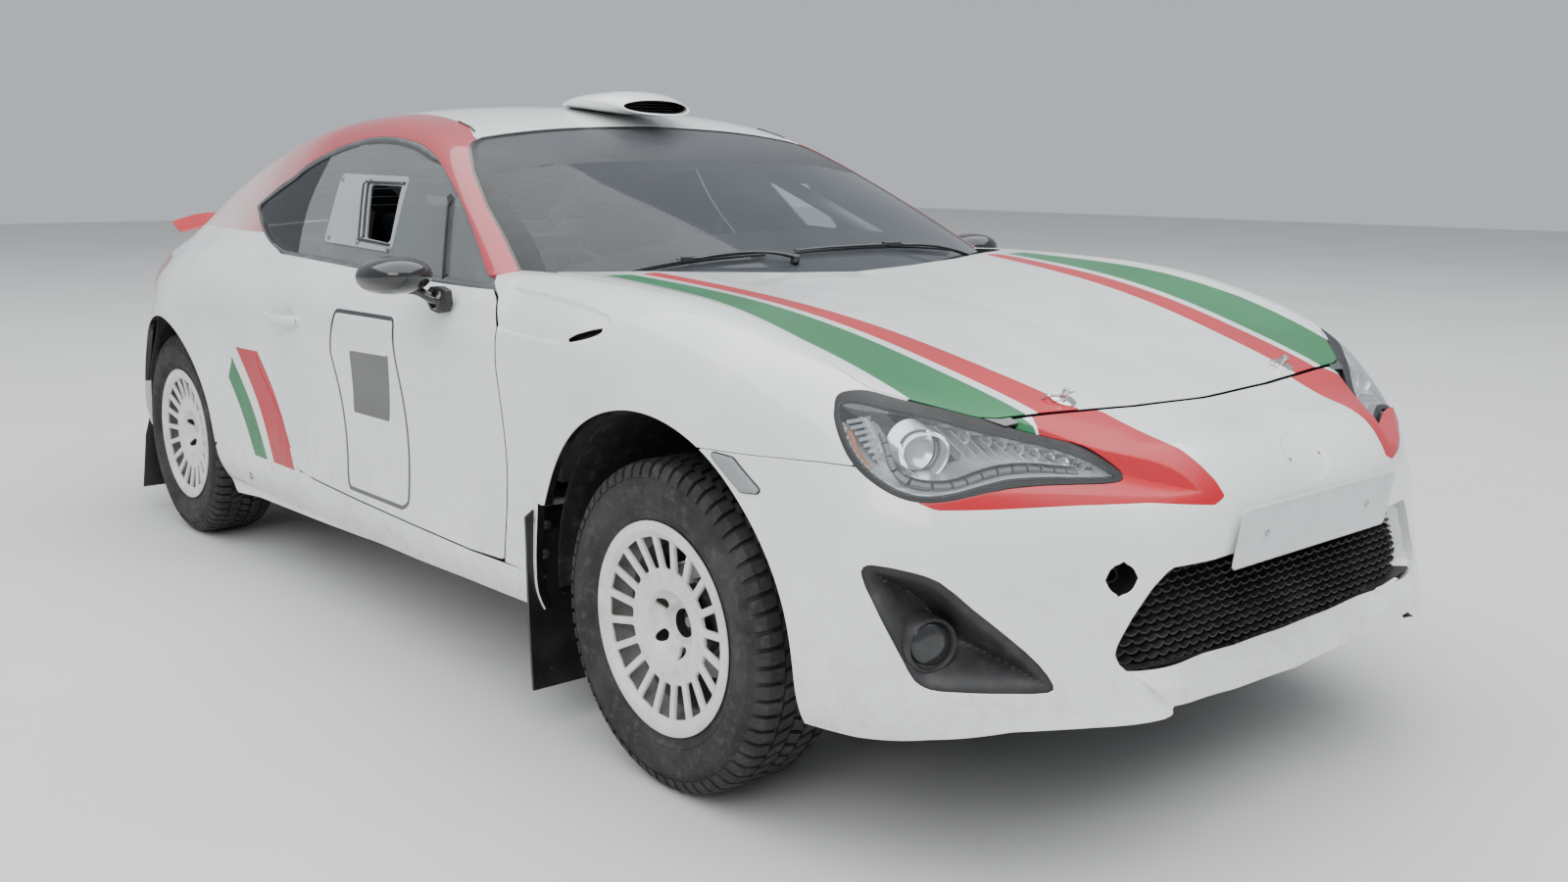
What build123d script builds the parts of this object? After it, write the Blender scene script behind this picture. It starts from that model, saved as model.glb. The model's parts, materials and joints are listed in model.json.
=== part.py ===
from build123d import *
import math
import os

os.makedirs("parts", exist_ok=True)

# Two-door gravel rally coupe, real size, millimetres.
# Frame: +Z up, ground at Z 0, nose towards -Y, car's left side towards +X.
# The origin is on the ground under the middle of the overall box.

# ---------------------------------------------------------------- driving sizes
WHEELBASE = 2570.0
Y_AXLE_F = -WHEELBASE / 2
Y_AXLE_R = WHEELBASE / 2
HALF_TRACK = 762.0  # centre of the tyre
TYRE_R = 320.0  # 195/65 R15 gravel tyre
TYRE_W = 204.0
RIM_FLANGE_R = 206.0
RIM_SEAT_R = 190.0
RIM_HALF_W = 92.0
SLOTS = 20  # windows round the wheel face
AXLE_Z = TYRE_R
ARCH_F = (-1278.0, 345.0, 392.0)  # y, z, radius of the front arch
ARCH_R = (1287.0, 328.0, 372.0)
GAP = 6.0  # gap round a fixed panel
DOOR_GAP = 8.0
DOOR_T = 78.0  # whole door
SKIN_T = 24.0
DOOR_Y0, DOOR_Y1 = -745.0, 585.0
DOOR_Z0 = 345.0
KINGPIN_LOW = (702.0, 205.0)  # x, z of the lower ball joint
KINGPIN_TOP = (588.0, 870.0)
SHAFT_R = 25.0
LID_HALF = 562.0  # half width of the boot lid
RUN = 0.05  # running clearance of the hub shafts
DISC_R = 125.0
PAD_Z = 226.0  # underside of the jacking pads

# body side sections. Columns: y, then (z, x) of the sill edge b, sill crease c, mid m,
# shoulder s, belt or fender side t, fender crest k, bonnet edge e
SIDE = [
    (-1790, (245, 800), (330, 815), (520, 820), (690, 806), (770, 770), (790, 740), (780, 700)),
    (-1655, (245, 822), (330, 852), (520, 864), (700, 856), (800, 806), (838, 752), (815, 692)),
    (-1500, (245, 830), (330, 860), (520, 872), (730, 872), (860, 818), (882, 762), (862, 702)),
    (-1285, (245, 838), (330, 866), (520, 878), (765, 884), (895, 828), (922, 766), (908, 712)),
    (-1000, (235, 838), (320, 868), (520, 866), (780, 876), (910, 826), (938, 768), (930, 722)),
    (-700, (235, 835), (320, 868), (520, 852), (780, 866), (905, 812), (945, 768), (945, 735)),
    (-636, (235, 835), (320, 868), (520, 851), (778, 865), (905, 811), (942, 778), (944, 742)),
    (-300, (235, 832), (320, 868), (520, 846), (750, 860), (905, 802), (0, 0), (0, 0)),
    (100, (235, 832), (320, 868), (520, 846), (745, 860), (912, 795), (0, 0), (0, 0)),
    (565, (235, 835), (320, 870), (520, 858), (745, 870), (922, 785), (930, 765), (935, 745)),
    (900, (240, 838), (330, 874), (520, 878), (740, 885), (925, 790), (940, 765), (955, 735)),
    (1285, (245, 838), (340, 874), (520, 885), (730, 887), (905, 808), (935, 760), (955, 672)),
    (1500, (252, 826), (345, 862), (520, 868), (725, 846), (878, 776), (911, 726), (936, 655)),
    (1655, (260, 806), (350, 832), (520, 836), (720, 798), (866, 744), (904, 672), (928, 600)),
    (1900, (270, 730), (360, 752), (520, 750), (715, 716), (850, 668), (886, 590), (912, 520)),
]
COL = {"b": 1, "c": 2, "m": 3, "s": 4, "t": 5, "k": 6, "e": 7}

# nose sections. Columns: z, then y at x = 0, 300, 430, then (x, y) of the front,
# the corner, the flank and the arch end
NOSE = [
    (245, -2094, -2102, -2112, (600, -2036), (740, -1905), (825, -1690), (834, -1430)),
    (340, -2062, -2068, -2085, (600, -2024), (748, -1900), (850, -1690), (862, -1430)),
    (440, -2084, -2076, -2062, (600, -2002), (760, -1886), (860, -1690), (871, -1430)),
    (540, -2112, -2098, -2068, (600, -1986), (770, -1868), (864, -1690), (877, -1430)),
    (620, -2114, -2096, -2052, (600, -1966), (766, -1852), (860, -1690), (881, -1430)),
    (690, -2068, -2052, -2005, (600, -1932), (750, -1838), (850, -1690), (879, -1430)),
    (748, -1880, -1896, -1900, (600, -1858), (738, -1778), (828, -1650), (868, -1430)),
    (800, -1705, -1736, -1752, (600, -1748), (722, -1716), (800, -1640), (852, -1430)),
    (846, -1560, -1592, -1612, (600, -1624), (722, -1622), (788, -1592), (836, -1430)),
]
# tail sections, the same columns
TAIL = [
    (265, 2080, 2078, 2064, (600, 2000), (690, 1930), (770, 1780), (820, 1560)),
    (400, 2112, 2108, 2090, (600, 2030), (720, 1925), (795, 1780), (856, 1560)),
    (560, 2124, 2120, 2104, (600, 2040), (730, 1915), (782, 1780), (855, 1560)),
    (700, 2122, 2118, 2100, (600, 2030), (715, 1905), (760, 1780), (832, 1560)),
    (722, 2104, 2100, 2082, (600, 2016), (708, 1896), (756, 1780), (828, 1560)),
    (800, 2094, 2089, 2070, (590, 2000), (690, 1875), (738, 1750), (806, 1560)),
    (862, 2087, 2080, 2058, (570, 1985), (650, 1860), (712, 1730), (776, 1560)),
    (925, 2080, 2070, 2040, (520, 1930), (570, 1780), (600, 1680), (640, 1560)),
    (975, 2072, 2062, 1995, (470, 1880), (500, 1790), (530, 1690), (570, 1560)),
]
# greenhouse sections. Columns: y, base (x, z), rail (x, z), roof flank (x, z), centre z
HOUSE = [
    (-800, (560, 890), (420, 940), (250, 950), 958),
    (-645, (742, 900), (736, 941), (400, 1006), 1030),
    (-400, (788, 900), (674, 1078), (400, 1122), 1142),
    (-100, (790, 905), (574, 1228), (350, 1270), 1290),
    (250, (785, 912), (548, 1272), (320, 1316), 1332),
    (500, (782, 918), (548, 1268), (320, 1314), 1330),
    (850, (768, 922), (562, 1214), (330, 1268), 1290),
    (1150, (745, 925), (586, 1108), (360, 1152), 1170),
    (1400, (715, 930), (610, 1004), (400, 1038), 1050),
    (1560, (640, 925), (592, 948), (400, 964), 972),
]
# side window outline, (y, z), and its split at the door's rear edge
DLO = [(-625, 918), (-430, 985), (-250, 1062), (-95, 1150), (20, 1206), (130, 1234), (290, 1243),
       (470, 1230), (640, 1180), (770, 1105), (838, 1040), (815, 975), (720, 938), (560, 930), (0, 920)]
DLO_SPLIT = 578.0
WINDSCREEN = [(-700, 944), (-545, 1236), (0, 1262), (545, 1236), (700, 944), (0, 930)]  # (x, z)
REAR_WINDOW = [(-545, 985), (-480, 1225), (0, 1250), (480, 1225), (545, 985), (0, 978)]
HEADLAMP = [(425, 664), (455, 692), (520, 741), (660, 786), (775, 806), (815, 775), (828, 735), (800, 680), (765, 655),
            (660, 678)]  # (x, z)
GRILLE = [(-400, 532), (-484, 405), (-450, 352), (0, 336), (450, 352), (484, 405), (400, 532), (0, 548)]
FOG = [(838, 566), (795, 556), (600, 350), (752, 346)]


# ---------------------------------------------------------------- helpers
def ring(points):
    return Wire.make_polygon([Vector(*p) for p in points], close=True)


def loft_rings(rings):
    return Solid.make_loft([ring(r) for r in rings], True)


def plate(points, vector):
    return Solid.extrude(Face(ring(points)), Vector(*vector))


def prism_x(yz, x0, x1):
    return plate([(x0, y, z) for y, z in yz], (x1 - x0, 0, 0))


def prism_y(xz, y0, y1):
    return plate([(x, y0, z) for x, z in xz], (0, y1 - y0, 0))


def prism_z(xy, z0, z1):
    return plate([(x, y, z0) for x, y in xy], (0, 0, z1 - z0))


def block(x0, x1, y0, y1, z0, z1):
    return prism_z([(x0, y0), (x1, y0), (x1, y1), (x0, y1)], z0, z1)


def cyl(p, q, r):
    p, q = Vector(*p), Vector(*q)
    d = q - p
    return Solid.make_cylinder(r, d.length, Plane(origin=p, z_dir=d))


def flip(shape):
    return mirror(shape, Plane.YZ)


def solids_of(shape):
    return list(shape.solids())


def biggest(shape):
    return max(shape.solids(), key=lambda s: s.volume)


def cut(shape, *tools):
    for tool in tools:
        shape = shape - tool
    return shape


def save(name, *shapes):
    found = [s for shape in shapes for s in solids_of(shape)]
    export_step(found[0] if len(found) == 1 else Compound(children=found), f"parts/{name}.step")


def at(table, key):
    """A row of a table at any key, by straight interpolation."""
    for low, high in zip(table, table[1:]):
        if low[0] <= key <= high[0]:
            f = (key - low[0]) / (high[0] - low[0])
            out = [key]
            for a, b in zip(low[1:], high[1:]):
                out.append(tuple(p + (q - p) * f for p, q in zip(a, b)) if isinstance(a, tuple) else a + (b - a) * f)
            return out
    raise ValueError(key)


def keys_between(table, low, high):
    return [low] + [row[0] for row in table if low + 1 < row[0] < high - 1] + [high]


def inset(line, t):
    """The line moved t to its left, with mitred corners."""
    out = []
    for i, p in enumerate(line):
        dirs = []
        for a, b in ((i - 1, i), (i, i + 1)):
            if 0 <= a and b < len(line):
                d = Vector(line[b][0] - line[a][0], line[b][1] - line[a][1], 0).normalized()
                dirs.append(Vector(-d.Y, d.X, 0))
        n = sum(dirs[1:], dirs[0]).normalized()
        n = n * (t / max(0.5, n.dot(dirs[0])))
        out.append((p[0] + n.X, p[1] + n.Y))
    return out


def side_skin(y0, y1, names, t, z_low=None):
    """A wall t thick behind the body side from y0 to y1, through the named columns."""
    rings = []
    for y in keys_between(SIDE, y0, y1):
        row = at(SIDE, y)
        line = [(row[COL[n]][1], row[COL[n]][0]) for n in names]
        if z_low is not None:
            a = next(i for i in range(len(line) - 1) if line[i][1] <= z_low <= line[i + 1][1])
            f = (z_low - line[a][1]) / (line[a + 1][1] - line[a][1])
            line = [(line[a][0] + (line[a + 1][0] - line[a][0]) * f, z_low)] + line[names.index("m"):]
        inner = inset(line, t)
        rings.append([(x, y, z) for x, z in line] + [(x, y, z) for x, z in reversed(inner)])
    return loft_rings(rings)


def end_plan(row, t=0.0):
    """Half of a nose or tail section in plan, from the centre to the flank, moved in by t."""
    z, y0, y3, y4, front, corner, flank, end = row
    line = [(0, y0), (300, y3), (430, y4), front, corner, flank, end]
    side = 1 if end[1] > y0 else -1
    if t:
        line = inset(line, t * side)
        line[0] = (0, line[0][1])
    return line, z


def end_solid(table, z0, z1, t, tail):
    """The nose or tail filled in behind its skin, moved in by t."""
    rings = []
    for z in keys_between(table, z0, z1):
        half, _ = end_plan(at(table, z), t)
        full = [(-x, y) for x, y in reversed(half[1:])] + half
        rings.append([(x, y, z) for x, y in full])
    return loft_rings(rings)


def house_solid(y0, y1, dx, dz, z_low):
    """The greenhouse volume, its walls moved in by dx and its roof by dz."""
    rings = []
    for y in keys_between(HOUSE, y0, y1):
        _, base, rail, flank, zc = at(HOUSE, y)
        half = [(base[0] - dx, z_low if z_low else base[1]), (rail[0] - dx, rail[1] - dz), (flank[0], flank[1] - dz)]
        if z_low:
            half.insert(1, (base[0] - dx, base[1]))
        pts = half + [(0, zc - dz)] + [(-x, z) for x, z in reversed(half)]
        rings.append([(x, y, z) for x, z in pts])
    return loft_rings(rings)


def grow(outline, d):
    """A closed outline grown by d, or shrunk."""
    n = len(outline)
    area = sum(outline[i][0] * outline[(i + 1) % n][1] - outline[(i + 1) % n][0] * outline[i][1] for i in range(n))
    s = -1 if area > 0 else 1
    out = []
    for i in range(n):
        a, p, b = outline[i - 1], outline[i], outline[(i + 1) % n]
        d1 = Vector(p[0] - a[0], p[1] - a[1], 0).normalized()
        d2 = Vector(b[0] - p[0], b[1] - p[1], 0).normalized()
        n1, n2 = Vector(-d1.Y, d1.X, 0), Vector(-d2.Y, d2.X, 0)
        m = (n1 + n2).normalized()
        m = m * (s * d / max(0.5, m.dot(n1)))
        out.append((p[0] + m.X, p[1] + m.Y))
    return out


def arch_tool(arch, x0, x1, extra=0.0):
    y, z, r = arch
    r += extra
    return [cyl((x0, y, z), (x1, y, z), r), block(x0, x1, y - r, y + r, 100, z)]


# ---------------------------------------------------------------- body side panels
fender = side_skin(-1655, DOOR_Y0 - DOOR_GAP / 2, ["b", "c", "m", "s", "t", "k", "e"], SKIN_T, 345)
fender = cut(fender, *arch_tool(ARCH_F, 700, 960), block(600, 1000, -1660, -1450, 300, 702),
             prism_x([(-1662, 690), (-1640, 690), (-1652, 900), (-1662, 900)], 500, 1000))
fender = biggest(fender)
# a strip of the fender runs back over the door's corner to the foot of the pillar
fender = biggest(fender + (side_skin(DOOR_Y0 - DOOR_GAP / 2, -640, ["t", "k", "e"], SKIN_T) - block(600, 900, DOOR_Y0 - 20, -600, 800, 916)))
save("front_fender_left", fender)
save("front_fender_right", flip(fender))

# the skirt stops below the doors
skirt = side_skin(-868, 892, ["b", "c", "m"], 34) - block(600, 1000, -900, 900, DOOR_Z0 - DOOR_GAP, 700)
skirt = biggest(cut(skirt, *arch_tool(ARCH_F, 700, 960, 3), *arch_tool(ARCH_R, 700, 960, 3)))
save("side_skirts", skirt, flip(skirt))

door = side_skin(DOOR_Y0 + DOOR_GAP / 2, 612, ["b", "c", "m", "s", "t"], DOOR_T, DOOR_Z0)
# the rear edge runs forward below the handle
rear_edge = [(DOOR_Y1, 960), (DOOR_Y1, 740), (598, 622), (455, 468), (368, 300), (700, 300), (700, 960)]
door = cut(door, prism_x(rear_edge, 600, 1000), block(600, 1000, -800, 800, 300, DOOR_Z0))
door = biggest(door)
save("door_left", door)
save("door_right", flip(door))

quarter = side_skin(368, 1700, ["b", "c", "m", "s", "t", "k", "e"], SKIN_T, 345)
front_edge = [(y + DOOR_GAP, z) for y, z in rear_edge[:5]] + [(200, 300), (200, 1000), (DOOR_Y1 + DOOR_GAP, 1000)]
quarter = cut(quarter, prism_x(front_edge, 500, 1000), *arch_tool(ARCH_R, 700, 960), block(400, 1000, 1640, 2100, 200, 726))
# the corner behind the lamp follows the tail in plan
corner = end_solid(TAIL, 726, 925, 0, True) - end_solid(TAIL, 726, 905, SKIN_T, True)
corner = corner & block(LID_HALF + DOOR_GAP, 1000, 1690, 2200, 700, 1000)
LAMP_X0, LAMP_Y0, LAMP_Z0, LAMP_Z1 = LID_HALF + 13, 1790, 736, 858
quarter = quarter + corner - block(LAMP_X0 - 4, 1000, LAMP_Y0 - 4, 2200, LAMP_Z0 - 4, LAMP_Z1 + 4)
quarter = biggest(quarter)
save("quarter_panel_left", quarter)
save("quarter_panel_right", flip(quarter))

lamp_body = end_solid(TAIL, LAMP_Z0, LAMP_Z1, 0, True) - end_solid(TAIL, LAMP_Z0, LAMP_Z1, 55, True)
lamp_body = lamp_body & block(LAMP_X0, 1000, LAMP_Y0, 2200, LAMP_Z0, LAMP_Z1)
save("tail_lamps", biggest(lamp_body), flip(biggest(lamp_body)))

# ---------------------------------------------------------------- bonnet
BONNET = [(-1868, (0, 746), (400, 766), (548, 766)), (-1800, (0, 766), (400, 784), (618, 782)),
          (-1655, (0, 803), (400, 818), (686, 812)), (-1285, (0, 868), (400, 888), (704, 908)),
          (-1000, (0, 912), (400, 926), (714, 930)), (-712, (0, 950), (400, 950), (727, 945))]
rings = []
for y, c, q, e in BONNET:
    top = [(-e[0], e[1]), (-q[0], q[1]), c, q, e]
    rings.append([(x, y, z) for x, z in top] + [(x, y, z - 20) for x, z in reversed(top)])
bonnet = loft_rings(rings)
bonnet = cut(bonnet, prism_z([(-800, -705), (-727, -722), (-400, -815), (0, -862), (400, -815), (727, -722), (800, -705),
                              (800, -600), (-800, -600)], 800, 1100))
bonnet = biggest(bonnet)
save("bonnet", bonnet)

# ---------------------------------------------------------------- nose
nose = end_solid(NOSE, 245, 846, 0, False)
nose_in = end_solid(NOSE, 245, 846, 30, False)
nose_deep = end_solid(NOSE, 245, 846, 75, False)
skin = nose - nose_in
front_bumper = cut(
    skin,
    *arch_tool(ARCH_F, 700, 960), *arch_tool(ARCH_F, -960, -700),
    block(-1000, 1000, -1650, -1400, 693, 900),
    prism_y(grow(HEADLAMP, 5), -2200, -1500), prism_y([(-x, z) for x, z in grow(HEADLAMP, 5)], -2200, -1500),
    prism_y(grow(GRILLE, 3), -2200, -1900),
    prism_y(grow(FOG, 3), -2200, -1700), prism_y([(-x, z) for x, z in grow(FOG, 3)], -2200, -1700),
    prism_z([(-560, -1871), (-400, -1876), (0, -1874), (400, -1876), (560, -1871), (625, -1806), (693, -1656), (693, -1300),
             (-693, -1300), (-693, -1656), (-625, -1806)], 690, 900),
    cyl((-500, -2200, 525), (-500, -1950, 525), 29),
)
front_bumper = cut(front_bumper, block(-1000, 1000, -1652, -1400, 690, 900))
front_bumper = biggest(front_bumper)
save("front_bumper", front_bumper)

lamp = biggest((nose - nose_deep) & prism_y(HEADLAMP, -2200, -1500) & block(0, 1000, -2200, -1664, 600, 900))
lamp = cut(lamp, prism_z([(0, -1871), (560, -1871), (625, -1806), (700, -1656), (700, -1300), (0, -1300)], 690, 900))
save("headlights", biggest(lamp), flip(biggest(lamp)))

mesh_panel = (end_solid(NOSE, 300, 600, 8, False) - end_solid(NOSE, 300, 600, 20, False)) & prism_y(GRILLE, -2200, -1950)
fog_cup = biggest((nose - nose_deep) & prism_y(FOG, -2200, -1700))
fog_cup = cut(fog_cup, cyl((735, -2100, 440), (735, -1925, 440), 42))
fog_cup = biggest(fog_cup)
save("bumper_grilles", biggest(mesh_panel), fog_cup, flip(fog_cup))

# ---------------------------------------------------------------- tail
tail = end_solid(TAIL, 265, 722, 0, True) - end_solid(TAIL, 265, 722, 30, True)
rear_bumper = cut(tail, *arch_tool(ARCH_R, 700, 960), *arch_tool(ARCH_R, -960, -700),
                  cyl((480, 1850, 318), (480, 2200, 318), 52), cyl((-480, 1850, 318), (-480, 2200, 318), 52),
                  block(-1000, 1000, 1500, 1646, 200, 800))
rear_bumper = biggest(rear_bumper)
save("rear_bumper", rear_bumper)

LID = [(1572, (0, 962), (300, 958), (430, 950), (LID_HALF, 936)), (1800, (0, 950), (300, 944), (430, 934), (LID_HALF, 914)),
       (1950, (0, 942), (300, 936), (430, 922), (LID_HALF, 893)), (2040, (0, 936), (300, 930), (430, 912), (LID_HALF, 876)),
       (2120, (0, 928), (300, 922), (430, 904), (LID_HALF, 868))]
rings = []
for y, c, q, r, e in LID:
    top = [(-x, z) for x, z in (e, r, q)] + [c, q, r, e]
    rings.append([(x, y, z) for x, z in top] + [(x, y, z - 24) for x, z in reversed(top)])
lid = loft_rings(rings) & end_solid(TAIL, 735, 975, 0, True)
lid_back = end_solid(TAIL, 735, 925, 0, True) - end_solid(TAIL, 735, 925, 24, True)
lid = biggest(lid + (lid_back & block(-LID_HALF, LID_HALF, 1950, 2200, 735, 862)))
save("boot_lid", lid)
WING = [(1890, 950), (1985, 974), (2086, 980), (2100, 973), (2000, 960), (1912, 938)]
spoiler = prism_x(WING, -600, 600)
for x in (-420, 420):
    spoiler = spoiler + block(x - 30, x + 30, 1935, 2020, 900, 965)
save("boot_spoiler", biggest(cut(spoiler, lid)))

# ---------------------------------------------------------------- roof and pillars
shell = house_solid(-800, 1560, 0, 0, None) - house_solid(-772, 1530, 42, 34, 850)
door_hole = prism_x(grow(DLO, 7), 380, 1000) & block(300, 1000, -800, DLO_SPLIT, 850, 1300)
quarter_hole = prism_x(grow(DLO, 2), 380, 1000) & block(300, 1000, DLO_SPLIT + 38, 1000, 850, 1300)
windscreen_hole = prism_y(grow(WINDSCREEN, 4), -1000, 40)
rear_hole = prism_y(grow(REAR_WINDOW, 4), 780, 1620)
roof = cut(shell, door_hole, flip(door_hole), quarter_hole, flip(quarter_hole), windscreen_hole, rear_hole)
# nothing of it below the belt, or inside the doors and fenders
belt = [(-820, 800), (-820, 930), (-640, 940), (-600, 924), (0, 928), (DOOR_Y1, 938), (800, 962), (1200, 968),
        (1600, 945), (1600, 800)]
roof = cut(roof, prism_x(belt, 640, 1000), prism_x(belt, -1000, -640), block(-1000, 1000, -900, 1700, 800, 930), quarter, flip(quarter))
roof = biggest(roof)
save("roof_frame", roof)

glass_out = house_solid(-800, 1560, 6, 6, None)
glass_in = house_solid(-790, 1550, 11, 11, 850)
glass = glass_out - glass_in
front_glass = biggest(glass & prism_y(WINDSCREEN, -1000, 40))
save("windscreen", cut(front_glass, block(-1000, 1000, -900, 0, 800, 936)))
back_glass = biggest(glass & prism_y(REAR_WINDOW, 780, 1620))
save("rear_window", back_glass)
belt_z = block(300, 1000, -800, 1700, 800, 934)
side_glass = biggest((glass & prism_x(DLO, 380, 1000) & block(300, 1000, -800, DLO_SPLIT - 8, 850, 1300)))
side_glass = biggest(cut(side_glass, prism_x([(-800, 800), (-800, 915), (DOOR_Y1, 930), (DOOR_Y1 + 20, 800)], 300, 1000)))
save("door_glass_left", side_glass)
save("door_glass_right", flip(side_glass))
small_glass = biggest(glass & prism_x(DLO, 380, 1000) & block(300, 1000, DLO_SPLIT + 40, 1000, 850, 1300))
small_glass = biggest(cut(small_glass, belt_z, quarter))
save("quarter_glass", small_glass, flip(small_glass))

VENT = [(-168, 1301, 150, 52), (-60, 1306, 165, 60), (120, 1318, 120, 46), (235, 1325, 45, 12)]  # y, z, half width, height
rings = []
for y, z, w, h in VENT:
    rings.append([(-w, y, z + 6), (-w * 0.7, y, z + 6 + h * 0.8), (0, y, z + 8 + h), (w * 0.7, y, z + 6 + h * 0.8), (w, y, z + 6),
                  (w * 0.7, y, z + 1), (-w * 0.7, y, z + 1)])
vent = loft_rings(rings)
vent = cut(vent, loft_rings([[(-125, y, z + 16), (0, y, z + 48), (125, y, z + 16), (0, y, z + 10)]
                             for y, z in ((-200, 1302), (-60, 1306))]))
vent = cut(vent, house_solid(-800, 1560, 0, 0, None))
save("roof_vent", biggest(vent))

# ---------------------------------------------------------------- mirrors, wipers, flaps, plates
housing = Pos(940, -430, 928) * scale(Solid.make_sphere(60), by=(1.35, 1.25, 0.75))
arm = cyl((845, -492, 880), (905, -440, 905), 13)
foot = prism_x([(-545, 858), (-455, 868), (-448, 908), (-520, 912)], 800, 862)
foot = cut(foot, side_skin(-650, -300, ["m", "s", "t"], DOOR_T, 600))
mirror_left = biggest(cut(housing + arm + foot, door))
save("mirror_left", mirror_left)
save("mirror_right", flip(mirror_left))

def house_z(x, y):
    """Height of the windscreen or roof at one place."""
    _, base, rail, flank, zc = at(HOUSE, y)
    line = [(0, zc), flank, rail, base]
    for (x0, z0), (x1, z1) in zip(line, line[1:]):
        if x0 <= abs(x) <= x1:
            return z0 + (z1 - z0) * (abs(x) - x0) / (x1 - x0)
    return base[1]


wipers = []
for places in (((-560, -690), (-300, -700), (20, -700)), ((30, -735), (300, -735), (560, -690))):
    rod = None
    for (x0, y0), (x1, y1) in zip(places, places[1:]):
        piece = cyl((x0, y0, house_z(x0, y0) + 12), (x1, y1, house_z(x1, y1) + 12), 6)
        joint_ball = Pos(x1, y1, house_z(x1, y1) + 12) * Solid.make_sphere(6)
        rod = piece + joint_ball if rod is None else rod + piece + joint_ball
    wipers.append(biggest(rod))
save("wipers", *wipers)

flap_f = plate([(640, -872, 95), (895, -872, 95), (884, -872, 470), (845, -872, 478), (800, -872, 330), (640, -872, 330)],
               (0, -5, 0))
flap_f = flap_f.rotate(Axis((0, -872, 400), (1, 0, 0)), -4)
flap_f = cut(flap_f, skirt, fender)
flap_r = plate([(650, 1700, 60), (852, 1700, 60), (846, 1700, 470), (650, 1700, 470)], (0, 5, 0))
flap_r = flap_r.rotate(Axis((0, 1700, 470), (1, 0, 0)), 8)
flap_r = biggest(cut(flap_r, rear_bumper))
save("mudflaps", biggest(flap_f), flip(biggest(flap_f)), flap_r, flip(flap_r))

plate_f = prism_x([(-2118, 505), (-2130, 505), (-2130, 617), (-2118, 617)], -262, 262)
plate_f = cut(plate_f, nose)
plate_r = prism_x([(2124.5, 545), (2130, 545), (2130, 657), (2124.5, 657)], -262, 262)
save("number_plates", biggest(plate_f), plate_r)

# ---------------------------------------------------------------- floor, bulkheads, wheel houses
FLOOR_Z0, FLOOR_Z1 = 240.0, 262.0  # underside and top of the cabin floor
TUNNEL = [(-150, FLOOR_Z0), (-150, FLOOR_Z1), (-120, 430), (120, 430), (150, FLOOR_Z1), (150, FLOOR_Z0),
          (128, FLOOR_Z0), (100, 408), (-100, 408), (-128, FLOOR_Z0)]
save("floor_pan", *[block(min(s * 150, s * 765), max(s * 150, s * 765), -640, 860, FLOOR_Z0, FLOOR_Z1) for s in (1, -1)])
save("transmission_tunnel", prism_y(TUNNEL, -640, 860))
sills = []
for s in (1, -1):
    sill = block(min(s * 765, s * 800), max(s * 765, s * 800), -640, 860, FLOOR_Z0, 330)
    for y in (-520, 740):
        sill = sill + block(s * 782 - 17, s * 782 + 17, y - 35, y + 35, PAD_Z, FLOOR_Z0)
    sills.append(biggest(sill))
save("sill_beams", *sills)
rear_floor = prism_x([(862, 300), (862, 560), (1640, 560), (1640, 335), (1615, 335), (1615, 535), (890, 535), (890, 300)], -425, 425)
rear_floor = rear_floor + block(-480, 480, 840, 892, FLOOR_Z1, 330)
rear_floor = cut(rear_floor, block(-152, 152, 838, 861, 250, 440), block(-100, 100, 859, 900, 200, 408))
save("rear_floor", biggest(rear_floor))
save("boot_floor", block(-425, 425, 1640, 2040, 335, 360))
rails = block(-470, 470, -668, -640, FLOOR_Z0, 470) + block(-435, 435, -1985, -1955, 380, 560)
for s in (-1, 1):
    rails = rails + block(s * 430 - 40, s * 430 + 40, -1955, -668, 380, 470)
rails = cut(rails, block(-100, 100, -700, -639, 200, 408))
save("front_rails", biggest(rails))

firewall = block(-690, 690, -700, -672, 478, 890)
cowl = prism_x([(-870, 884), (-870, 898), (-690, 898), (-655, 926), (-640, 926), (-640, 884)], -690, 690)
firewall = firewall + cowl
rear_wall = block(-470, 470, 894, 916, 562, 905)
shelf = prism_x([(894, 905), (894, 927), (1500, 927), (1500, 905)], -556, 556)
save("bulkheads", biggest(firewall), biggest(rear_wall + shelf))


def wheel_house(y, z, r, x_in, x_out):
    outer = cyl((x_in, y, z), (x_out, y, z), r)
    inner = cyl((x_in + 6, y, z), (x_out + 10, y, z), r - 6)
    return outer - inner - block(0, 1200, y - 600, y + 600, 0, z - 40)


house_f = wheel_house(-1285, 345, 402, 482, 820)
house_f = cut(house_f, cyl((600, -1285, 600), (600, -1285, 900), 78))
house_f = cut(house_f, front_bumper)
house_r = wheel_house(1287, 330, 384, 600, 815)
house_r = cut(house_r, block(580, 620, 1180, 1400, 100, 440), rear_bumper, quarter)
save("wheel_houses", *[s for h in (house_f, house_r) for s in (biggest(h), flip(biggest(h)))])


# ---------------------------------------------------------------- wheels
def revolve_x(points, origin):
    """Turns an (x, r) outline about an axis along X through origin."""
    face = Face(ring([(x, 0, r) for x, r in points]))
    return Pos(*origin) * Solid.revolve(face, 360, Axis.X)


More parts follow.
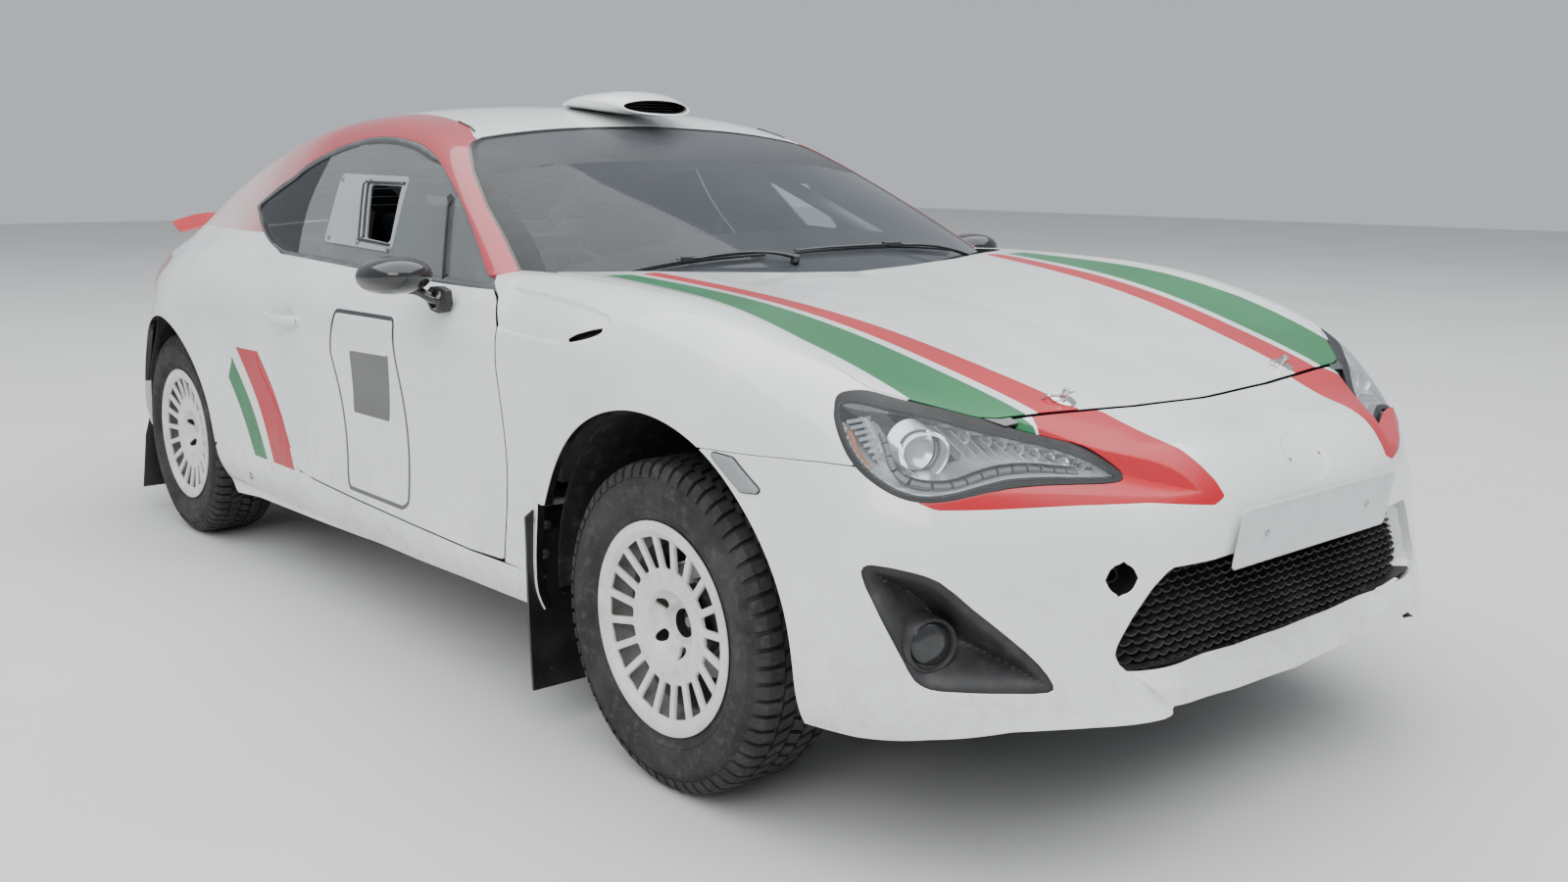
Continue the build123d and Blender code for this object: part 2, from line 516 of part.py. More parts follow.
def tyre_solid(origin):
    h = TYRE_W / 2
    b = RIM_HALF_W - 12
    with BuildSketch(Plane.XZ) as sk:
        with BuildLine():
            Polyline((-b - 6, 213), (-b, 208), (-b + 4, RIM_SEAT_R + 1), (b - 4, RIM_SEAT_R + 1), (b, 208), (b + 6, 213))
            ThreePointArc((b + 6, 213), (h, 258), (h - 14, 303))
            ThreePointArc((h - 14, 303), (h - 20, 313), (h - 34, 317))
            ThreePointArc((h - 34, 317), (0, TYRE_R), (-h + 34, 317))
            ThreePointArc((-h + 34, 317), (-h + 20, 313), (-h + 14, 303))
            ThreePointArc((-h + 14, 303), (-h, 258), (-b - 6, 213))
        make_face()
    return Pos(*origin) * Solid.revolve(sk.sketch.faces()[0], 360, Axis.X)


def wheel_solid():
    """Rim, hub, shaft and brake disc, outboard towards +X, centred on the tyre."""
    w, f = RIM_HALF_W, RIM_FLANGE_R
    barrel = [(w, f), (w - 5, f), (w - 8, 195), (w - 14, RIM_SEAT_R), (w - 34, RIM_SEAT_R - 1), (w - 46, 172), (-30, 172),
              (-50, RIM_SEAT_R - 1), (-w + 14, RIM_SEAT_R), (-w + 8, 195), (-w + 5, f), (-w, f), (-w, 190), (-w + 12, 182),
              (-56, 181), (-34, 164), (w - 50, 164), (w - 40, 172), (w - 20, 181), (w - 10, 188), (w - 2, 198)]
    face = [(w - 18, 183), (w - 26, 186), (w - 46, 172), (w - 44, 140), (w - 42, 92), (18, 78), (14, 70), (14, 0),
            (30, 0), (30, 66), (36, 76), (w - 30, 96), (w - 26, 130), (w - 24, 160)]
    solid = revolve_x(barrel, (0, 0, 0)) + revolve_x(face, (0, 0, 0))
    for i in range(SLOTS):
        a = 360.0 / SLOTS * i
        slot = plate([(20, -11.5, 116), (20, 11.5, 116), (20, 17.5, 162), (20, 12, 169), (20, -12, 169), (20, -17.5, 162)],
                     (60, 0, 0))
        solid = solid - slot.rotate(Axis.X, a)
    for i in range(5):
        a = math.radians(72 * i + 18)
        p = (50 * math.cos(a), 50 * math.sin(a))
        solid = solid - cyl((24, *p), (90, *p), 13)
    solid = solid - cyl((20, 0, 0), (90, 0, 0), 29)
    hub = revolve_x([(14, 0), (14, 70), (2, 70), (2, 76)]
                    + [(-20, 78), (-20, DISC_R), (-44, DISC_R), (-44, 70), (-10, 64), (-10, SHAFT_R), (-100, SHAFT_R), (-100, 0)],
                    (0, 0, 0))
    return biggest(solid + hub)


wheel = wheel_solid()
for name, side, y in (("front_left", 1, Y_AXLE_F), ("front_right", -1, Y_AXLE_F), ("rear_left", 1, Y_AXLE_R),
                      ("rear_right", -1, Y_AXLE_R)):
    placed = Pos(side * HALF_TRACK, y, AXLE_Z) * (wheel if side > 0 else flip(wheel))
    save("wheel_" + name, placed)
    save("tyre_" + name, tyre_solid((side * HALF_TRACK, y, AXLE_Z)))


# ---------------------------------------------------------------- suspension
def carrier(y, caliper_dy):
    """Bearing housing and caliper at one wheel, left side."""
    x = HALF_TRACK
    body = cyl((x - 98, y, AXLE_Z), (x - 52, y, AXLE_Z), 50)
    body = body + block(x - 98, x - 56, y - 36, y + 36, 212, AXLE_Z)
    body = body + block(x - 98, x - 56, min(y, y + caliper_dy), max(y, y + caliper_dy), AXLE_Z - 30, AXLE_Z + 30)
    c0, c1 = sorted((y + caliper_dy * 0.72, y + caliper_dy * 1.25))
    cal = block(x - 98, x - 7, c0, c1, AXLE_Z - 48, AXLE_Z + 48)
    slot = cyl((x - 50, y, AXLE_Z), (x - 14, y, AXLE_Z), DISC_R + 6)
    cal = cal - slot - cyl((x - 14.5, y, AXLE_Z), (x, y, AXLE_Z), 100)
    body = body + cal
    body = body - slot
    return body - cyl((x - 120, y, AXLE_Z), (x - 10, y, AXLE_Z), SHAFT_R + RUN)


knuckle = carrier(Y_AXLE_F, 118)
low = (KINGPIN_LOW[0], Y_AXLE_F, KINGPIN_LOW[1])
top = (KINGPIN_TOP[0], Y_AXLE_F, KINGPIN_TOP[1])
lean = (KINGPIN_TOP[0] - KINGPIN_LOW[0]) / (KINGPIN_TOP[1] - KINGPIN_LOW[1])


def on_pin(z):
    return (KINGPIN_LOW[0] + lean * (z - KINGPIN_LOW[1]), Y_AXLE_F, z)


strut = cyl((628, Y_AXLE_F, 380), (590, Y_AXLE_F, 850), 22) + cyl((607, Y_AXLE_F, 655), (606, Y_AXLE_F, 668), 62)
strut = strut + cyl((606, Y_AXLE_F, 660), (592, Y_AXLE_F, 830), 46)
bracket = block(622, 700, -1307, -1263, 350, 450)
knuckle = knuckle + strut + bracket
knuckle = knuckle - cyl((600, Y_AXLE_F, AXLE_Z), (HALF_TRACK - 10, Y_AXLE_F, AXLE_Z), SHAFT_R + RUN)
knuckle = knuckle - cyl((HALF_TRACK - 50, Y_AXLE_F, AXLE_Z), (HALF_TRACK - 14, Y_AXLE_F, AXLE_Z), DISC_R + 6)
knuckle = biggest(knuckle)
save("front_knuckle_left", knuckle)
save("front_knuckle_right", flip(knuckle))

arm_f = prism_z([(712, -1315), (712, -1255), (640, -1225), (360, -1130), (330, -1130), (330, -1440), (360, -1440), (640, -1345)],
                166, 190)
arm_f = arm_f - prism_z([(600, -1285), (400, -1185), (400, -1385)], 150, 210)
cross_f = block(-360, 360, -1440, -1370, 166, 262) + block(-360, 360, -1180, -1130, 166, 262)
cross_f = cross_f + block(-360, -300, -1440, -1130, 166, 262) + block(300, 360, -1440, -1130, 166, 262)
legs = [block(s * 430 - 30, s * 430 + 30, -1420, -1370, 262, 380) for s in (-1, 1)]
cross_f = cross_f + block(-460, 460, -1420, -1370, 230, 262)
for leg in legs:
    cross_f = cross_f + leg
rack = cyl((-330, -1155, 285), (330, -1155, 285), 26) + block(-30, 30, -1180, -1130, 250, 290)
subframe = cross_f + arm_f + flip(arm_f) + rack
tow = cyl((-500, -2040, 525), (-500, -1970, 525), 22) + block(-535, -435, -1978, -1955, 500, 552)
tow = tow - cyl((-500, -2100, 525), (-500, -1970, 525), 9)
guard = prism_x([(-1940, 262), (-1900, 222), (-1100, 160), (-760, 160), (-760, 166), (-1100, 166), (-1898, 228), (-1934, 266)],
                -330, 330)
subframe = subframe + guard + block(-300, 300, -1440, -1380, 160, 180) + block(-300, 300, -1180, -1130, 160, 180)
save("front_subframe", biggest(subframe))
save("tow_sockets", biggest(cut(tow, front_bumper)))

hub_r = carrier(Y_AXLE_R, -118)
link = cyl((300, 1240, 250), (680, 1270, 235), 20) + cyl((300, 1380, 300), (680, 1320, 300), 18)
link = link + cyl((405, 909, 262), (676, 1262, 240), 20) + cyl((300, 1330, 420), (676, 1300, 345), 18)
damper = cyl((566, 1290, 300), (556, 1290, 530), 24) + block(550, 668, 1268, 1312, 285, 320)
half = hub_r + link + damper
frame_r = block(-330, 330, 1200, 1260, 235, 330) + block(-330, 330, 1340, 1400, 235, 330)
frame_r = frame_r + block(-330, -270, 1200, 1400, 235, 440) + block(270, 330, 1200, 1400, 235, 440)
frame_r = frame_r + block(-100, 100, 1180, 1420, 250, 400)
frame_r = frame_r + block(-430, -380, 892, 920, 265, 300) + block(380, 430, 892, 920, 265, 300)
shaft = cyl((100, 1290, AXLE_Z), (663.5, Y_AXLE_R, AXLE_Z), 14)
half = half + shaft
half = half - cyl((600, Y_AXLE_R, AXLE_Z), (HALF_TRACK - 10, Y_AXLE_R, AXLE_Z), SHAFT_R + RUN)
rear_suspension = frame_r + half + flip(half)
save("rear_suspension", *solids_of(rear_suspension))

# ---------------------------------------------------------------- driveline and exhaust
save("engine_block", block(-230, 230, -1360, -860, 320, 780))
prop = cyl((0, -850, 345), (0, 1170, 335), 34)
save("propshaft", prop)
pipe = cyl((-262, -850, 202), (-262, 1420, 202), 27) + cyl((-262, 300, 200), (-262, 620, 200), 38)
box = block(-320, 320, 1705, 1895, 195, 325)
tips = [cyl((s * 480, 1900, 318), (s * 480, 2104, 318), 44) - cyl((s * 480, 1950, 318), (s * 480, 2200, 318), 39) for s in (-1, 1)]
run = cyl((-262, 1420, 202), (-262, 1720, 280), 27) + Pos(-262, 1420, 202) * Solid.make_sphere(27)
tails = [cyl((s * 300, 1790, 285), (s * 470, 1905, 300), 24) for s in (-1, 1)]
exhaust = pipe + box + run
for piece in tips + tails:
    exhaust = exhaust + piece
save("exhaust", *solids_of(exhaust))

# ---------------------------------------------------------------- cabin
DASH = [(-630, 700), (-330, 690), (-300, 760), (-340, 850), (-430, 880), (-630, 900)]
dash = prism_x(DASH, -610, 610) + prism_x([(-500, 700), (-470, 440), (-330, 440), (-300, 700)], -90, 90)
dash = biggest(dash)
save("dashboard", dash)

SEAT = [(-60, 330), (60, 310), (420, 300), (520, 380), (640, 900), (600, 1050), (530, 1050), (545, 880), (440, 430), (-40, 430)]


def seat(x):
    body = prism_x(SEAT, x - 200, x + 200)
    for s in (-1, 1):
        wing = prism_x([(40, 310), (430, 300), (520, 380), (650, 860), (520, 900), (440, 560), (60, 500)],
                       x + s * 225 - 22, x + s * 225 + 22)
        ear = prism_x([(480, 930), (600, 920), (620, 1060), (500, 1060)], x + s * 180 - 15, x + s * 180 + 15)
        body = body + wing + ear
    body = body + block(x - 180, x - 140, 60, 400, 262, 320) + block(x + 140, x + 180, 60, 400, 262, 320)
    return body


save("seats", biggest(seat(370)), biggest(seat(-370)))

TUBE = 20.0
HOOP_Y, HALO_Y = 690, 40
HOOP_TOP, HALO = (450, 1165), (450, 1180)  # x, z of the upper corners
cage = None
runs = [((s * 655, HOOP_Y, 262), (s * 655, HOOP_Y, 830)) for s in (-1, 1)]
runs += [((s * 655, HOOP_Y, 830), (s * HOOP_TOP[0], HOOP_Y, HOOP_TOP[1])) for s in (-1, 1)]
for s in (-1, 1):
    top, halo, scuttle = (s * HOOP_TOP[0], HOOP_Y, HOOP_TOP[1]), (s * HALO[0], HALO_Y, HALO[1]), (s * 640, -500, 905)
    runs += [(top, halo), (halo, scuttle), (scuttle, (s * 645, -560, 262)), (top, (s * 400, 1180, 927)),
             ((s * 655, HOOP_Y, 700), (s * 642, -540, 440)), ((s * 655, HOOP_Y, 330), (s * 642, -525, 690))]
runs += [((-450, HOOP_Y, 1165), (450, HOOP_Y, 1165)), ((-655, HOOP_Y, 830), (655, HOOP_Y, 830)),
         ((HALO[0], HALO_Y, HALO[1]), (-HALO[0], HALO_Y, HALO[1])),
         ((655, HOOP_Y, 290), (-450, HOOP_Y, 1165))]
for p, q in runs:
    tube = cyl(p, q, TUBE)
    ball = Pos(*p) * Solid.make_sphere(TUBE)
    ball2 = Pos(*q) * Solid.make_sphere(TUBE)
    cage = tube if cage is None else cage + tube
    cage = cage + ball + ball2
cage = cut(cage, block(-800, 800, -700, 800, 200, 262.5), block(-700, 700, 1100, 1300, 800, 927.2))
save("roll_cage", biggest(cage))

wheel_ring = Solid.make_torus(165, 15)
spoke = cyl((-160, 0, -10), (160, 0, -10), 12) + cyl((0, 0, -90), (0, 0, -10), 26) + cyl((0, -160, 0), (0, 0, -10), 12)
steering = wheel_ring + spoke
steering = Pos(-370, -170, 800) * Rot(-68, 0, 0) * steering
column = cyl((-370, -235, 770), (-370, -345, 740), 22)
save("steering_wheel", biggest(cut(steering + column, dash)))
print("done")
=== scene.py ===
import math

import bmesh
import bpy
import numpy as np
from mathutils import Matrix, Vector
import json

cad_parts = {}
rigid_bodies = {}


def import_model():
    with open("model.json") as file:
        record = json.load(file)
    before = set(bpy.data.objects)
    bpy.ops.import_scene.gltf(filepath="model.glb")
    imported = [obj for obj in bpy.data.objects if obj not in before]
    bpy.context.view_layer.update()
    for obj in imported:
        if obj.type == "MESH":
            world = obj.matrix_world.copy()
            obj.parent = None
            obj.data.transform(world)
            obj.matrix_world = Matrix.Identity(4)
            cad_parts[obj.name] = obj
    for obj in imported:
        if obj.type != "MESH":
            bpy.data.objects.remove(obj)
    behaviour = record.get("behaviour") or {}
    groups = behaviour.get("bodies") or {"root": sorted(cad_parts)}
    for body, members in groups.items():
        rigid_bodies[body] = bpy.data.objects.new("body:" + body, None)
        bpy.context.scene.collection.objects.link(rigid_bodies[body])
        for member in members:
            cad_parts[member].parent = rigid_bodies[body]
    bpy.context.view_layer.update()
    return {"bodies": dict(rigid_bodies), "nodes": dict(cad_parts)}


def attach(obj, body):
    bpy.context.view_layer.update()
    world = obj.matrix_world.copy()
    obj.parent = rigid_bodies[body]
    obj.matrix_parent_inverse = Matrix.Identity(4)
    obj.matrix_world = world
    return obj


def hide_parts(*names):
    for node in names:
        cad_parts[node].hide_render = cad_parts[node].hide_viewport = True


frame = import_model()
NODES, BODIES = frame["nodes"], frame["bodies"]

# ------------------------------------------------------------------ smooth body surfaces (metres)
class Spline:
    """Natural cubic spline through rows of values."""

    def __init__(self, xs, ys):
        self.x = np.asarray(xs, float)
        self.y = np.asarray(ys, float).reshape(len(xs), -1)
        n = len(xs)
        h = np.diff(self.x)
        a = np.zeros((n, n))
        b = np.zeros_like(self.y)
        a[0, 0] = a[-1, -1] = 1
        for i in range(1, n - 1):
            a[i, i - 1], a[i, i], a[i, i + 1] = h[i - 1], 2 * (h[i - 1] + h[i]), h[i]
            b[i] = 6 * ((self.y[i + 1] - self.y[i]) / h[i] - (self.y[i] - self.y[i - 1]) / h[i - 1])
        self.m = np.linalg.solve(a, b)

    def weights(self, q):
        i = np.clip(np.searchsorted(self.x, q) - 1, 0, len(self.x) - 2)
        h = self.x[i + 1] - self.x[i]
        t = np.clip((q - self.x[i]) / h, -0.35, 1.35)
        return i, h, t

    def __call__(self, q):
        i, h, t = self.weights(np.asarray(q, float))
        h, t = h[..., None], t[..., None]
        s = 1 - t
        return s * self.y[i] + t * self.y[i + 1] + h * h / 6 * ((s ** 3 - s) * self.m[i] + (t ** 3 - t) * self.m[i + 1])


class Sheet:
    """Value over a grid: cubic in u through every row, then cubic in v."""

    def __init__(self, us, vs, table, du=0.01, dv=0.01):
        us, vs = np.asarray(us, float), np.asarray(vs, float)
        nu, nv = max(8, int((us[-1] - us[0]) / du) + 1), max(8, int((vs[-1] - vs[0]) / dv) + 1)
        self.u, self.v = np.linspace(us[0], us[-1], nu), np.linspace(vs[0], vs[-1], nv)
        rows = Spline(us, np.asarray(table, float))(self.u)
        self.g = Spline(vs, rows.T)(self.v).T

    def __call__(self, u, v):
        fu = np.clip((u - self.u[0]) / (self.u[1] - self.u[0]), 1, len(self.u) - 2.001)
        fv = np.clip((v - self.v[0]) / (self.v[1] - self.v[0]), 1, len(self.v) - 2.001)
        i, j = fu.astype(int), fv.astype(int)
        i, j = np.clip(i, 1, len(self.u) - 3), np.clip(j, 1, len(self.v) - 3)
        a, b = fu - i, fv - j

        def w(t):
            return [((-t + 2) * t - 1) * t / 2, ((3 * t - 5) * t * t + 2) / 2, ((-3 * t + 4) * t + 1) * t / 2, (t - 1) * t * t / 2]

        wa, wb = w(a), w(b)
        out = 0
        for p in range(4):
            row = 0
            for q in range(4):
                row = row + wb[q] * self.g[i + p - 1, j + q - 1]
            out = out + wa[p] * row
        return out


def smax(a, b, k):
    h = np.maximum(k - np.abs(a - b), 0.0) / k
    return np.maximum(a, b) + h * h * h * k / 6.0


def smin(a, b, k):
    return -smax(-a, -b, k)


def step(a, b, t):
    t = np.clip((t - a) / (b - a), 0, 1)
    return t * t * t * (t * (6 * t - 15) + 10)


# side sections: y, then x at each height below
SIDE_Z = [0.225, 0.30, 0.34, 0.42, 0.52, 0.62, 0.70, 0.76, 0.82, 0.87, 0.91, 0.95]
SIDE_X = [
    (-1.80, 0.806, 0.830, 0.836, 0.842, 0.844, 0.840, 0.828, 0.812, 0.788, 0.760, 0.73, 0.70),
    (-1.655, 0.822, 0.848, 0.854, 0.860, 0.864, 0.864, 0.858, 0.844, 0.820, 0.792, 0.76, 0.73),
    (-1.50, 0.830, 0.856, 0.862, 0.868, 0.873, 0.876, 0.874, 0.866, 0.846, 0.820, 0.79, 0.76),
    (-1.285, 0.834, 0.862, 0.867, 0.872, 0.878, 0.883, 0.884, 0.879, 0.865, 0.840, 0.81, 0.775),
    (-1.00, 0.836, 0.866, 0.868, 0.866, 0.866, 0.871, 0.876, 0.875, 0.866, 0.846, 0.82, 0.785),
    (-0.70, 0.836, 0.866, 0.867, 0.860, 0.853, 0.856, 0.863, 0.866, 0.858, 0.838, 0.812, 0.785),
    (-0.30, 0.834, 0.864, 0.866, 0.856, 0.847, 0.849, 0.857, 0.860, 0.850, 0.828, 0.804, 0.780),
    (0.10, 0.834, 0.864, 0.866, 0.856, 0.847, 0.849, 0.857, 0.860, 0.849, 0.824, 0.798, 0.775),
    (0.565, 0.836, 0.868, 0.870, 0.864, 0.858, 0.862, 0.869, 0.870, 0.857, 0.828, 0.796, 0.768),
    (0.90, 0.838, 0.870, 0.874, 0.876, 0.879, 0.884, 0.887, 0.884, 0.866, 0.835, 0.800, 0.77),
    (1.285, 0.838, 0.866, 0.874, 0.881, 0.887, 0.890, 0.889, 0.880, 0.857, 0.825, 0.79, 0.75),
    (1.50, 0.824, 0.854, 0.862, 0.868, 0.870, 0.864, 0.854, 0.840, 0.817, 0.779, 0.735, 0.69),
    (1.655, 0.802, 0.828, 0.834, 0.838, 0.832, 0.816, 0.804, 0.790, 0.770, 0.736, 0.69, 0.64),
    (1.90, 0.740, 0.755, 0.760, 0.764, 0.748, 0.732, 0.720, 0.708, 0.690, 0.655, 0.60, 0.54),
    (2.05, 0.690, 0.700, 0.705, 0.706, 0.690, 0.672, 0.660, 0.648, 0.626, 0.590, 0.54, 0.48),
]
side_sheet = Sheet([r[0] for r in SIDE_X], SIDE_Z, [r[1:] for r in SIDE_X])

# nose plan lines: height, then y at x 0, 0.3, 0.43, 0.6, then (x, y) of three places round the corner
NOSE_Y0 = -1.25
NOSE_ROWS = [
    (0.225, -2.060, -2.072, -2.072, -2.010, (0.735, -1.895), (0.806, -1.72), (0.832, -1.50)),
    (0.262, -2.092, -2.104, -2.112, -2.030, (0.748, -1.900), (0.828, -1.71), (0.846, -1.50)),
    (0.300, -2.088, -2.100, -2.106, -2.030, (0.755, -1.900), (0.840, -1.70), (0.856, -1.50)),
    (0.340, -2.068, -2.078, -2.088, -2.026, (0.760, -1.896), (0.846, -1.69), (0.862, -1.50)),
    (0.440, -2.082, -2.080, -2.072, -2.006, (0.768, -1.882), (0.853, -1.68), (0.869, -1.50)),
    (0.540, -2.108, -2.098, -2.070, -1.990, (0.776, -1.864), (0.857, -1.67), (0.874, -1.50)),
    (0.600, -2.116, -2.102, -2.062, -1.974, (0.776, -1.850), (0.857, -1.66), (0.876, -1.50)),
    (0.650, -2.110, -2.092, -2.040, -1.952, (0.768, -1.836), (0.852, -1.655), (0.876, -1.50)),
    (0.700, -2.088, -2.066, -2.006, -1.925, (0.756, -1.818), (0.842, -1.65), (0.874, -1.50)),
    (0.760, -2.052, -2.026, -1.962, -1.886, (0.738, -1.790), (0.826, -1.64), (0.866, -1.50)),
    (0.830, -2.000, -1.970, -1.905, -1.832, (0.712, -1.752), (0.802, -1.62), (0.848, -1.50)),
    (0.900, -1.940, -1.910, -1.850, -1.780, (0.690, -1.710), (0.776, -1.60), (0.815, -1.50)),
]


def polar_sheet(rows, y0, thetas):
    table = []
    for z, a, b, c, d, e, f, g in rows:
        pts = [(0, a), (0.3, b), (0.43, c), (0.6, d), e, f, g]
        th = np.array([math.atan2(abs(y - y0), x) for x, y in pts])
        r = np.array([math.hypot(x, y - y0) for x, y in pts])
        # mirrored past the middle, so that the slope is level there
        th2 = np.concatenate([th[::-1], math.pi - th[1:3]])
        r2 = np.concatenate([r[::-1], r[1:3]])
        table.append(Spline(th2, r2)(thetas)[:, 0])
    return Sheet([row[0] for row in rows], thetas, table, 0.008, 0.01)


nose_sheet = polar_sheet(NOSE_ROWS, NOSE_Y0, np.linspace(0.29, math.pi / 2 + 0.08, 60))
TAIL_Y0 = 1.25
TAIL_ROWS = [
    (0.225, 2.060, 2.060, 2.050, 1.998, (0.690, 1.905), (0.770, 1.76), (0.820, 1.55)),
    (0.280, 2.096, 2.094, 2.082, 2.022, (0.712, 1.920), (0.792, 1.77), (0.844, 1.55)),
    (0.400, 2.112, 2.108, 2.093, 2.034, (0.728, 1.922), (0.806, 1.77), (0.862, 1.55)),
    (0.560, 2.124, 2.119, 2.102, 2.036, (0.727, 1.912), (0.787, 1.77), (0.857, 1.55)),
    (0.660, 2.124, 2.118, 2.100, 2.032, (0.723, 1.900), (0.770, 1.77), (0.842, 1.55)),
    (0.740, 2.104, 2.098, 2.080, 2.010, (0.706, 1.882), (0.758, 1.76), (0.828, 1.55)),
    (0.820, 2.092, 2.086, 2.063, 1.980, (0.674, 1.855), (0.736, 1.74), (0.804, 1.55)),
    (0.880, 2.086, 2.078, 2.050, 1.950, (0.640, 1.845), (0.700, 1.72), (0.765, 1.55)),
    (0.940, 2.078, 2.066, 2.030, 1.920, (0.610, 1.835), (0.665, 1.70), (0.720, 1.55)),
]
tail_sheet = polar_sheet(TAIL_ROWS, TAIL_Y0, np.linspace(0.33, math.pi / 2 + 0.08, 60))

TOP_X = [0.0, 0.30, 0.45, 0.55, 0.67, 0.75, 0.82, 0.88]
TOP_Z = [
    (-2.12, 0.640, 0.630, 0.600, 0.560, 0.500, 0.440, 0.370, 0.30),
    (-2.05, 0.697, 0.690, 0.664, 0.636, 0.590, 0.540, 0.470, 0.40),
    (-1.95, 0.727, 0.725, 0.710, 0.696, 0.674, 0.640, 0.580, 0.52),
    (-1.87, 0.747, 0.752, 0.748, 0.742, 0.730, 0.706, 0.662, 0.60),
    (-1.78, 0.773, 0.780, 0.781, 0.780, 0.778, 0.762, 0.722, 0.67),
    (-1.65, 0.806, 0.814, 0.818, 0.820, 0.828, 0.826, 0.796, 0.745),
    (-1.50, 0.841, 0.850, 0.856, 0.860, 0.870, 0.875, 0.850, 0.800),
    (-1.285, 0.878, 0.888, 0.896, 0.902, 0.914, 0.920, 0.894, 0.84),
    (-1.00, 0.914, 0.922, 0.928, 0.932, 0.938, 0.940, 0.912, 0.86),
    (-0.72, 0.946, 0.950, 0.950, 0.950, 0.948, 0.944, 0.918, 0.87),
    (-0.50, 0.955, 0.955, 0.955, 0.952, 0.946, 0.936, 0.912, 0.87),
    (0.00, 0.955, 0.955, 0.955, 0.950, 0.942, 0.930, 0.912, 0.87),
    (0.50, 0.960, 0.960, 0.958, 0.954, 0.946, 0.936, 0.918, 0.87),
    (0.80, 0.965, 0.965, 0.963, 0.958, 0.950, 0.940, 0.916, 0.86),
    (1.10, 0.968, 0.968, 0.966, 0.961, 0.952, 0.938, 0.906, 0.84),
    (1.35, 0.966, 0.966, 0.963, 0.957, 0.946, 0.918, 0.880, 0.80),
    (1.60, 0.958, 0.957, 0.953, 0.945, 0.918, 0.882, 0.824, 0.74),
    (1.85, 0.946, 0.944, 0.938, 0.926, 0.884, 0.830, 0.750, 0.66),
    (2.00, 0.938, 0.935, 0.924, 0.905, 0.850, 0.785, 0.700, 0.60),
    (2.10, 0.930, 0.926, 0.912, 0.888, 0.825, 0.755, 0.660, 0.56),
]
top_sheet = Sheet([r[0] for r in TOP_Z], TOP_X, [r[1:] for r in TOP_Z])
belt_line = Spline([-0.9, -0.7, -0.3, 0.1, 0.56, 0.9, 1.3], [[0.925], [0.912], [0.908], [0.914], [0.924], [0.928], [0.93]])

ARCH_F = (-1.278, 0.345, 0.392)
ARCH_R = (1.287, 0.328, 0.372)


def flare(y, z):
    out = 0
    for ay, az, r, amp in ((ARCH_F[0], ARCH_F[1], ARCH_F[2], 0.010), (ARCH_R[0], ARCH_R[1], ARCH_R[2], 0.012)):
        d = np.hypot(y - ay, z - az) - r
        out = out + amp * np.exp(-(np.maximum(d, 0) / 0.055) ** 2) * step(0.20, 0.42, z)
    return out


def body_plan(x, y, z):
    """Distance outside the body's flank, nose and tail."""
    x = np.abs(x)
    side = x - side_sheet(y, z) - flare(y, z)
    rn, thn = np.hypot(x, y - NOSE_Y0), np.arctan2(NOSE_Y0 - y, x)
    rt, tht = np.hypot(x, y - TAIL_Y0), np.arctan2(y - TAIL_Y0, x)
    nose = rn - nose_sheet(z, thn) - flare(y, z) * 0.8
    tail = rt - tail_sheet(z, tht) - flare(y, z) * 0.8
    wn, wt = 1 - step(-1.66, -1.52, y), step(1.56, 1.70, y)
    out = np.where(y < 0, side * (1 - wn) + nose * wn, side * (1 - wt) + tail * wt)
    return out


def body(x, y, z):
    ax = np.abs(x)
    top = (z - top_sheet(y, ax)) * 0.92
    belt = step(-0.72, -0.66, y) * (1 - step(0.54, 0.80, y))
    k = 0.055 - 0.030 * belt + 0.03 * step(0.7, 1.1, y)
    k = k + 0.02 * (1 - step(-1.9, -1.6, y))
    return smax(body_plan(x, y, z), top, k)


# greenhouse
HOUSE_SIDE_Z = [0.88, 0.94, 1.00, 1.08, 1.16, 1.24, 1.32]
HOUSE_SIDE_X = [
    (-0.90, 0.800, 0.768, 0.738, 0.696, 0.650, 0.600, 0.545),
    (-0.50, 0.805, 0.775, 0.744, 0.701, 0.655, 0.604, 0.548),
    (0.10, 0.806, 0.776, 0.745, 0.703, 0.657, 0.605, 0.548),
    (0.60, 0.800, 0.771, 0.741, 0.699, 0.653, 0.601, 0.544),
    (1.00, 0.784, 0.755, 0.726, 0.684, 0.637, 0.585, 0.528),
    (1.35, 0.752, 0.725, 0.697, 0.655, 0.607, 0.553, 0.495),
    (1.70, 0.705, 0.680, 0.652, 0.611, 0.563, 0.509, 0.450),
]
house_side = Sheet([r[0] for r in HOUSE_SIDE_X], HOUSE_SIDE_Z, [r[1:] for r in HOUSE_SIDE_X])
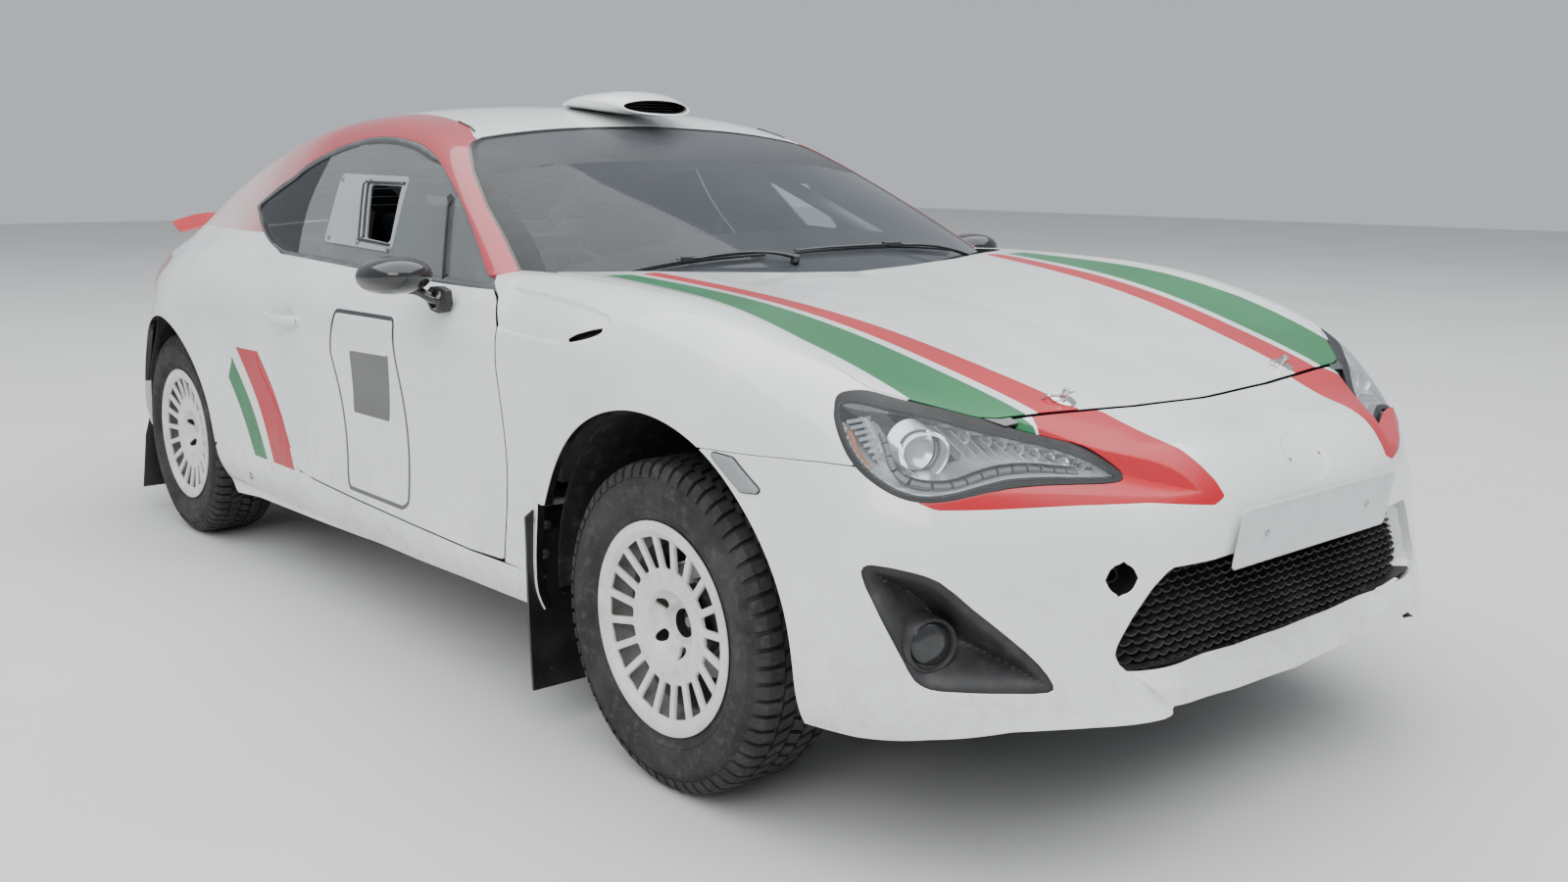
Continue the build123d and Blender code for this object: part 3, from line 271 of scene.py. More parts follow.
# roof and glass heights: y, then z at x 0, 0.2, 0.4, 0.55, 0.70, 0.80
HOUSE_TOP_X = [0.0, 0.20, 0.40, 0.55, 0.70, 0.80]
HOUSE_TOP_Z = [
    (-0.95, 0.893, 0.888, 0.868, 0.842, 0.800, 0.76),
    (-0.80, 0.962, 0.957, 0.938, 0.912, 0.872, 0.83),
    (-0.645, 1.033, 1.028, 1.011, 0.986, 0.948, 0.91),
    (-0.50, 1.099, 1.094, 1.078, 1.054, 1.018, 0.98),
    (-0.35, 1.166, 1.161, 1.145, 1.122, 1.086, 1.05),
    (-0.22, 1.222, 1.217, 1.202, 1.178, 1.142, 1.105),
    (-0.12, 1.262, 1.257, 1.242, 1.219, 1.182, 1.145),
    (-0.02, 1.293, 1.288, 1.273, 1.251, 1.215, 1.18),
    (0.10, 1.316, 1.312, 1.297, 1.275, 1.239, 1.205),
    (0.28, 1.332, 1.328, 1.314, 1.292, 1.257, 1.225),
    (0.50, 1.329, 1.325, 1.311, 1.289, 1.254, 1.222),
    (0.70, 1.310, 1.306, 1.292, 1.270, 1.235, 1.203),
    (0.90, 1.270, 1.266, 1.252, 1.230, 1.195, 1.163),
    (1.10, 1.206, 1.202, 1.188, 1.166, 1.131, 1.099),
    (1.30, 1.118, 1.114, 1.100, 1.078, 1.043, 1.011),
    (1.50, 1.012, 1.008, 0.994, 0.972, 0.937, 0.905),
    (1.62, 0.943, 0.939, 0.925, 0.903, 0.868, 0.836),
]
house_top = Sheet([r[0] for r in HOUSE_TOP_Z], HOUSE_TOP_X, [r[1:] for r in HOUSE_TOP_Z])


def house(x, y, z):
    ax = np.abs(x)
    side = (ax - house_side(y, z)) * 0.88
    slope = (house_top(y + 0.01, ax) - house_top(y - 0.01, ax)) / 0.02
    top = (z - house_top(y, ax)) / np.sqrt(1 + slope * slope)
    out = smax(side, top, 0.065)
    return np.maximum(np.maximum(out, -0.90 - y), np.maximum(y - 1.60, 0.80 - z))


def car(x, y, z):
    k = 0.004 + 0.075 * step(0.60, 1.0, y)
    return smin(body(x, y, z), house(x, y, z), k)


def solve(f, origin, direction, lo, hi, n=26):
    """Distance along each ray at which f goes from inside to outside."""
    ts = np.linspace(lo, hi, n)
    prev_t = np.full(len(origin), lo, float)
    prev_f = f(*(origin + direction * lo).T)
    out_a, out_b = np.full(len(origin), np.nan), np.full(len(origin), np.nan)
    for t in ts[1:]:
        val = f(*(origin + direction * t).T)
        cross = (prev_f <= 0) & (val > 0) & np.isnan(out_a)
        out_a[cross], out_b[cross] = prev_t[cross], t
        prev_f, prev_t = val, np.full(len(origin), t)
    a, b = out_a.copy(), out_b.copy()
    ok = ~np.isnan(a)
    a, b = a[ok], b[ok]
    o, d = origin[ok], direction[ok]
    fa, fb = f(*(o + d * a[:, None]).T), f(*(o + d * b[:, None]).T)
    for _ in range(9):
        m = np.clip(a + (b - a) * (-fa) / np.where(fb - fa == 0, 1, fb - fa), a + (b - a) * 0.02, b - (b - a) * 0.02)
        fm = f(*(o + d * m[:, None]).T)
        pos = fm > 0
        b, fb = np.where(pos, m, b), np.where(pos, fm, fb)
        a, fa = np.where(pos, a, m), np.where(pos, fa, fm)
    res = np.full(len(origin), np.nan)
    res[ok] = np.where(np.abs(fa) < np.abs(fb), a, b)
    return res


def gradient(f, p, e=0.0015):
    g = np.stack([f(*(p + np.eye(3)[i] * e).T) - f(*(p - np.eye(3)[i] * e).T) for i in range(3)], 1)
    return g / np.maximum(np.linalg.norm(g, axis=1, keepdims=True), 1e-9)


# ------------------------------------------------------------------ sheets of triangles
class Patch:
    """A sheet of triangles with a normal at each point and a finish number on each triangle."""

    def __init__(self, p, n, f, m=None):
        self.p, self.n, self.f = np.asarray(p, float), np.asarray(n, float), np.asarray(f, int).reshape(-1, 3)
        self.m = np.zeros(len(self.f), int) if m is None else np.array(m, int)

    def take(self, keep):
        f = self.f[keep]
        used, inv = np.unique(f, return_inverse=True)
        return Patch(self.p[used], self.n[used], inv.reshape(-1, 3), self.m[keep])

    def split(self, g):
        """Cuts the triangles along g = 0. Returns the new sheet and which triangles lie where g is above 0."""
        f, m = self.f, self.m
        s = g > 0
        count = s[f].sum(1)
        mixed = (count == 1) | (count == 2)
        if not mixed.any():
            return Patch(self.p, self.n, f, m), count == 3
        fm, mm = f[mixed], m[mixed]
        lone_pos = count[mixed] == 1
        lone = np.argmax(s[fm] == lone_pos[:, None], 1)
        fm = np.take_along_axis(fm, (lone[:, None] + np.arange(3)) % 3, 1)
        a, b, c = fm.T
        big = len(self.p) + 1
        lo = np.concatenate([np.minimum(a, b), np.minimum(a, c)])
        hi = np.concatenate([np.maximum(a, b), np.maximum(a, c)])
        key, inv = np.unique(lo * big + hi, return_inverse=True)
        i, j = key // big, key % big
        t = (g[i] / (g[i] - g[j]))[:, None]
        p = self.p[i] * (1 - t) + self.p[j] * t
        n = self.n[i] * (1 - t) + self.n[j] * t
        n /= np.maximum(np.linalg.norm(n, axis=1, keepdims=True), 1e-9)
        ab, ac = len(self.p) + inv[:len(fm)], len(self.p) + inv[len(fm):]
        new_f = np.concatenate([f[~mixed], np.stack([a, ab, ac], 1), np.stack([ab, b, c], 1), np.stack([ab, c, ac], 1)])
        new_m = np.concatenate([m[~mixed], mm, mm, mm])
        pos = np.concatenate([count[~mixed] == 3, lone_pos, ~lone_pos, ~lone_pos])
        return Patch(np.concatenate([self.p, p]), np.concatenate([self.n, n]), new_f, new_m), pos

    def keep(self, *fields):
        out = self
        for field in fields:
            out, pos = out.split(field(*out.p.T))
            out = out.take(pos)
        return out

    def paint(self, number, *fields):
        """Gives the part where every field is above 0 its own finish."""
        out = self
        for field in fields:
            out, _ = out.split(field(*out.p.T))
        middle = out.p[out.f].mean(1)
        inside = np.all([field(*middle.T) > 0 for field in fields], 0)
        out.m[inside] = number
        return out

    def refit(self, fn, times=2):
        for _ in range(times):
            e = 0.0012
            g = np.stack([(fn(*(self.p + np.eye(3)[i] * e).T) - fn(*(self.p - np.eye(3)[i] * e).T)) / (2 * e) for i in range(3)], 1)
            norm2 = np.maximum((g * g).sum(1), 0.05)
            v = np.clip(fn(*self.p.T), -0.004, 0.004)
            self.p = self.p - g * (v / norm2)[:, None]
            self.n = g / np.sqrt(norm2)[:, None]
            self.n /= np.maximum(np.linalg.norm(self.n, axis=1, keepdims=True), 1e-9)
        return self

    def reseat(self, fn, origin=None, direction=None, reach=0.05, n=41):
        """Moves each point along its own ray onto the surface fn = 0. Rays come from one point, or all run one way."""
        d = self.p - np.array(origin, float) if origin is not None else np.broadcast_to(np.array(direction, float), self.p.shape)
        d = d / np.linalg.norm(d, axis=1, keepdims=True)
        t = solve(fn, self.p, d, -reach, reach, n)
        self.p = self.p + d * np.where(np.isnan(t), 0, t)[:, None]
        self.n = gradient(fn, self.p, 0.0012)
        return self

    def mirrored(self):
        k = np.array([-1.0, 1, 1])
        return Patch(self.p * k, self.n * k, self.f[:, ::-1], self.m)

    def joined(self, other):
        return Patch(np.concatenate([self.p, other.p]), np.concatenate([self.n, other.n]),
                     np.concatenate([self.f, other.f + len(self.p)]), np.concatenate([self.m, other.m]))


def faces_of_grid(nu, nv, flip=False):
    i, j = np.meshgrid(np.arange(nu - 1), np.arange(nv - 1), indexing="ij")
    a = (i * nv + j).ravel()
    b, c, d = a + nv, a + nv + 1, a + 1
    f = np.concatenate([np.stack([a, b, c], 1), np.stack([a, c, d], 1)])
    return f[:, ::-1] if flip else f


def cast(fn, origin, direction, lo, hi, n=26):
    """The sheet that a grid of rays meets on the surface fn = 0, going outwards."""
    nu, nv = origin.shape[:2]
    o, d = origin.reshape(-1, 3), direction.reshape(-1, 3)
    d = d / np.linalg.norm(d, axis=1, keepdims=True)
    t = solve(fn, o, d, lo, hi, n)
    ok = ~np.isnan(t)
    p = o + d * np.where(ok, t, 0)[:, None]
    f = faces_of_grid(nu, nv)
    f = f[ok[f].all(1)]
    # quads whose neighbours jump are not surface
    e = np.linalg.norm(p[f] - p[f[:, [1, 2, 0]]], axis=2).max(1)
    f = f[e < 0.11]
    normal = np.zeros_like(p)
    normal[ok] = gradient(fn, p[ok])
    face_n = np.cross(p[f[:, 1]] - p[f[:, 0]], p[f[:, 2]] - p[f[:, 0]])
    wrong = (face_n * normal[f].mean(1)).sum(1) < 0
    f[wrong] = f[wrong][:, ::-1]
    return Patch(p, normal, f).take(np.ones(len(f), bool))


# ------------------------------------------------------------------ outlines in a flat view
def smooth_loop(points, n=6, closed=True):
    """A rounded line through the points."""
    pts = np.asarray(points, float)
    out = []
    count = len(pts)
    for i in range(count if closed else count - 1):
        if closed:
            p0, p1, p2, p3 = pts[i - 1], pts[i], pts[(i + 1) % count], pts[(i + 2) % count]
        else:
            p0, p1, p2, p3 = pts[max(i - 1, 0)], pts[i], pts[i + 1], pts[min(i + 2, count - 1)]
        d1, d2, d3 = [max(np.linalg.norm(b - a) ** 0.5, 1e-6) for a, b in ((p0, p1), (p1, p2), (p2, p3))]
        m1 = (p2 - p1) if d1 <= 1e-5 else ((p1 - p0) / d1 - (p2 - p0) / (d1 + d2) + (p2 - p1) / d2) * d2
        m2 = (p2 - p1) if d3 <= 1e-5 else ((p2 - p1) / d2 - (p3 - p1) / (d2 + d3) + (p3 - p2) / d3) * d2
        for k in range(n):
            t = k / n
            out.append((2 * t ** 3 - 3 * t * t + 1) * p1 + (t ** 3 - 2 * t * t + t) * m1
                       + (-2 * t ** 3 + 3 * t * t) * p2 + (t ** 3 - t * t) * m2)
    if not closed:
        out.append(pts[-1])
    return np.array(out)


def round_loop(points, radius, n=5):
    """The polygon with its corners rounded; radius is one number or one a corner."""
    pts = np.asarray(points, float)
    count = len(pts)
    radii = [radius] * count if np.isscalar(radius) else radius
    out = []
    for i in range(count):
        p, a, b = pts[i], pts[i - 1], pts[(i + 1) % count]
        la, lb = np.linalg.norm(a - p), np.linalg.norm(b - p)
        ua, ub = (a - p) / la, (b - p) / lb
        half = 0.5 * math.acos(max(-1, min(1, float(ua @ ub))))
        cut = min(radii[i] / max(math.tan(half), 1e-3), la * 0.48, lb * 0.48)
        q0, q2 = p + ua * cut, p + ub * cut
        if radii[i] <= 0:
            out.append(p)
            continue
        for k in range(n + 1):
            t = k / n
            w = math.sin(half)
            den = (1 - t) ** 2 + 2 * w * t * (1 - t) + t * t
            out.append(((1 - t) ** 2 * q0 + 2 * w * t * (1 - t) * p + t * t * q2) / den)
    return np.array(out)


def loop_distance(loop, u, v):
    """Distance to a closed line in a flat view, above 0 inside it."""
    loop = np.asarray(loop, float)
    a, b = loop, np.roll(loop, -1, 0)
    keep = np.linalg.norm(b - a, axis=1) > 1e-7
    a, b = a[keep], b[keep]
    out = np.full(len(u), 1e9)
    inside = np.zeros(len(u), bool)
    for (ax, ay), (bx, by) in zip(a, b):
        dx, dy = bx - ax, by - ay
        t = np.clip(((u - ax) * dx + (v - ay) * dy) / (dx * dx + dy * dy), 0, 1)
        out = np.minimum(out, (u - ax - t * dx) ** 2 + (v - ay - t * dy) ** 2)
        cross = ((ay > v) != (by > v)) & (u < dx * (v - ay) / (by - ay if by != ay else 1e-12) + ax)
        inside ^= cross
    d = np.sqrt(out)
    return np.where(inside, d, -d)


def in_side(loop, grow=0.0):
    return lambda x, y, z: loop_distance(loop, y, z) + grow


def in_front(loop, grow=0.0):
    return lambda x, y, z: loop_distance(loop, np.abs(x), z) + grow


def in_front_signed(loop, grow=0.0):
    return lambda x, y, z: loop_distance(loop, x, z) + grow


def in_top(loop, grow=0.0):
    return lambda x, y, z: loop_distance(loop, np.abs(x), y) + grow


def outside(field, gap=0.0):
    return lambda x, y, z: -field(x, y, z) - gap


def beyond_line(points, axis_u, axis_v, gap=0.0, side=1):
    """Above 0 on one side of an open line v(u), measured across it."""
    pts = np.asarray(points, float)

    def field(x, y, z):
        c = {"x": x, "X": np.abs(x), "y": y, "z": z}
        u, v = c[axis_u], c[axis_v]
        at = np.interp(u, pts[:, 0], pts[:, 1])
        e = 0.004
        slope = (np.interp(u + e, pts[:, 0], pts[:, 1]) - np.interp(u - e, pts[:, 0], pts[:, 1])) / (2 * e)
        return side * (v - at) / np.sqrt(1 + slope * slope) - gap

    return field


def plane(nx, ny, nz, d):
    return lambda x, y, z: nx * x + ny * y + nz * z - d


def arch_cut(arch, gap=0.0):
    ay, az, r = arch
    return lambda x, y, z: np.where(np.abs(x) > 0.5, np.hypot(y - ay, np.maximum(z - az, 0)) - r - gap, 1.0)


# ------------------------------------------------------------------ edges and backs of sheets
def hemmed(pa, r=0.0016, depth=0.014, skip=None, back=0.0, turn=3, finish=None, tight=None, shallow=None, deep=None, pale=None):
    """Rolls the sheet's free edges over by radius r and down by depth. With back, also lays a back
    sheet that far behind, so that the piece is closed. Where tight is true the edge turns down sharply,
    for a sheet that meets its neighbour with no visible seam. With deep, the edge's last ring, which
    drops into the gap, takes that finish: painted shade that darkens the seam. Where pale is true it
    keeps the sheet's own finish."""
    p, n, f, m = pa.p, pa.n, pa.f, pa.m
    e = np.concatenate([f[:, [0, 1]], f[:, [1, 2]], f[:, [2, 0]]])
    em = np.concatenate([m, m, m])
    big = len(p) + 1
    key = np.minimum(e[:, 0], e[:, 1]) * big + np.maximum(e[:, 0], e[:, 1])
    order, first, counts = np.unique(key, return_index=True, return_counts=True)
    rim = first[counts == 1]
    e, em = e[rim], em[rim]
    if skip is not None:
        flag = skip(*p.T)
        use = ~(flag[e[:, 0]] & flag[e[:, 1]])
        e, em = e[use], em[use]
    vec = p[e[:, 1]] - p[e[:, 0]]
    t = np.zeros_like(p)
    for k in (0, 1):
        np.add.at(t, e[:, k], np.cross(vec, n[e[:, k]]))
    t /= np.maximum(np.linalg.norm(t, axis=1, keepdims=True), 1e-12)
    verts = np.unique(e)
    index = np.full(len(p), -1)
    index[verts] = np.arange(len(verts))
    vp, vn, vt = p[verts], n[verts], t[verts]
    rings, norms = [], []
    if tight is not None:
        r = np.where(tight(*vp.T), 0.0001, r)[:, None]
    if shallow is not None:
        depth = np.where(shallow(*vp.T), 0.003, depth)[:, None]
    for k in range(1, turn + 1):
        a = math.pi / 2 * k / turn
        rings.append(vp + vt * r * math.sin(a) - vn * r * (1 - math.cos(a)))
        norms.append(vn * math.cos(a) + vt * math.sin(a))
    last = vp - vn * back if back else vp + vt * r - vn * (r + depth)
    rings.append(last)
    norms.append(vt if not back else vt)
    new_p, new_n, new_f, new_m = [p] + rings, [n] + norms, [f], [m]
    prev_a, prev_b = e[:, 0], e[:, 1]
    base = len(p)
    fin = em if finish is None else np.full(len(em), finish)
    for q in range(len(rings)):
        a2, b2 = base + index[e[:, 0]], base + index[e[:, 1]]
        new_f += [np.stack([prev_b, prev_a, a2], 1), np.stack([prev_b, a2, b2], 1)]
        now = fin
        # painted shade: with deep, the last ring, turned down into the gap, gets the dark finish so the seam reads dark
        if deep is not None and q == len(rings) - 1:
            now = np.full(len(em), deep)
            if pale is not None:
                now = np.where(pale(*pa.p[e[:, 0]].T), fin, now)
        new_m += [now, now]
        prev_a, prev_b = a2, b2
        base += len(verts)
    if back:
        new_p.append(p - n * back)
        new_n.append(-n)
        new_f.append(f[:, ::-1] + base)
        new_m.append(m)
    return Patch(np.concatenate(new_p), np.concatenate(new_n), np.concatenate(new_f), np.concatenate(new_m))


# ------------------------------------------------------------------ Blender objects
def fill_mesh(me, p, f, m, n=None):
    me.vertices.add(len(p))
    me.vertices.foreach_set("co", np.asarray(p, np.float32).ravel())
    me.loops.add(f.size)
    me.loops.foreach_set("vertex_index", f.ravel().astype(np.int32))
    me.polygons.add(len(f))
    me.polygons.foreach_set("loop_start", np.arange(0, f.size, f.shape[1], dtype=np.int32))
    me.polygons.foreach_set("material_index", m.astype(np.int32))
    me.polygons.foreach_set("use_smooth", np.ones(len(f), bool))
    me.update(calc_edges=True)
    if n is not None:
        me.normals_split_custom_set(corner_normals(p, f, n).astype(np.float32).tolist())
    return me


def corner_normals(p, f, n, limit=9.0, group=24.0):
    """A normal for each corner: the sheet's own, or where a crease passes, that of the faces on this side of it."""
    k = f.shape[1]
    fn = np.cross(p[f[:, 1]] - p[f[:, 0]], p[f[:, 2]] - p[f[:, 0]])
    area = np.linalg.norm(fn, axis=1, keepdims=True)
    unit = fn / np.maximum(area, 1e-14)
    vert, face = f.ravel(), np.repeat(np.arange(len(f)), k)
    out = n[vert].copy()
    apart = (out * unit[face]).sum(1) < math.cos(math.radians(limit))
    side = np.max([np.linalg.norm(p[f[:, q]] - p[f[:, (q + 1) % k]], axis=1) for q in range(k)], axis=0)
    apart &= (area[:, 0] / np.maximum(side, 1e-9) > 0.0009)[face]
    todo = np.flatnonzero(apart)
    if not len(todo):
        return out
    order = np.argsort(vert, kind="stable")
    start = np.searchsorted(vert[order], np.arange(len(p) + 1))
    lo, count = start[vert[todo]], start[vert[todo] + 1] - start[vert[todo]]
    total = np.zeros((len(todo), 3))
    for q in range(int(count.max())):
        use = q < count
        other = face[order[np.minimum(lo + q, len(order) - 1)]]
        close = use & ((unit[other] * unit[face[todo]]).sum(1) > math.cos(math.radians(group)))
        total += np.where(close[:, None], fn[other], 0)
    total /= np.maximum(np.linalg.norm(total, axis=1, keepdims=True), 1e-14)
    out[todo] = total
    return out


def sheet_object(name, pa, finishes, body, replaces=(), slot=None):
    # only the finishes in use
    used = sorted(set(pa.m.tolist()))
    remap = np.zeros(max(used) + 1, int)
    for k, u in enumerate(used):
        remap[u] = k
    me = bpy.data.meshes.new(name)
    fill_mesh(me, pa.p, pa.f, remap[pa.m], pa.n)
    for u in used:
        me.materials.append(finishes[u])
    return place(name, me, body, replaces, slot)


def place(name, me, body, replaces=(), slot=None):
    o = bpy.data.objects.new(name, me)
    bpy.context.scene.collection.objects.link(o)
    if body:
        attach(o, body)
    if replaces:
        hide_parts(*replaces)
    return o


class Shape:
    """Collects points and faces of a hard piece, each face with its finish number."""

    def __init__(self):
        self.p, self.f, self.m = [], [], []

    def add(self, points, faces, m=0):
        base = len(self.p)
        self.p += [tuple(map(float, q)) for q in points]
        self.f += [tuple(base + i for i in face) for face in faces]
        self.m += [m] * len(faces) if np.isscalar(m) else list(m)
        return self

    def absorb(self, other, matrix=None, m=None):
        pts = other.p if matrix is None else [tuple(matrix @ Vector(q)) for q in other.p]
        flip = matrix is not None and matrix.determinant() < 0
        base = len(self.p)
        self.p += pts
        self.f += [tuple(base + i for i in (reversed(face) if flip else face)) for face in other.f]
        self.m += list(other.m) if m is None else [m] * len(other.f)
        return self

    def revolve(self, outline, origin=(0, 0, 0), axis=(1, 0, 0), start=(0, 0, 1), segments=48, m=0, closed=False, sweep=2 * math.pi):
        """outline is (along the axis, radius) places. Closed joins the last place to the first."""
        ax = Vector(axis).normalized()
        e1 = (Vector(start) - ax * Vector(start).dot(ax)).normalized()
        e2 = ax.cross(e1)
        o = Vector(origin)
        full = abs(sweep - 2 * math.pi) < 1e-6
        rings = segments if full else segments + 1
        pts, faces, marks = [], [], []
        for i in range(rings):
            a = sweep * i / segments
            d = e1 * math.cos(a) + e2 * math.sin(a)
            pts += [tuple(o + ax * u + d * r) for u, r in outline]
        k = len(outline)
        spans = k if closed else k - 1
        for i in range(segments):
            j = (i + 1) % rings
            for q in range(spans):
                q2 = (q + 1) % k
                face = [i * k + q, j * k + q, j * k + q2, i * k + q2]
                if outline[q][1] < 1e-9:
                    face = [i * k + q, j * k + q2, i * k + q2]
                elif outline[q2][1] < 1e-9:
                    face = [i * k + q, j * k + q, i * k + q2]
                faces.append(tuple(face))
                marks.append(m if np.isscalar(m) else m[q])
        return self.add(pts, faces, marks)

    def tube(self, path, radius, segments=12, m=0, caps=True, closed=False, flat=None, up=(0, 0, 1)):
        """A rod along the path. radius is one number or one a place; flat squeezes it across the up side."""
        pts = [Vector(q) for q in path]
        n = len(pts)
        radii = [radius] * n if np.isscalar(radius) else list(radius)
        rings, faces = [], []
        ref = Vector(up)
        for i, q in enumerate(pts):
            a, b = (pts[i - 1], pts[(i + 1) % n]) if closed else (pts[max(i - 1, 0)], pts[min(i + 1, n - 1)])
            d = (b - a).normalized()
            side = d.cross(ref)
            if side.length < 1e-3:
                side = d.cross(Vector((1, 0, 0)))
            side.normalize()
            top = side.cross(d).normalized()
            for k in range(segments):
                t = 2 * math.pi * k / segments
                rings.append(tuple(q + side * math.cos(t) * radii[i] + top * math.sin(t) * radii[i] * (flat or 1.0)))
        for i in range(n if closed else n - 1):
            j = (i + 1) % n
            for k in range(segments):
                k2 = (k + 1) % segments
                faces.append((i * segments + k, i * segments + k2, j * segments + k2, j * segments + k))
        if caps and not closed:
            faces.append(tuple(range(segments - 1, -1, -1)))
            faces.append(tuple((n - 1) * segments + k for k in range(segments)))
        return self.add(rings, faces, m)

    def loft(self, sections, m=0, closed=True, caps=True):
        """Joins closed sections with the same number of places."""
        k = len(sections[0])
        pts = [q for s in sections for q in s]
        faces = []
        spans = k if closed else k - 1
        for i in range(len(sections) - 1):
            for q in range(spans):
                q2 = (q + 1) % k
                faces.append((i * k + q, i * k + q2, (i + 1) * k + q2, (i + 1) * k + q))
        if caps and closed:
            faces.append(tuple(range(k - 1, -1, -1)))
            faces.append(tuple((len(sections) - 1) * k + q for q in range(k)))
        return self.add(pts, faces, m)

    def slab(self, loop, offset, m=0):
        """A flat closed outline made thick by the vector offset."""
        k = len(loop)
        o = Vector(offset)
        pts = [tuple(q) for q in loop] + [tuple(Vector(q) + o) for q in loop]
        faces = [tuple(range(k - 1, -1, -1)), tuple(range(k, 2 * k))]
        faces += [(i, (i + 1) % k, k + (i + 1) % k, k + i) for i in range(k)]
        return self.add(pts, faces, m)

    def box(self, lo, hi, m=0):
        (x0, y0, z0), (x1, y1, z1) = lo, hi
        return self.slab([(x0, y0, z0), (x0, y1, z0), (x1, y1, z0), (x1, y0, z0)][::-1], (0, 0, z1 - z0), m)

    def mirrored(self):
        out = Shape()
        out.p = [(-x, y, z) for x, y, z in self.p]
        out.f = [tuple(reversed(face)) for face in self.f]
        out.m = list(self.m)
        return out

    def object(self, name, finishes, body, replaces=(), slot=None, bevel=0.0, segments=2, angle=32, subdivide=0, weld=True,
               solidify=0.0):
        me = bpy.data.meshes.new(name)
        used = sorted(set(self.m))
        remap = {u: k for k, u in enumerate(used)}
        me.from_pydata(self.p, [], self.f)
        me.polygons.foreach_set("material_index", [remap[u] for u in self.m])
        for u in used:
            me.materials.append(finishes[u] if isinstance(finishes, (list, tuple)) else finishes)
        bm = bmesh.new()
        bm.from_mesh(me)
        if weld:
            bmesh.ops.remove_doubles(bm, verts=bm.verts, dist=1e-5)
        bmesh.ops.recalc_face_normals(bm, faces=bm.faces)
        bm.to_mesh(me)
        bm.free()
        me.polygons.foreach_set("use_smooth", [True] * len(me.polygons))
        if not subdivide:
            me.set_sharp_from_angle(angle=math.radians(angle))
        me.update()
        o = bpy.data.objects.new(name, me)
        bpy.context.scene.collection.objects.link(o)
        if solidify:
            mod = o.modifiers.new("thick", "SOLIDIFY")
            mod.thickness = solidify
            mod.offset = 0
        if bevel:
            mod = o.modifiers.new("edges", "BEVEL")
            mod.width, mod.segments, mod.limit_method, mod.angle_limit = bevel, segments, "ANGLE", math.radians(angle)
            mod.harden_normals = True
        if subdivide:
            mod = o.modifiers.new("round", "SUBSURF")
            mod.levels = mod.render_levels = subdivide
        if body:
            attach(o, body)
        if replaces:
            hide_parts(*replaces)
        return o


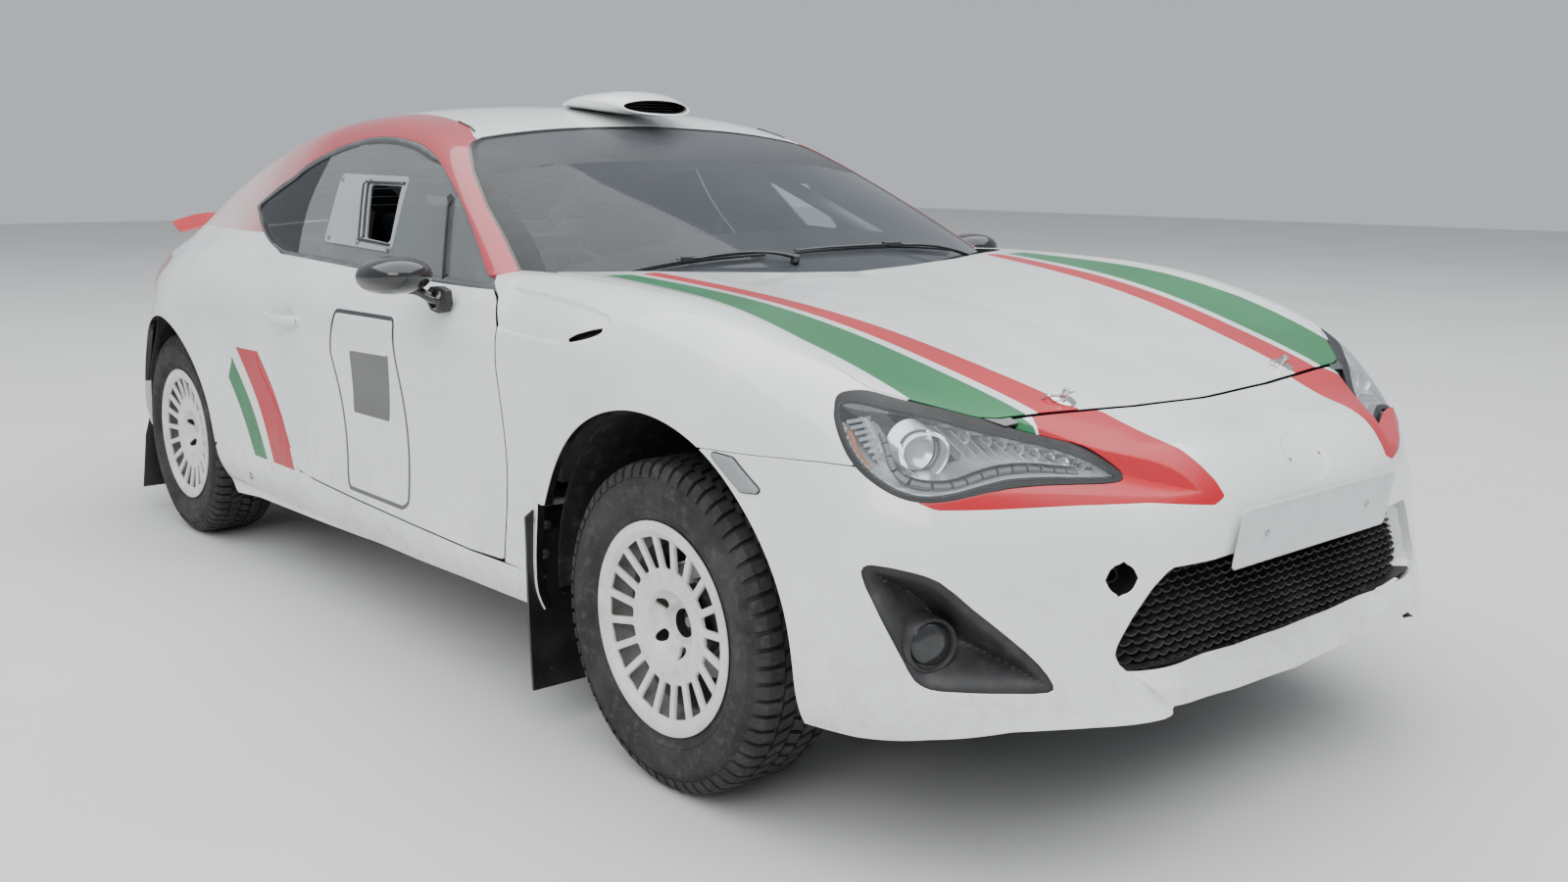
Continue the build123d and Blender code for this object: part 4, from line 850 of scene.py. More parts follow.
# ------------------------------------------------------------------ finishes
class Finish:
    """A node material. Coordinates are each piece's own, in metres."""

    def __init__(self, name):
        self.mat = bpy.data.materials.new(name)
        self.mat.use_nodes = True
        self.nt = self.mat.node_tree
        self.nt.nodes.clear()
        self.out = self.new("ShaderNodeOutputMaterial")
        self.shader = self.new("ShaderNodeBsdfPrincipled")
        self.link(self.shader.outputs[0], self.out.inputs["Surface"])
        self.coords = self.new("ShaderNodeTexCoord").outputs["Object"]
        self.bumps = None

    def new(self, kind, **props):
        n = self.nt.nodes.new(kind)
        for k, v in props.items():
            setattr(n, k, v)
        return n

    def link(self, a, b):
        self.nt.links.new(a, b)

    def set(self, **values):
        for k, v in values.items():
            self.shader.inputs[k.replace("_", " ")].default_value = v if not isinstance(v, tuple) or len(v) == 4 else (*v, 1)
        return self

    def math(self, op, a, b=None, clamp=False):
        n = self.new("ShaderNodeMath", operation=op, use_clamp=clamp)
        for i, v in enumerate((a, b)):
            if v is None:
                continue
            if hasattr(v, "links"):
                self.link(v, n.inputs[i])
            else:
                n.inputs[i].default_value = v
        return n.outputs[0]

    def noise(self, scale, detail=3.0, rough=0.55, stretch=None, kind="NOISE"):
        src = self.coords
        if stretch:
            m = self.new("ShaderNodeMapping")
            m.inputs["Scale"].default_value = stretch
            self.link(src, m.inputs["Vector"])
            src = m.outputs[0]
        if kind == "NOISE":
            n = self.new("ShaderNodeTexNoise")
            n.inputs["Scale"].default_value, n.inputs["Detail"].default_value = scale, detail
            n.inputs["Roughness"].default_value = rough
            self.link(src, n.inputs["Vector"])
            return n.outputs[0]
        n = self.new("ShaderNodeTexVoronoi")
        n.inputs["Scale"].default_value = scale
        if kind != "CELLS":
            n.feature = "DISTANCE_TO_EDGE"
        self.link(src, n.inputs["Vector"])
        return n.outputs["Distance"]

    def wave(self, scale, axis="X", kind="BANDS", profile="SIN", distortion=0.0, stretch=None):
        n = self.new("ShaderNodeTexWave", wave_type=kind, wave_profile=profile)
        if kind == "BANDS":
            n.bands_direction = axis
        n.inputs["Scale"].default_value = scale
        n.inputs["Distortion"].default_value = distortion
        self.link(self.coords, n.inputs["Vector"])
        return n.outputs["Fac"]

    def ramp(self, fac, lo, hi, a=0.0, b=1.0):
        n = self.new("ShaderNodeMapRange", interpolation_type="SMOOTHSTEP")
        for k, v in (("From Min", lo), ("From Max", hi), ("To Min", a), ("To Max", b)):
            n.inputs[k].default_value = v
        self.link(fac, n.inputs["Value"])
        return n.outputs["Result"]

    def axis(self, which):
        s = self.new("ShaderNodeSeparateXYZ")
        self.link(self.coords, s.inputs[0])
        return s.outputs["XYZ".index(which)]

    def blend(self, fac, a, b):
        n = self.new("ShaderNodeMix", data_type="RGBA")
        self.link(fac, n.inputs["Factor"])
        for sock, v in ((n.inputs[6], a), (n.inputs[7], b)):
            if hasattr(v, "links"):
                self.link(v, sock)
            else:
                sock.default_value = (*v, 1)
        return n.outputs[2]

    def colour(self, sock):
        self.link(sock, self.shader.inputs["Base Color"])
        return self

    def rough(self, a, b, scale=9.0, detail=4.0, extra=None):
        r = self.ramp(self.noise(scale, detail), 0.3, 0.7, a, b)
        if extra is not None:
            r = self.math("ADD", r, extra, clamp=True)
        self.link(r, self.shader.inputs["Roughness"])
        return self

    def bump(self, height, distance, strength=1.0):
        n = self.new("ShaderNodeBump")
        n.inputs["Distance"].default_value = distance
        n.inputs["Strength"].default_value = strength
        self.link(height, n.inputs["Height"])
        if self.bumps is not None:
            self.link(self.bumps, n.inputs["Normal"])
        self.bumps = n.outputs[0]
        self.link(self.bumps, self.shader.inputs["Normal"])
        return self

    def window(self, tint, least, most, ior=1.45):
        """Lets light through: least of the surface shows face on, most of it at a glancing angle."""
        clear = self.new("ShaderNodeBsdfTransparent")
        clear.inputs[0].default_value = (*tint, 1)
        fres = self.new("ShaderNodeFresnel")
        fres.inputs["IOR"].default_value = ior
        fac = self.ramp(fres.outputs[0], 0.03, 0.75, least, most)
        mix = self.new("ShaderNodeMixShader")
        self.link(fac, mix.inputs[0])
        self.link(clear.outputs[0], mix.inputs[1])
        self.link(self.shader.outputs[0], mix.inputs[2])
        self.link(mix.outputs[0], self.out.inputs["Surface"])
        return self


def paint(name, colour, second=None, coat=0.9, dusty=True, rough=(0.30, 0.40), dust_tone=(0.42, 0.36, 0.28)):
    """Lacquered paint: a little orange peel, fine scuffs, and road dust towards the sills."""
    f = Finish(name)
    second = second or tuple(c * 0.93 for c in colour)
    tone = f.blend(f.ramp(f.noise(3.2, 3), 0.35, 0.65), colour, second)
    if dusty:
        z = f.axis("Z")
        low = f.ramp(z, 0.24, 0.62, 0.34, 0.0)
        spots = f.ramp(f.noise(26, 6, 0.7), 0.42, 0.72)
        dust = f.math("MULTIPLY", low, spots)
        tone = f.blend(dust, tone, dust_tone)
        f.rough(*rough, 7, 4, extra=f.math("MULTIPLY", dust, 0.6))
    else:
        f.rough(*rough, 7, 4)
    f.colour(tone)
    f.set(Coat_Weight=coat, Coat_Roughness=0.045, Specular_IOR_Level=0.5)
    f.bump(f.noise(230, 2), 0.00005, 0.5)
    return f.mat


def plastic(name, colour, second=None, rough=(0.42, 0.55), grain=420, depth=0.00012, dust=0.10, coat=0.0):
    f = Finish(name)
    second = second or tuple(c * 1.7 + 0.004 for c in colour)
    tone = f.blend(f.ramp(f.noise(14, 5), 0.40, 0.70), colour, second)
    if dust:
        tone = f.blend(f.ramp(f.noise(33, 6, 0.7), 0.45, 0.8, 0.0, dust), tone, (0.30, 0.26, 0.20))
    f.colour(tone).rough(*rough, 11)
    f.set(Coat_Weight=coat, Coat_Roughness=0.06)
    f.bump(f.noise(grain, 2), depth, 0.6)
    return f.mat


def metal(name, colour, rough=(0.25, 0.4), second=None, brushed=None, stain=0.0, stain_tone=(0.10, 0.07, 0.05), metallic=1.0, depth=0.0001):
    f = Finish(name)
    second = second or tuple(c * 0.82 for c in colour)
    tone = f.blend(f.ramp(f.noise(18, 4), 0.35, 0.7), colour, second)
    if stain:
        tone = f.blend(f.ramp(f.noise(28, 6, 0.65), 0.45, 0.75, 0.0, stain), tone, stain_tone)
    f.colour(tone).rough(*rough, 16)
    f.set(Metallic=metallic)
    f.bump(f.noise(320, 3, stretch=brushed) if brushed else f.noise(260, 3), depth, 0.5)
    return f.mat


M = {}
WHITE = (0.84, 0.85, 0.845)
RED, GREEN = (0.50, 0.003, 0.014), (0.000, 0.165, 0.045)
M["white"] = paint("body_white", WHITE, (0.76, 0.775, 0.77))
M["red"] = paint("band_red", RED, (0.45, 0.003, 0.012), coat=0.12)
M["green"] = paint("band_green", GREEN, (0.000, 0.145, 0.038), coat=0.12)
M["under"] = paint("inner_white", (0.62, 0.63, 0.62), (0.52, 0.52, 0.50), coat=0.2, rough=(0.45, 0.6))


def fading_red():
    """Red over the door, paling along the rear pillar."""
    f = Finish("rail_red")
    y = f.axis("Y")
    pale = f.ramp(f.math("ADD", y, f.math("MULTIPLY", f.noise(5, 2), 0.10)), 0.60, 1.28)
    tone = f.blend(f.ramp(f.noise(3, 3), 0.35, 0.65), (0.47, 0.022, 0.036), (0.42, 0.018, 0.030))
    tone = f.blend(pale, tone, (0.74, 0.60, 0.59))
    f.colour(tone).rough(0.30, 0.40, 7)
    f.set(Coat_Weight=0.9, Coat_Roughness=0.045)
    f.bump(f.noise(230, 2), 0.00005, 0.5)
    return f.mat


M["rail"] = fading_red()
M["plastic"] = plastic("moulded_black", (0.014, 0.014, 0.015))
M["gloss"] = plastic("gloss_black", (0.008, 0.008, 0.009), rough=(0.10, 0.18), grain=90, depth=0.00003, dust=0.03, coat=0.6)
M["trim"] = plastic("window_rubber", (0.088, 0.092, 0.096), (0.130, 0.134, 0.138), rough=(0.5, 0.65), grain=600, dust=0.12)
M["liner"] = plastic("arch_liner", (0.008, 0.008, 0.008), rough=(0.8, 0.9), grain=140, depth=0.0006, dust=0.22)
M["white_plastic"] = plastic("white_moulding", (0.74, 0.75, 0.745), (0.68, 0.69, 0.68), rough=(0.30, 0.42), grain=200, depth=0.00006,
                             dust=0.05, coat=0.5)
M["chrome"] = metal("bright_chrome", (0.80, 0.80, 0.81), rough=(0.05, 0.16), stain=0.12, depth=0.00003)
M["reflector"] = metal("lamp_chrome", (0.92, 0.925, 0.93), rough=(0.14, 0.26), metallic=0.70, depth=0.00004)
M["lamp_silver"] = metal("lamp_silver", (0.70, 0.715, 0.73), rough=(0.28, 0.42), metallic=0.40, depth=0.00004)
M["seal"] = plastic("lamp_seal", (0.006, 0.006, 0.007), rough=(0.42, 0.55), grain=300, depth=0.00004, dust=0.02)
M["satin"] = metal("satin_alloy", (0.55, 0.56, 0.57), rough=(0.28, 0.42), stain=0.15)
M["steel"] = metal("dull_steel", (0.30, 0.29, 0.28), rough=(0.42, 0.62), stain=0.6, stain_tone=(0.12, 0.065, 0.035))
M["exhaust"] = metal("exhaust_steel", (0.46, 0.42, 0.38), rough=(0.22, 0.42), stain=0.5, stain_tone=(0.13, 0.10, 0.12))
M["cast"] = metal("cast_iron", (0.16, 0.155, 0.15), rough=(0.55, 0.75), stain=0.5, stain_tone=(0.10, 0.06, 0.035), depth=0.0006, metallic=0.8)
M["arm"] = plastic("arm_paint", (0.025, 0.026, 0.028), rough=(0.45, 0.65), grain=180, depth=0.0003, dust=0.30)
M["cage"] = paint("cage_paint", (0.52, 0.53, 0.54), coat=0.3, dusty=False, rough=(0.35, 0.5))
M["plate"] = plastic("plate_enamel", (0.66, 0.67, 0.68), (0.60, 0.61, 0.62), rough=(0.28, 0.38), grain=900, depth=0.00005, dust=0.10)


def tyre_rubber():
    f = Finish("tyre_rubber")
    tone = f.blend(f.ramp(f.noise(9, 5), 0.35, 0.7), (0.016, 0.016, 0.017), (0.034, 0.033, 0.033))
    tone = f.blend(f.ramp(f.noise(46, 7, 0.7), 0.48, 0.78, 0.0, 0.42), tone, (0.15, 0.125, 0.095))
    f.colour(tone).rough(0.72, 0.92, 20)
    f.bump(f.noise(330, 4), 0.0004, 0.6).bump(f.noise(60, 3), 0.0005, 0.3)
    return f.mat


def flap_rubber():
    f = Finish("flap_rubber")
    tone = f.blend(f.ramp(f.noise(9, 5), 0.35, 0.7), (0.010, 0.010, 0.011), (0.022, 0.022, 0.023))
    chips = f.ramp(f.noise(55, 2, kind="CELLS"), 0.02, 0.11, 1.0, 0.0)
    chips = f.math("MULTIPLY", chips, f.ramp(f.noise(7, 2), 0.46, 0.62))
    tone = f.blend(chips, tone, (0.42, 0.40, 0.36))
    f.colour(tone).rough(0.34, 0.52, 12)
    f.bump(f.noise(26, 3), 0.0012, 0.5).bump(f.noise(300, 2), 0.0002, 0.4)
    return f.mat


M["tyre"] = tyre_rubber()
M["flap"] = flap_rubber()


def wheel_paint():
    """White wheel paint with patches of brake dust."""
    f = Finish("wheel_white")
    tone = f.blend(f.ramp(f.noise(8, 4), 0.35, 0.7), (0.74, 0.735, 0.71), (0.66, 0.65, 0.62))
    grime = f.ramp(f.noise(30, 6, 0.7), 0.46, 0.74, 0.0, 0.45)
    tone = f.blend(grime, tone, (0.34, 0.31, 0.27))
    f.colour(tone).rough(0.34, 0.55, 14)
    f.set(Coat_Weight=0.35, Coat_Roughness=0.1)
    f.bump(f.noise(240, 2), 0.00012, 0.5)
    return f.mat


M["wheel"] = wheel_paint()
# dark grey for the barrel inside the wheel: painted shade, with real brake-dust stains
M["wheel_in"] = metal("shaded_wheel_inside", (0.20, 0.195, 0.185), rough=(0.6, 0.8), stain=0.6, stain_tone=(0.05, 0.04, 0.032), metallic=0.2)
M["disc"] = metal("brake_disc", (0.42, 0.41, 0.40), rough=(0.25, 0.4), stain=0.35, stain_tone=(0.16, 0.08, 0.04))


def glass(name, tone, tint, least, most, rough=(0.02, 0.05), milk=0.0, low_tone=None):
    f = Finish(name)
    colour = f.blend(f.ramp(f.noise(2.2, 3), 0.3, 0.7), tone, tuple(c * 0.86 for c in tone))
    f.colour(colour).rough(*rough, 4, 3)
    f.set(Specular_IOR_Level=0.6)
    f.bump(f.noise(3.0, 2), 0.0006, 0.10)
    f.window(tint, least, most)
    return f.mat


M["screen"] = glass("screen_glass", (0.20, 0.22, 0.24), (0.74, 0.79, 0.80), 0.30, 1.0)
M["side_glass"] = glass("clear_polycarbonate", (0.42, 0.45, 0.47), (0.80, 0.84, 0.86), 0.36, 1.0, rough=(0.08, 0.16))
M["hatch"] = glass("hatch_polycarbonate", (0.58, 0.61, 0.63), (0.84, 0.87, 0.88), 0.60, 1.0, rough=(0.12, 0.22))
M["dark_glass"] = glass("dark_glass", (0.020, 0.023, 0.026), (0.30, 0.33, 0.36), 0.62, 1.0)
M["lens"] = glass("lamp_lens", (0.70, 0.74, 0.78), (0.95, 0.965, 0.975), 0.07, 0.85, rough=(0.015, 0.035))
M["marker"] = glass("marker_lens", (0.55, 0.57, 0.58), (0.86, 0.88, 0.88), 0.55, 0.95, rough=(0.06, 0.14))


def red_lens(name, tone, tint):
    f = Finish(name)
    cells = f.noise(170, 0, kind="EDGES", stretch=(1, 1, 1))
    f.colour(f.blend(f.ramp(cells, 0.0, 0.25), tuple(c * 0.55 for c in tone), tone)).rough(0.06, 0.12, 8)
    f.set(Coat_Weight=0.5, Coat_Roughness=0.03)
    f.bump(cells, 0.0006, 0.35)
    f.window(tint, 0.72, 1.0)
    return f.mat


M["tail"] = red_lens("tail_lens", (0.42, 0.010, 0.014), (0.85, 0.10, 0.10))
M["amber"] = red_lens("amber_lens", (0.62, 0.20, 0.012), (0.9, 0.5, 0.1))


def sunstrip():
    """Dark film along the top of the screen, a touch paler at its edge."""
    f = Finish("sun_strip")
    z = f.axis("Z")
    f.colour(f.blend(f.ramp(z, 1.12, 1.26), (0.030, 0.032, 0.036), (0.070, 0.073, 0.080))).rough(0.26, 0.36, 10)
    f.set(Specular_IOR_Level=0.22, Coat_Weight=0.03, Coat_Roughness=0.06)
    f.bump(f.noise(260, 2), 0.00008, 0.4)
    return f.mat


M["strip"] = sunstrip()


def frit():
    """Baked black border of a screen."""
    f = Finish("screen_border")
    f.colour(f.blend(f.ramp(f.noise(12, 4), 0.35, 0.7), (0.012, 0.012, 0.013), (0.026, 0.027, 0.029))).rough(0.16, 0.28, 6)
    f.set(Specular_IOR_Level=0.22, Coat_Weight=0.03, Coat_Roughness=0.05)
    f.bump(f.noise(200, 2), 0.00004, 0.3)
    return f.mat


M["frit"] = frit()


def cloth(name, colour, second, scale=900):
    f = Finish(name)
    w1, w2 = f.wave(scale, "X"), f.wave(scale, "Z")
    weave = f.math("MULTIPLY", w1, w2)
    tone = f.blend(f.ramp(weave, 0.1, 0.7), colour, second)
    tone = f.blend(f.ramp(f.noise(12, 4), 0.45, 0.8, 0, 0.35), tone, tuple(c * 0.6 for c in colour))
    f.colour(tone).rough(0.82, 0.95, 20)
    f.set(Sheen_Weight=0.35, Sheen_Roughness=0.5)
    f.bump(weave, 0.0003, 0.6)
    return f.mat


M["seat_cloth"] = cloth("seat_cloth", (0.020, 0.020, 0.023), (0.05, 0.05, 0.055))
M["belt_cloth"] = cloth("harness_webbing", (0.030, 0.032, 0.040), (0.060, 0.062, 0.075), 1300)
M["shell"] = plastic("seat_shell", (0.018, 0.018, 0.019), rough=(0.25, 0.4), grain=80, dust=0.02, coat=0.4)
M["suede"] = cloth("wheel_suede", (0.014, 0.014, 0.015), (0.030, 0.030, 0.032), 2600)
M["dash"] = plastic("dash_flock", (0.016, 0.016, 0.017), rough=(0.8, 0.92), grain=700, depth=0.0004, dust=0.08)
M["fog_glass"] = plastic("fog_lamp_cover", (0.012, 0.013, 0.014), rough=(0.16, 0.26), grain=90, depth=0.00004, dust=0.05, coat=0.3)
M["lamp_grey"] = plastic("lamp_segments", (0.10, 0.105, 0.11), rough=(0.14, 0.24), grain=120, depth=0.00004, dust=0.0, coat=0.5)
M["under_steel"] = metal("socket_steel", (0.10, 0.10, 0.10), rough=(0.5, 0.7))
# near-black for holes, slots and the space behind openings: painted shade standing for the dark inside them
M["dark"] = plastic("shade_black", (0.004, 0.004, 0.004), rough=(0.85, 0.95), grain=200, dust=0.0)


def carbon():
    f = Finish("carbon_card")
    w1, w2 = f.wave(160, "DIAGONAL"), f.wave(150, "Z")
    cell = f.math("GREATER_THAN", w1, w2)
    f.colour(f.blend(cell, (0.012, 0.012, 0.013), (0.035, 0.035, 0.038))).rough(0.22, 0.34, 9)
    f.set(Coat_Weight=0.6, Coat_Roughness=0.08)
    f.bump(cell, 0.00015, 0.3)
    return f.mat


M["carbon"] = carbon()


# ------------------------------------------------------------------ outlines on the car (millimetres in, metres out)
def mm(points):
    return np.asarray(points, float) * 0.001


def nose_u(x, y):
    return np.arctan2(NOSE_Y0 - y, np.abs(x)) * 0.9


def tail_u(x, y):
    return np.arctan2(y - TAIL_Y0, np.abs(x)) * 0.9


def in_nose(points, grow=0.0, smooth=0):
    p = mm(points)
    loop = np.stack([nose_u(p[:, 0], p[:, 1]), p[:, 2]], 1)
    if smooth:
        loop = smooth_loop(loop, smooth)
    return lambda x, y, z: loop_distance(loop, nose_u(x, y), z) + grow


def in_tail(points, grow=0.0, radius=0.0):
    p = mm(points)
    loop = np.stack([tail_u(p[:, 0], p[:, 1]), p[:, 2]], 1)
    if radius:
        loop = round_loop(loop, radius)
    return lambda x, y, z: loop_distance(loop, tail_u(x, y), z) + grow


def both(*fields):
    return lambda x, y, z: np.minimum.reduce([f(x, y, z) for f in fields])


def either(*fields):
    return lambda x, y, z: np.maximum.reduce([f(x, y, z) for f in fields])


GAP = 0.0044
EYE = np.array([-2.37515, -3.40396, 1.17917])
AIM, ACROSS, UPWARD = (np.array([0.64163, 0.74347, -0.18867]), np.array([0.75705, -0.65335, 0.0]), np.array([0.12327, 0.14283, 0.98206]))


def seen(x, y, z):
    """Where a place on the right-hand side lies in a three-quarter view, in metres at 2.4 m."""
    dx, dy, dz = -np.abs(x) - EYE[0], y - EYE[1], z - EYE[2]
    deep = dx * AIM[0] + dy * AIM[1] + dz * AIM[2]
    return (2.4 * (dx * ACROSS[0] + dy * ACROSS[1] + dz * ACROSS[2]) / deep, 2.4 * (dx * UPWARD[0] + dy * UPWARD[1] + dz * UPWARD[2]) / deep)


def in_view(points, smooth=0):
    p = mm(points)
    loop = np.stack(seen(p[:, 0], p[:, 1], p[:, 2]), 1)
    if smooth:
        loop = smooth_loop(loop, smooth)
    return lambda x, y, z: loop_distance(loop, *seen(x, y, z))


LAMP = [(-785, -1685, 785), (-775, -1677, 799), (-764, -1676, 807), (-747, -1683, 811), (-720, -1698, 810), (-690, -1729, 799),
        (-655, -1759, 788), (-580, -1820, 765), (-543, -1860, 748), (-490, -1899, 731), (-449, -1930, 719), (-437, -1967, 702),
        (-433, -2003, 681), (-436, -2008, 673), (-456, -2005, 669), (-512, -1977, 669), (-564, -1950, 670), (-626, -1923, 668),
        (-670, -1905, 661), (-719, -1879, 652), (-753, -1851, 651), (-774, -1824, 658), (-792, -1786, 677), (-802, -1744, 707),
        (-800, -1713, 743), (-793, -1693, 771)]
LENS = [(-782, -1694, 779), (-773, -1687, 792), (-756, -1697, 797), (-710, -1750, 784), (-658, -1794, 770), (-612, -1837, 753),
        (-541, -1883, 733), (-484, -1923, 715), (-457, -1960, 699), (-447, -1986, 686), (-443, -2001, 679), (-459, -1999, 675),
        (-509, -1974, 676), (-560, -1947, 679), (-623, -1920, 679), (-668, -1902, 671), (-714, -1880, 661), (-748, -1853, 658),
        (-770, -1826, 665), (-786, -1792, 682), (-796, -1751, 712), (-794, -1720, 743)]
lamp_out, lamp_lens = in_view(LAMP, smooth=3), in_view(LENS, smooth=3)


def facet_ledge(x, y, z):
    """Above 0 over the sloping ledge that runs under the lamp to the notch beside its tip."""
    return -0.1278 * (0.628 - np.abs(x)) - 0.3638 * (y + 1.925) + 0.9227 * (z - 0.664)


def facet_wall(x, y, z):
    """Above 0 outside the steep wall between the nose's top and the ledge."""
    return -0.647 * (0.466 - np.abs(x)) - 0.691 * (y + 1.903) + 0.322 * (z - 0.731)


def lamp_plane(x, y, z):
    return -0.2839 * (0.406 - np.abs(x)) - 0.7116 * (y + 1.9876) + 0.6427 * (z - 0.670)


LIP_EDGE = mm([(262, 400), (291, 405), (301, 418), (332, 446), (352, 466), (362, 478), (370, 474), (390, 462), (420, 446), (460, 430)])      # z, |x| of the corner fin
LIP_CREASE = mm([(0, 302), (160, 306), (264, 312), (362, 326), (430, 334), (480, 340)])       # |x|, z of the lip's upper edge


def dish(x, y, z):
    """Below 1 inside the shallow bare dish over the grille."""
    return np.where(y < -1.9, np.hypot(x / 0.062, (z - 0.664) / 0.036), 3.0)


def shell(x, y, z):
    """The body with the notches beside the lamps and the lip under the grille."""
    out = body(x, y, z)
    ax = np.abs(x)
    out = out + 0.0020 * (1 - step(0.92, 1.04, dish(x, y, z)))
    near = (y < -1.5) & (z > 0.58) & (ax < 0.80)
    if near.any():
        out = np.where(near, smax(out, np.minimum(facet_ledge(x, y, z), facet_wall(x, y, z)), 0.003), out)
    low = (y < -1.5) & (z < 0.42) & (ax < 0.56)
    if low.any():
        rn, thn = np.hypot(x, y - NOSE_Y0), np.arctan2(NOSE_Y0 - y, ax)
        over = z - np.interp(ax, LIP_CREASE[:, 0], LIP_CREASE[:, 1])
        over = np.where(over > 0.004, over, np.where(over < -0.004, 0, (over + 0.004) ** 2 / 0.016))
        lip = rn - nose_sheet(np.full_like(z, 0.278), thn) + 0.85 * over + 0.010 * step(0.12, 0.38, ax)
        w = step(0.0, 0.007, np.interp(z, LIP_EDGE[:, 0], LIP_EDGE[:, 1]) - ax)
        out = np.where(low, out * (1 - w) + lip * w, out)
    return out


BONNET_EDGE = [(0, -1868), (60, -1868), (218, -1865), (356, -1852), (455, -1840), (545, -1831), (583, -1819), (664, -1748), (708, -1704),
               (719, -1672), (719, -1603), (716, -1500), (718, -1285), (724, -1000), (731, -800), (724, -738), (640, -782), (400, -858),
               (200, -890), (0, -902)]
bonnet_in = in_top(mm(BONNET_EDGE + [(-x, y) for x, y in BONNET_EDGE[-2:0:-1]]))
# the closed outline spans both sides; only |x| is looked up in it
upper = plane(0, 0, 1, 0.62)
SEAM = mm([(-2200, 668), (-1860, 668), (-1800, 699), (-1700, 702), (-1600, 700), (-1478, 697), (-1300, 690)])
above_seam = beyond_line(SEAM, "y", "z")


def grid(u0, u1, v0, v1, size):
    nu, nv = int(abs(u1 - u0) / size) + 2, int(abs(v1 - v0) / size) + 2
    return np.meshgrid(np.linspace(u0, u1, nu), np.linspace(v0, v1, nv), indexing="ij")


def rays_along(axis, sign, start, a, b):
    """Parallel rays; a and b are the other two coordinates in order."""
    o = np.zeros(a.shape + (3,))
    d = np.zeros(a.shape + (3,))
    others = [i for i in range(3) if i != axis]
    o[..., axis], o[..., others[0]], o[..., others[1]] = start, a, b
    d[..., axis] = sign
    return o, d


def rays_fan(x0, z0, y, angle):
    """Rays in planes across the car, towards the right-hand side; angle is up from level."""
    o = np.stack([np.full(y.shape, x0), y, np.full(y.shape, z0)], -1)
    return o, np.stack([-np.cos(angle), np.zeros(y.shape), np.sin(angle)], -1)


def rays_ball(centre, turn, rise, way=-1):
    """Rays from a point; turn is from the right-hand side towards the nose (way -1) or the tail (way 1)."""
    o = np.broadcast_to(np.array(centre, float), turn.shape + (3,)).copy()
    return o, np.stack([-np.cos(turn) * np.cos(rise), way * np.sin(turn) * np.cos(rise), np.sin(rise)], -1)


def crease(pa, *fields):
    """Puts a row of points along each field's zero line."""
    for field in fields:
        pa, _ = pa.split(field(*pa.p.T))
    return pa


def both_sides(pa):
    return pa.joined(pa.mirrored())


BODY_FINISH = [M["white"], M["red"], M["green"], M["gloss"], M["under"], M["plastic"], M["rail"], M["white_plastic"]]
W, R, G, K, U, P, F, H = range(8)


def band(points, side=None):
    """A straight-edged band as a field in side view (y, z) or top view (|x|, y)."""
    return in_side(mm(points)) if side == "side" else in_top(mm(points))


# ---------------------------------------------------------------- bonnet
gx, gy = grid(-0.745, 0.745, -1.885, -0.72, 0.0134)
pa = cast(body, *rays_along(2, 1, 0.50, gx, gy), 0.05, 0.62, 20)
pa = pa.keep(outside(lambda x, y, z: -bonnet_in(x, y, z), GAP)).refit(body)
RED_BAND = [(336, -1960), (436, -1960), (576, -850), (528, -840)]
GREEN_BAND = [(462, -1975), (600, -1975), (660, -1800), (690, -1500), (672, -850), (606, -850)]
pa = pa.paint(R, band(RED_BAND)).paint(G, band(GREEN_BAND))
pa = hemmed(pa, 0.0016, back=0.019, deep=K)
sheet_object("bonnet_skin", pa, BODY_FINISH, "bonnet", ["bonnet"], "white_paint")

# ---------------------------------------------------------------- front fenders
DOOR_FRONT = mm([(-560, 938), (-600, 927), (-670, 893), (-716, 840), (-727, 786), (-738, 700), (-743, 560), (-744, 330)])
SKIRT_TOP = mm([(-1000, 337), (-863, 337), (-753, 333), (-593, 329), (-312, 332), (-26, 337), (190, 344), (281, 348), (376, 367), (470, 400),
                (700, 345), (1000, 345)])
behind_front = beyond_line(DOOR_FRONT[::-1, ::-1], "z", "y")          # above 0 behind the door's front edge
fender_low = beyond_line(mm([(-1000, 334), (-700, 334)]), "y", "z", 0.0)
gy, ga = grid(-1.85, -0.56, -0.50, 1.12, 0.0125)
ga = np.interp(ga, [-0.50, 1.12], [-0.62, 1.16])
pa = cast(body, *rays_fan(-0.45, 0.60, gy, ga), 0.02, 0.62, 30)
fender_fields = [lambda x, y, z: -behind_front(x, y, z) - GAP, lambda x, y, z: -bonnet_in(x, y, z) - 0.0012,
                 lambda x, y, z: -lamp_out(x, y, z) - 0.001,
                 lambda x, y, z: np.where(y < -1.30, above_seam(x, y, z) - GAP / 2, 1.0), arch_cut(ARCH_F),
                 lambda x, y, z: np.where(y > -1.0, z - 0.3385, 1.0), plane(0, 1, 0, -1.86),
                 lambda x, y, z: 0.9 - np.abs(x),
                 # behind the bonnet the fender stops at the scuttle
                 lambda x, y, z: np.where(y > -0.80, np.abs(x) - 0.728 - GAP, 1.0)]
VENT = [(-638, 916), (-700, 916), (-805, 915), (-947, 907), (-1037, 899), (-1096, 892), (-1120, 880), (-1116, 861), (-1057, 839),
        (-968, 825), (-729, 831), (-660, 860)]
vent_line = in_side(round_loop(mm(VENT), 0.012))
SLIT = [(-985, 838), (-1019, 853), (-1062, 865), (-1098, 872), (-1104, 866), (-1092, 855), (-1049, 843), (-1010, 834)]
slit_line = in_side(round_loop(mm(SLIT), 0.004))


def fender_shape(x, y, z):
    """A shallow triangular inset behind the wheel, with a slot at its front corner."""
    d = vent_line(x, y, z)
    return body(x, y, z) + 0.0045 * step(-0.001, 0.006, d) * step(-0.66, -0.76, y) - 0.0


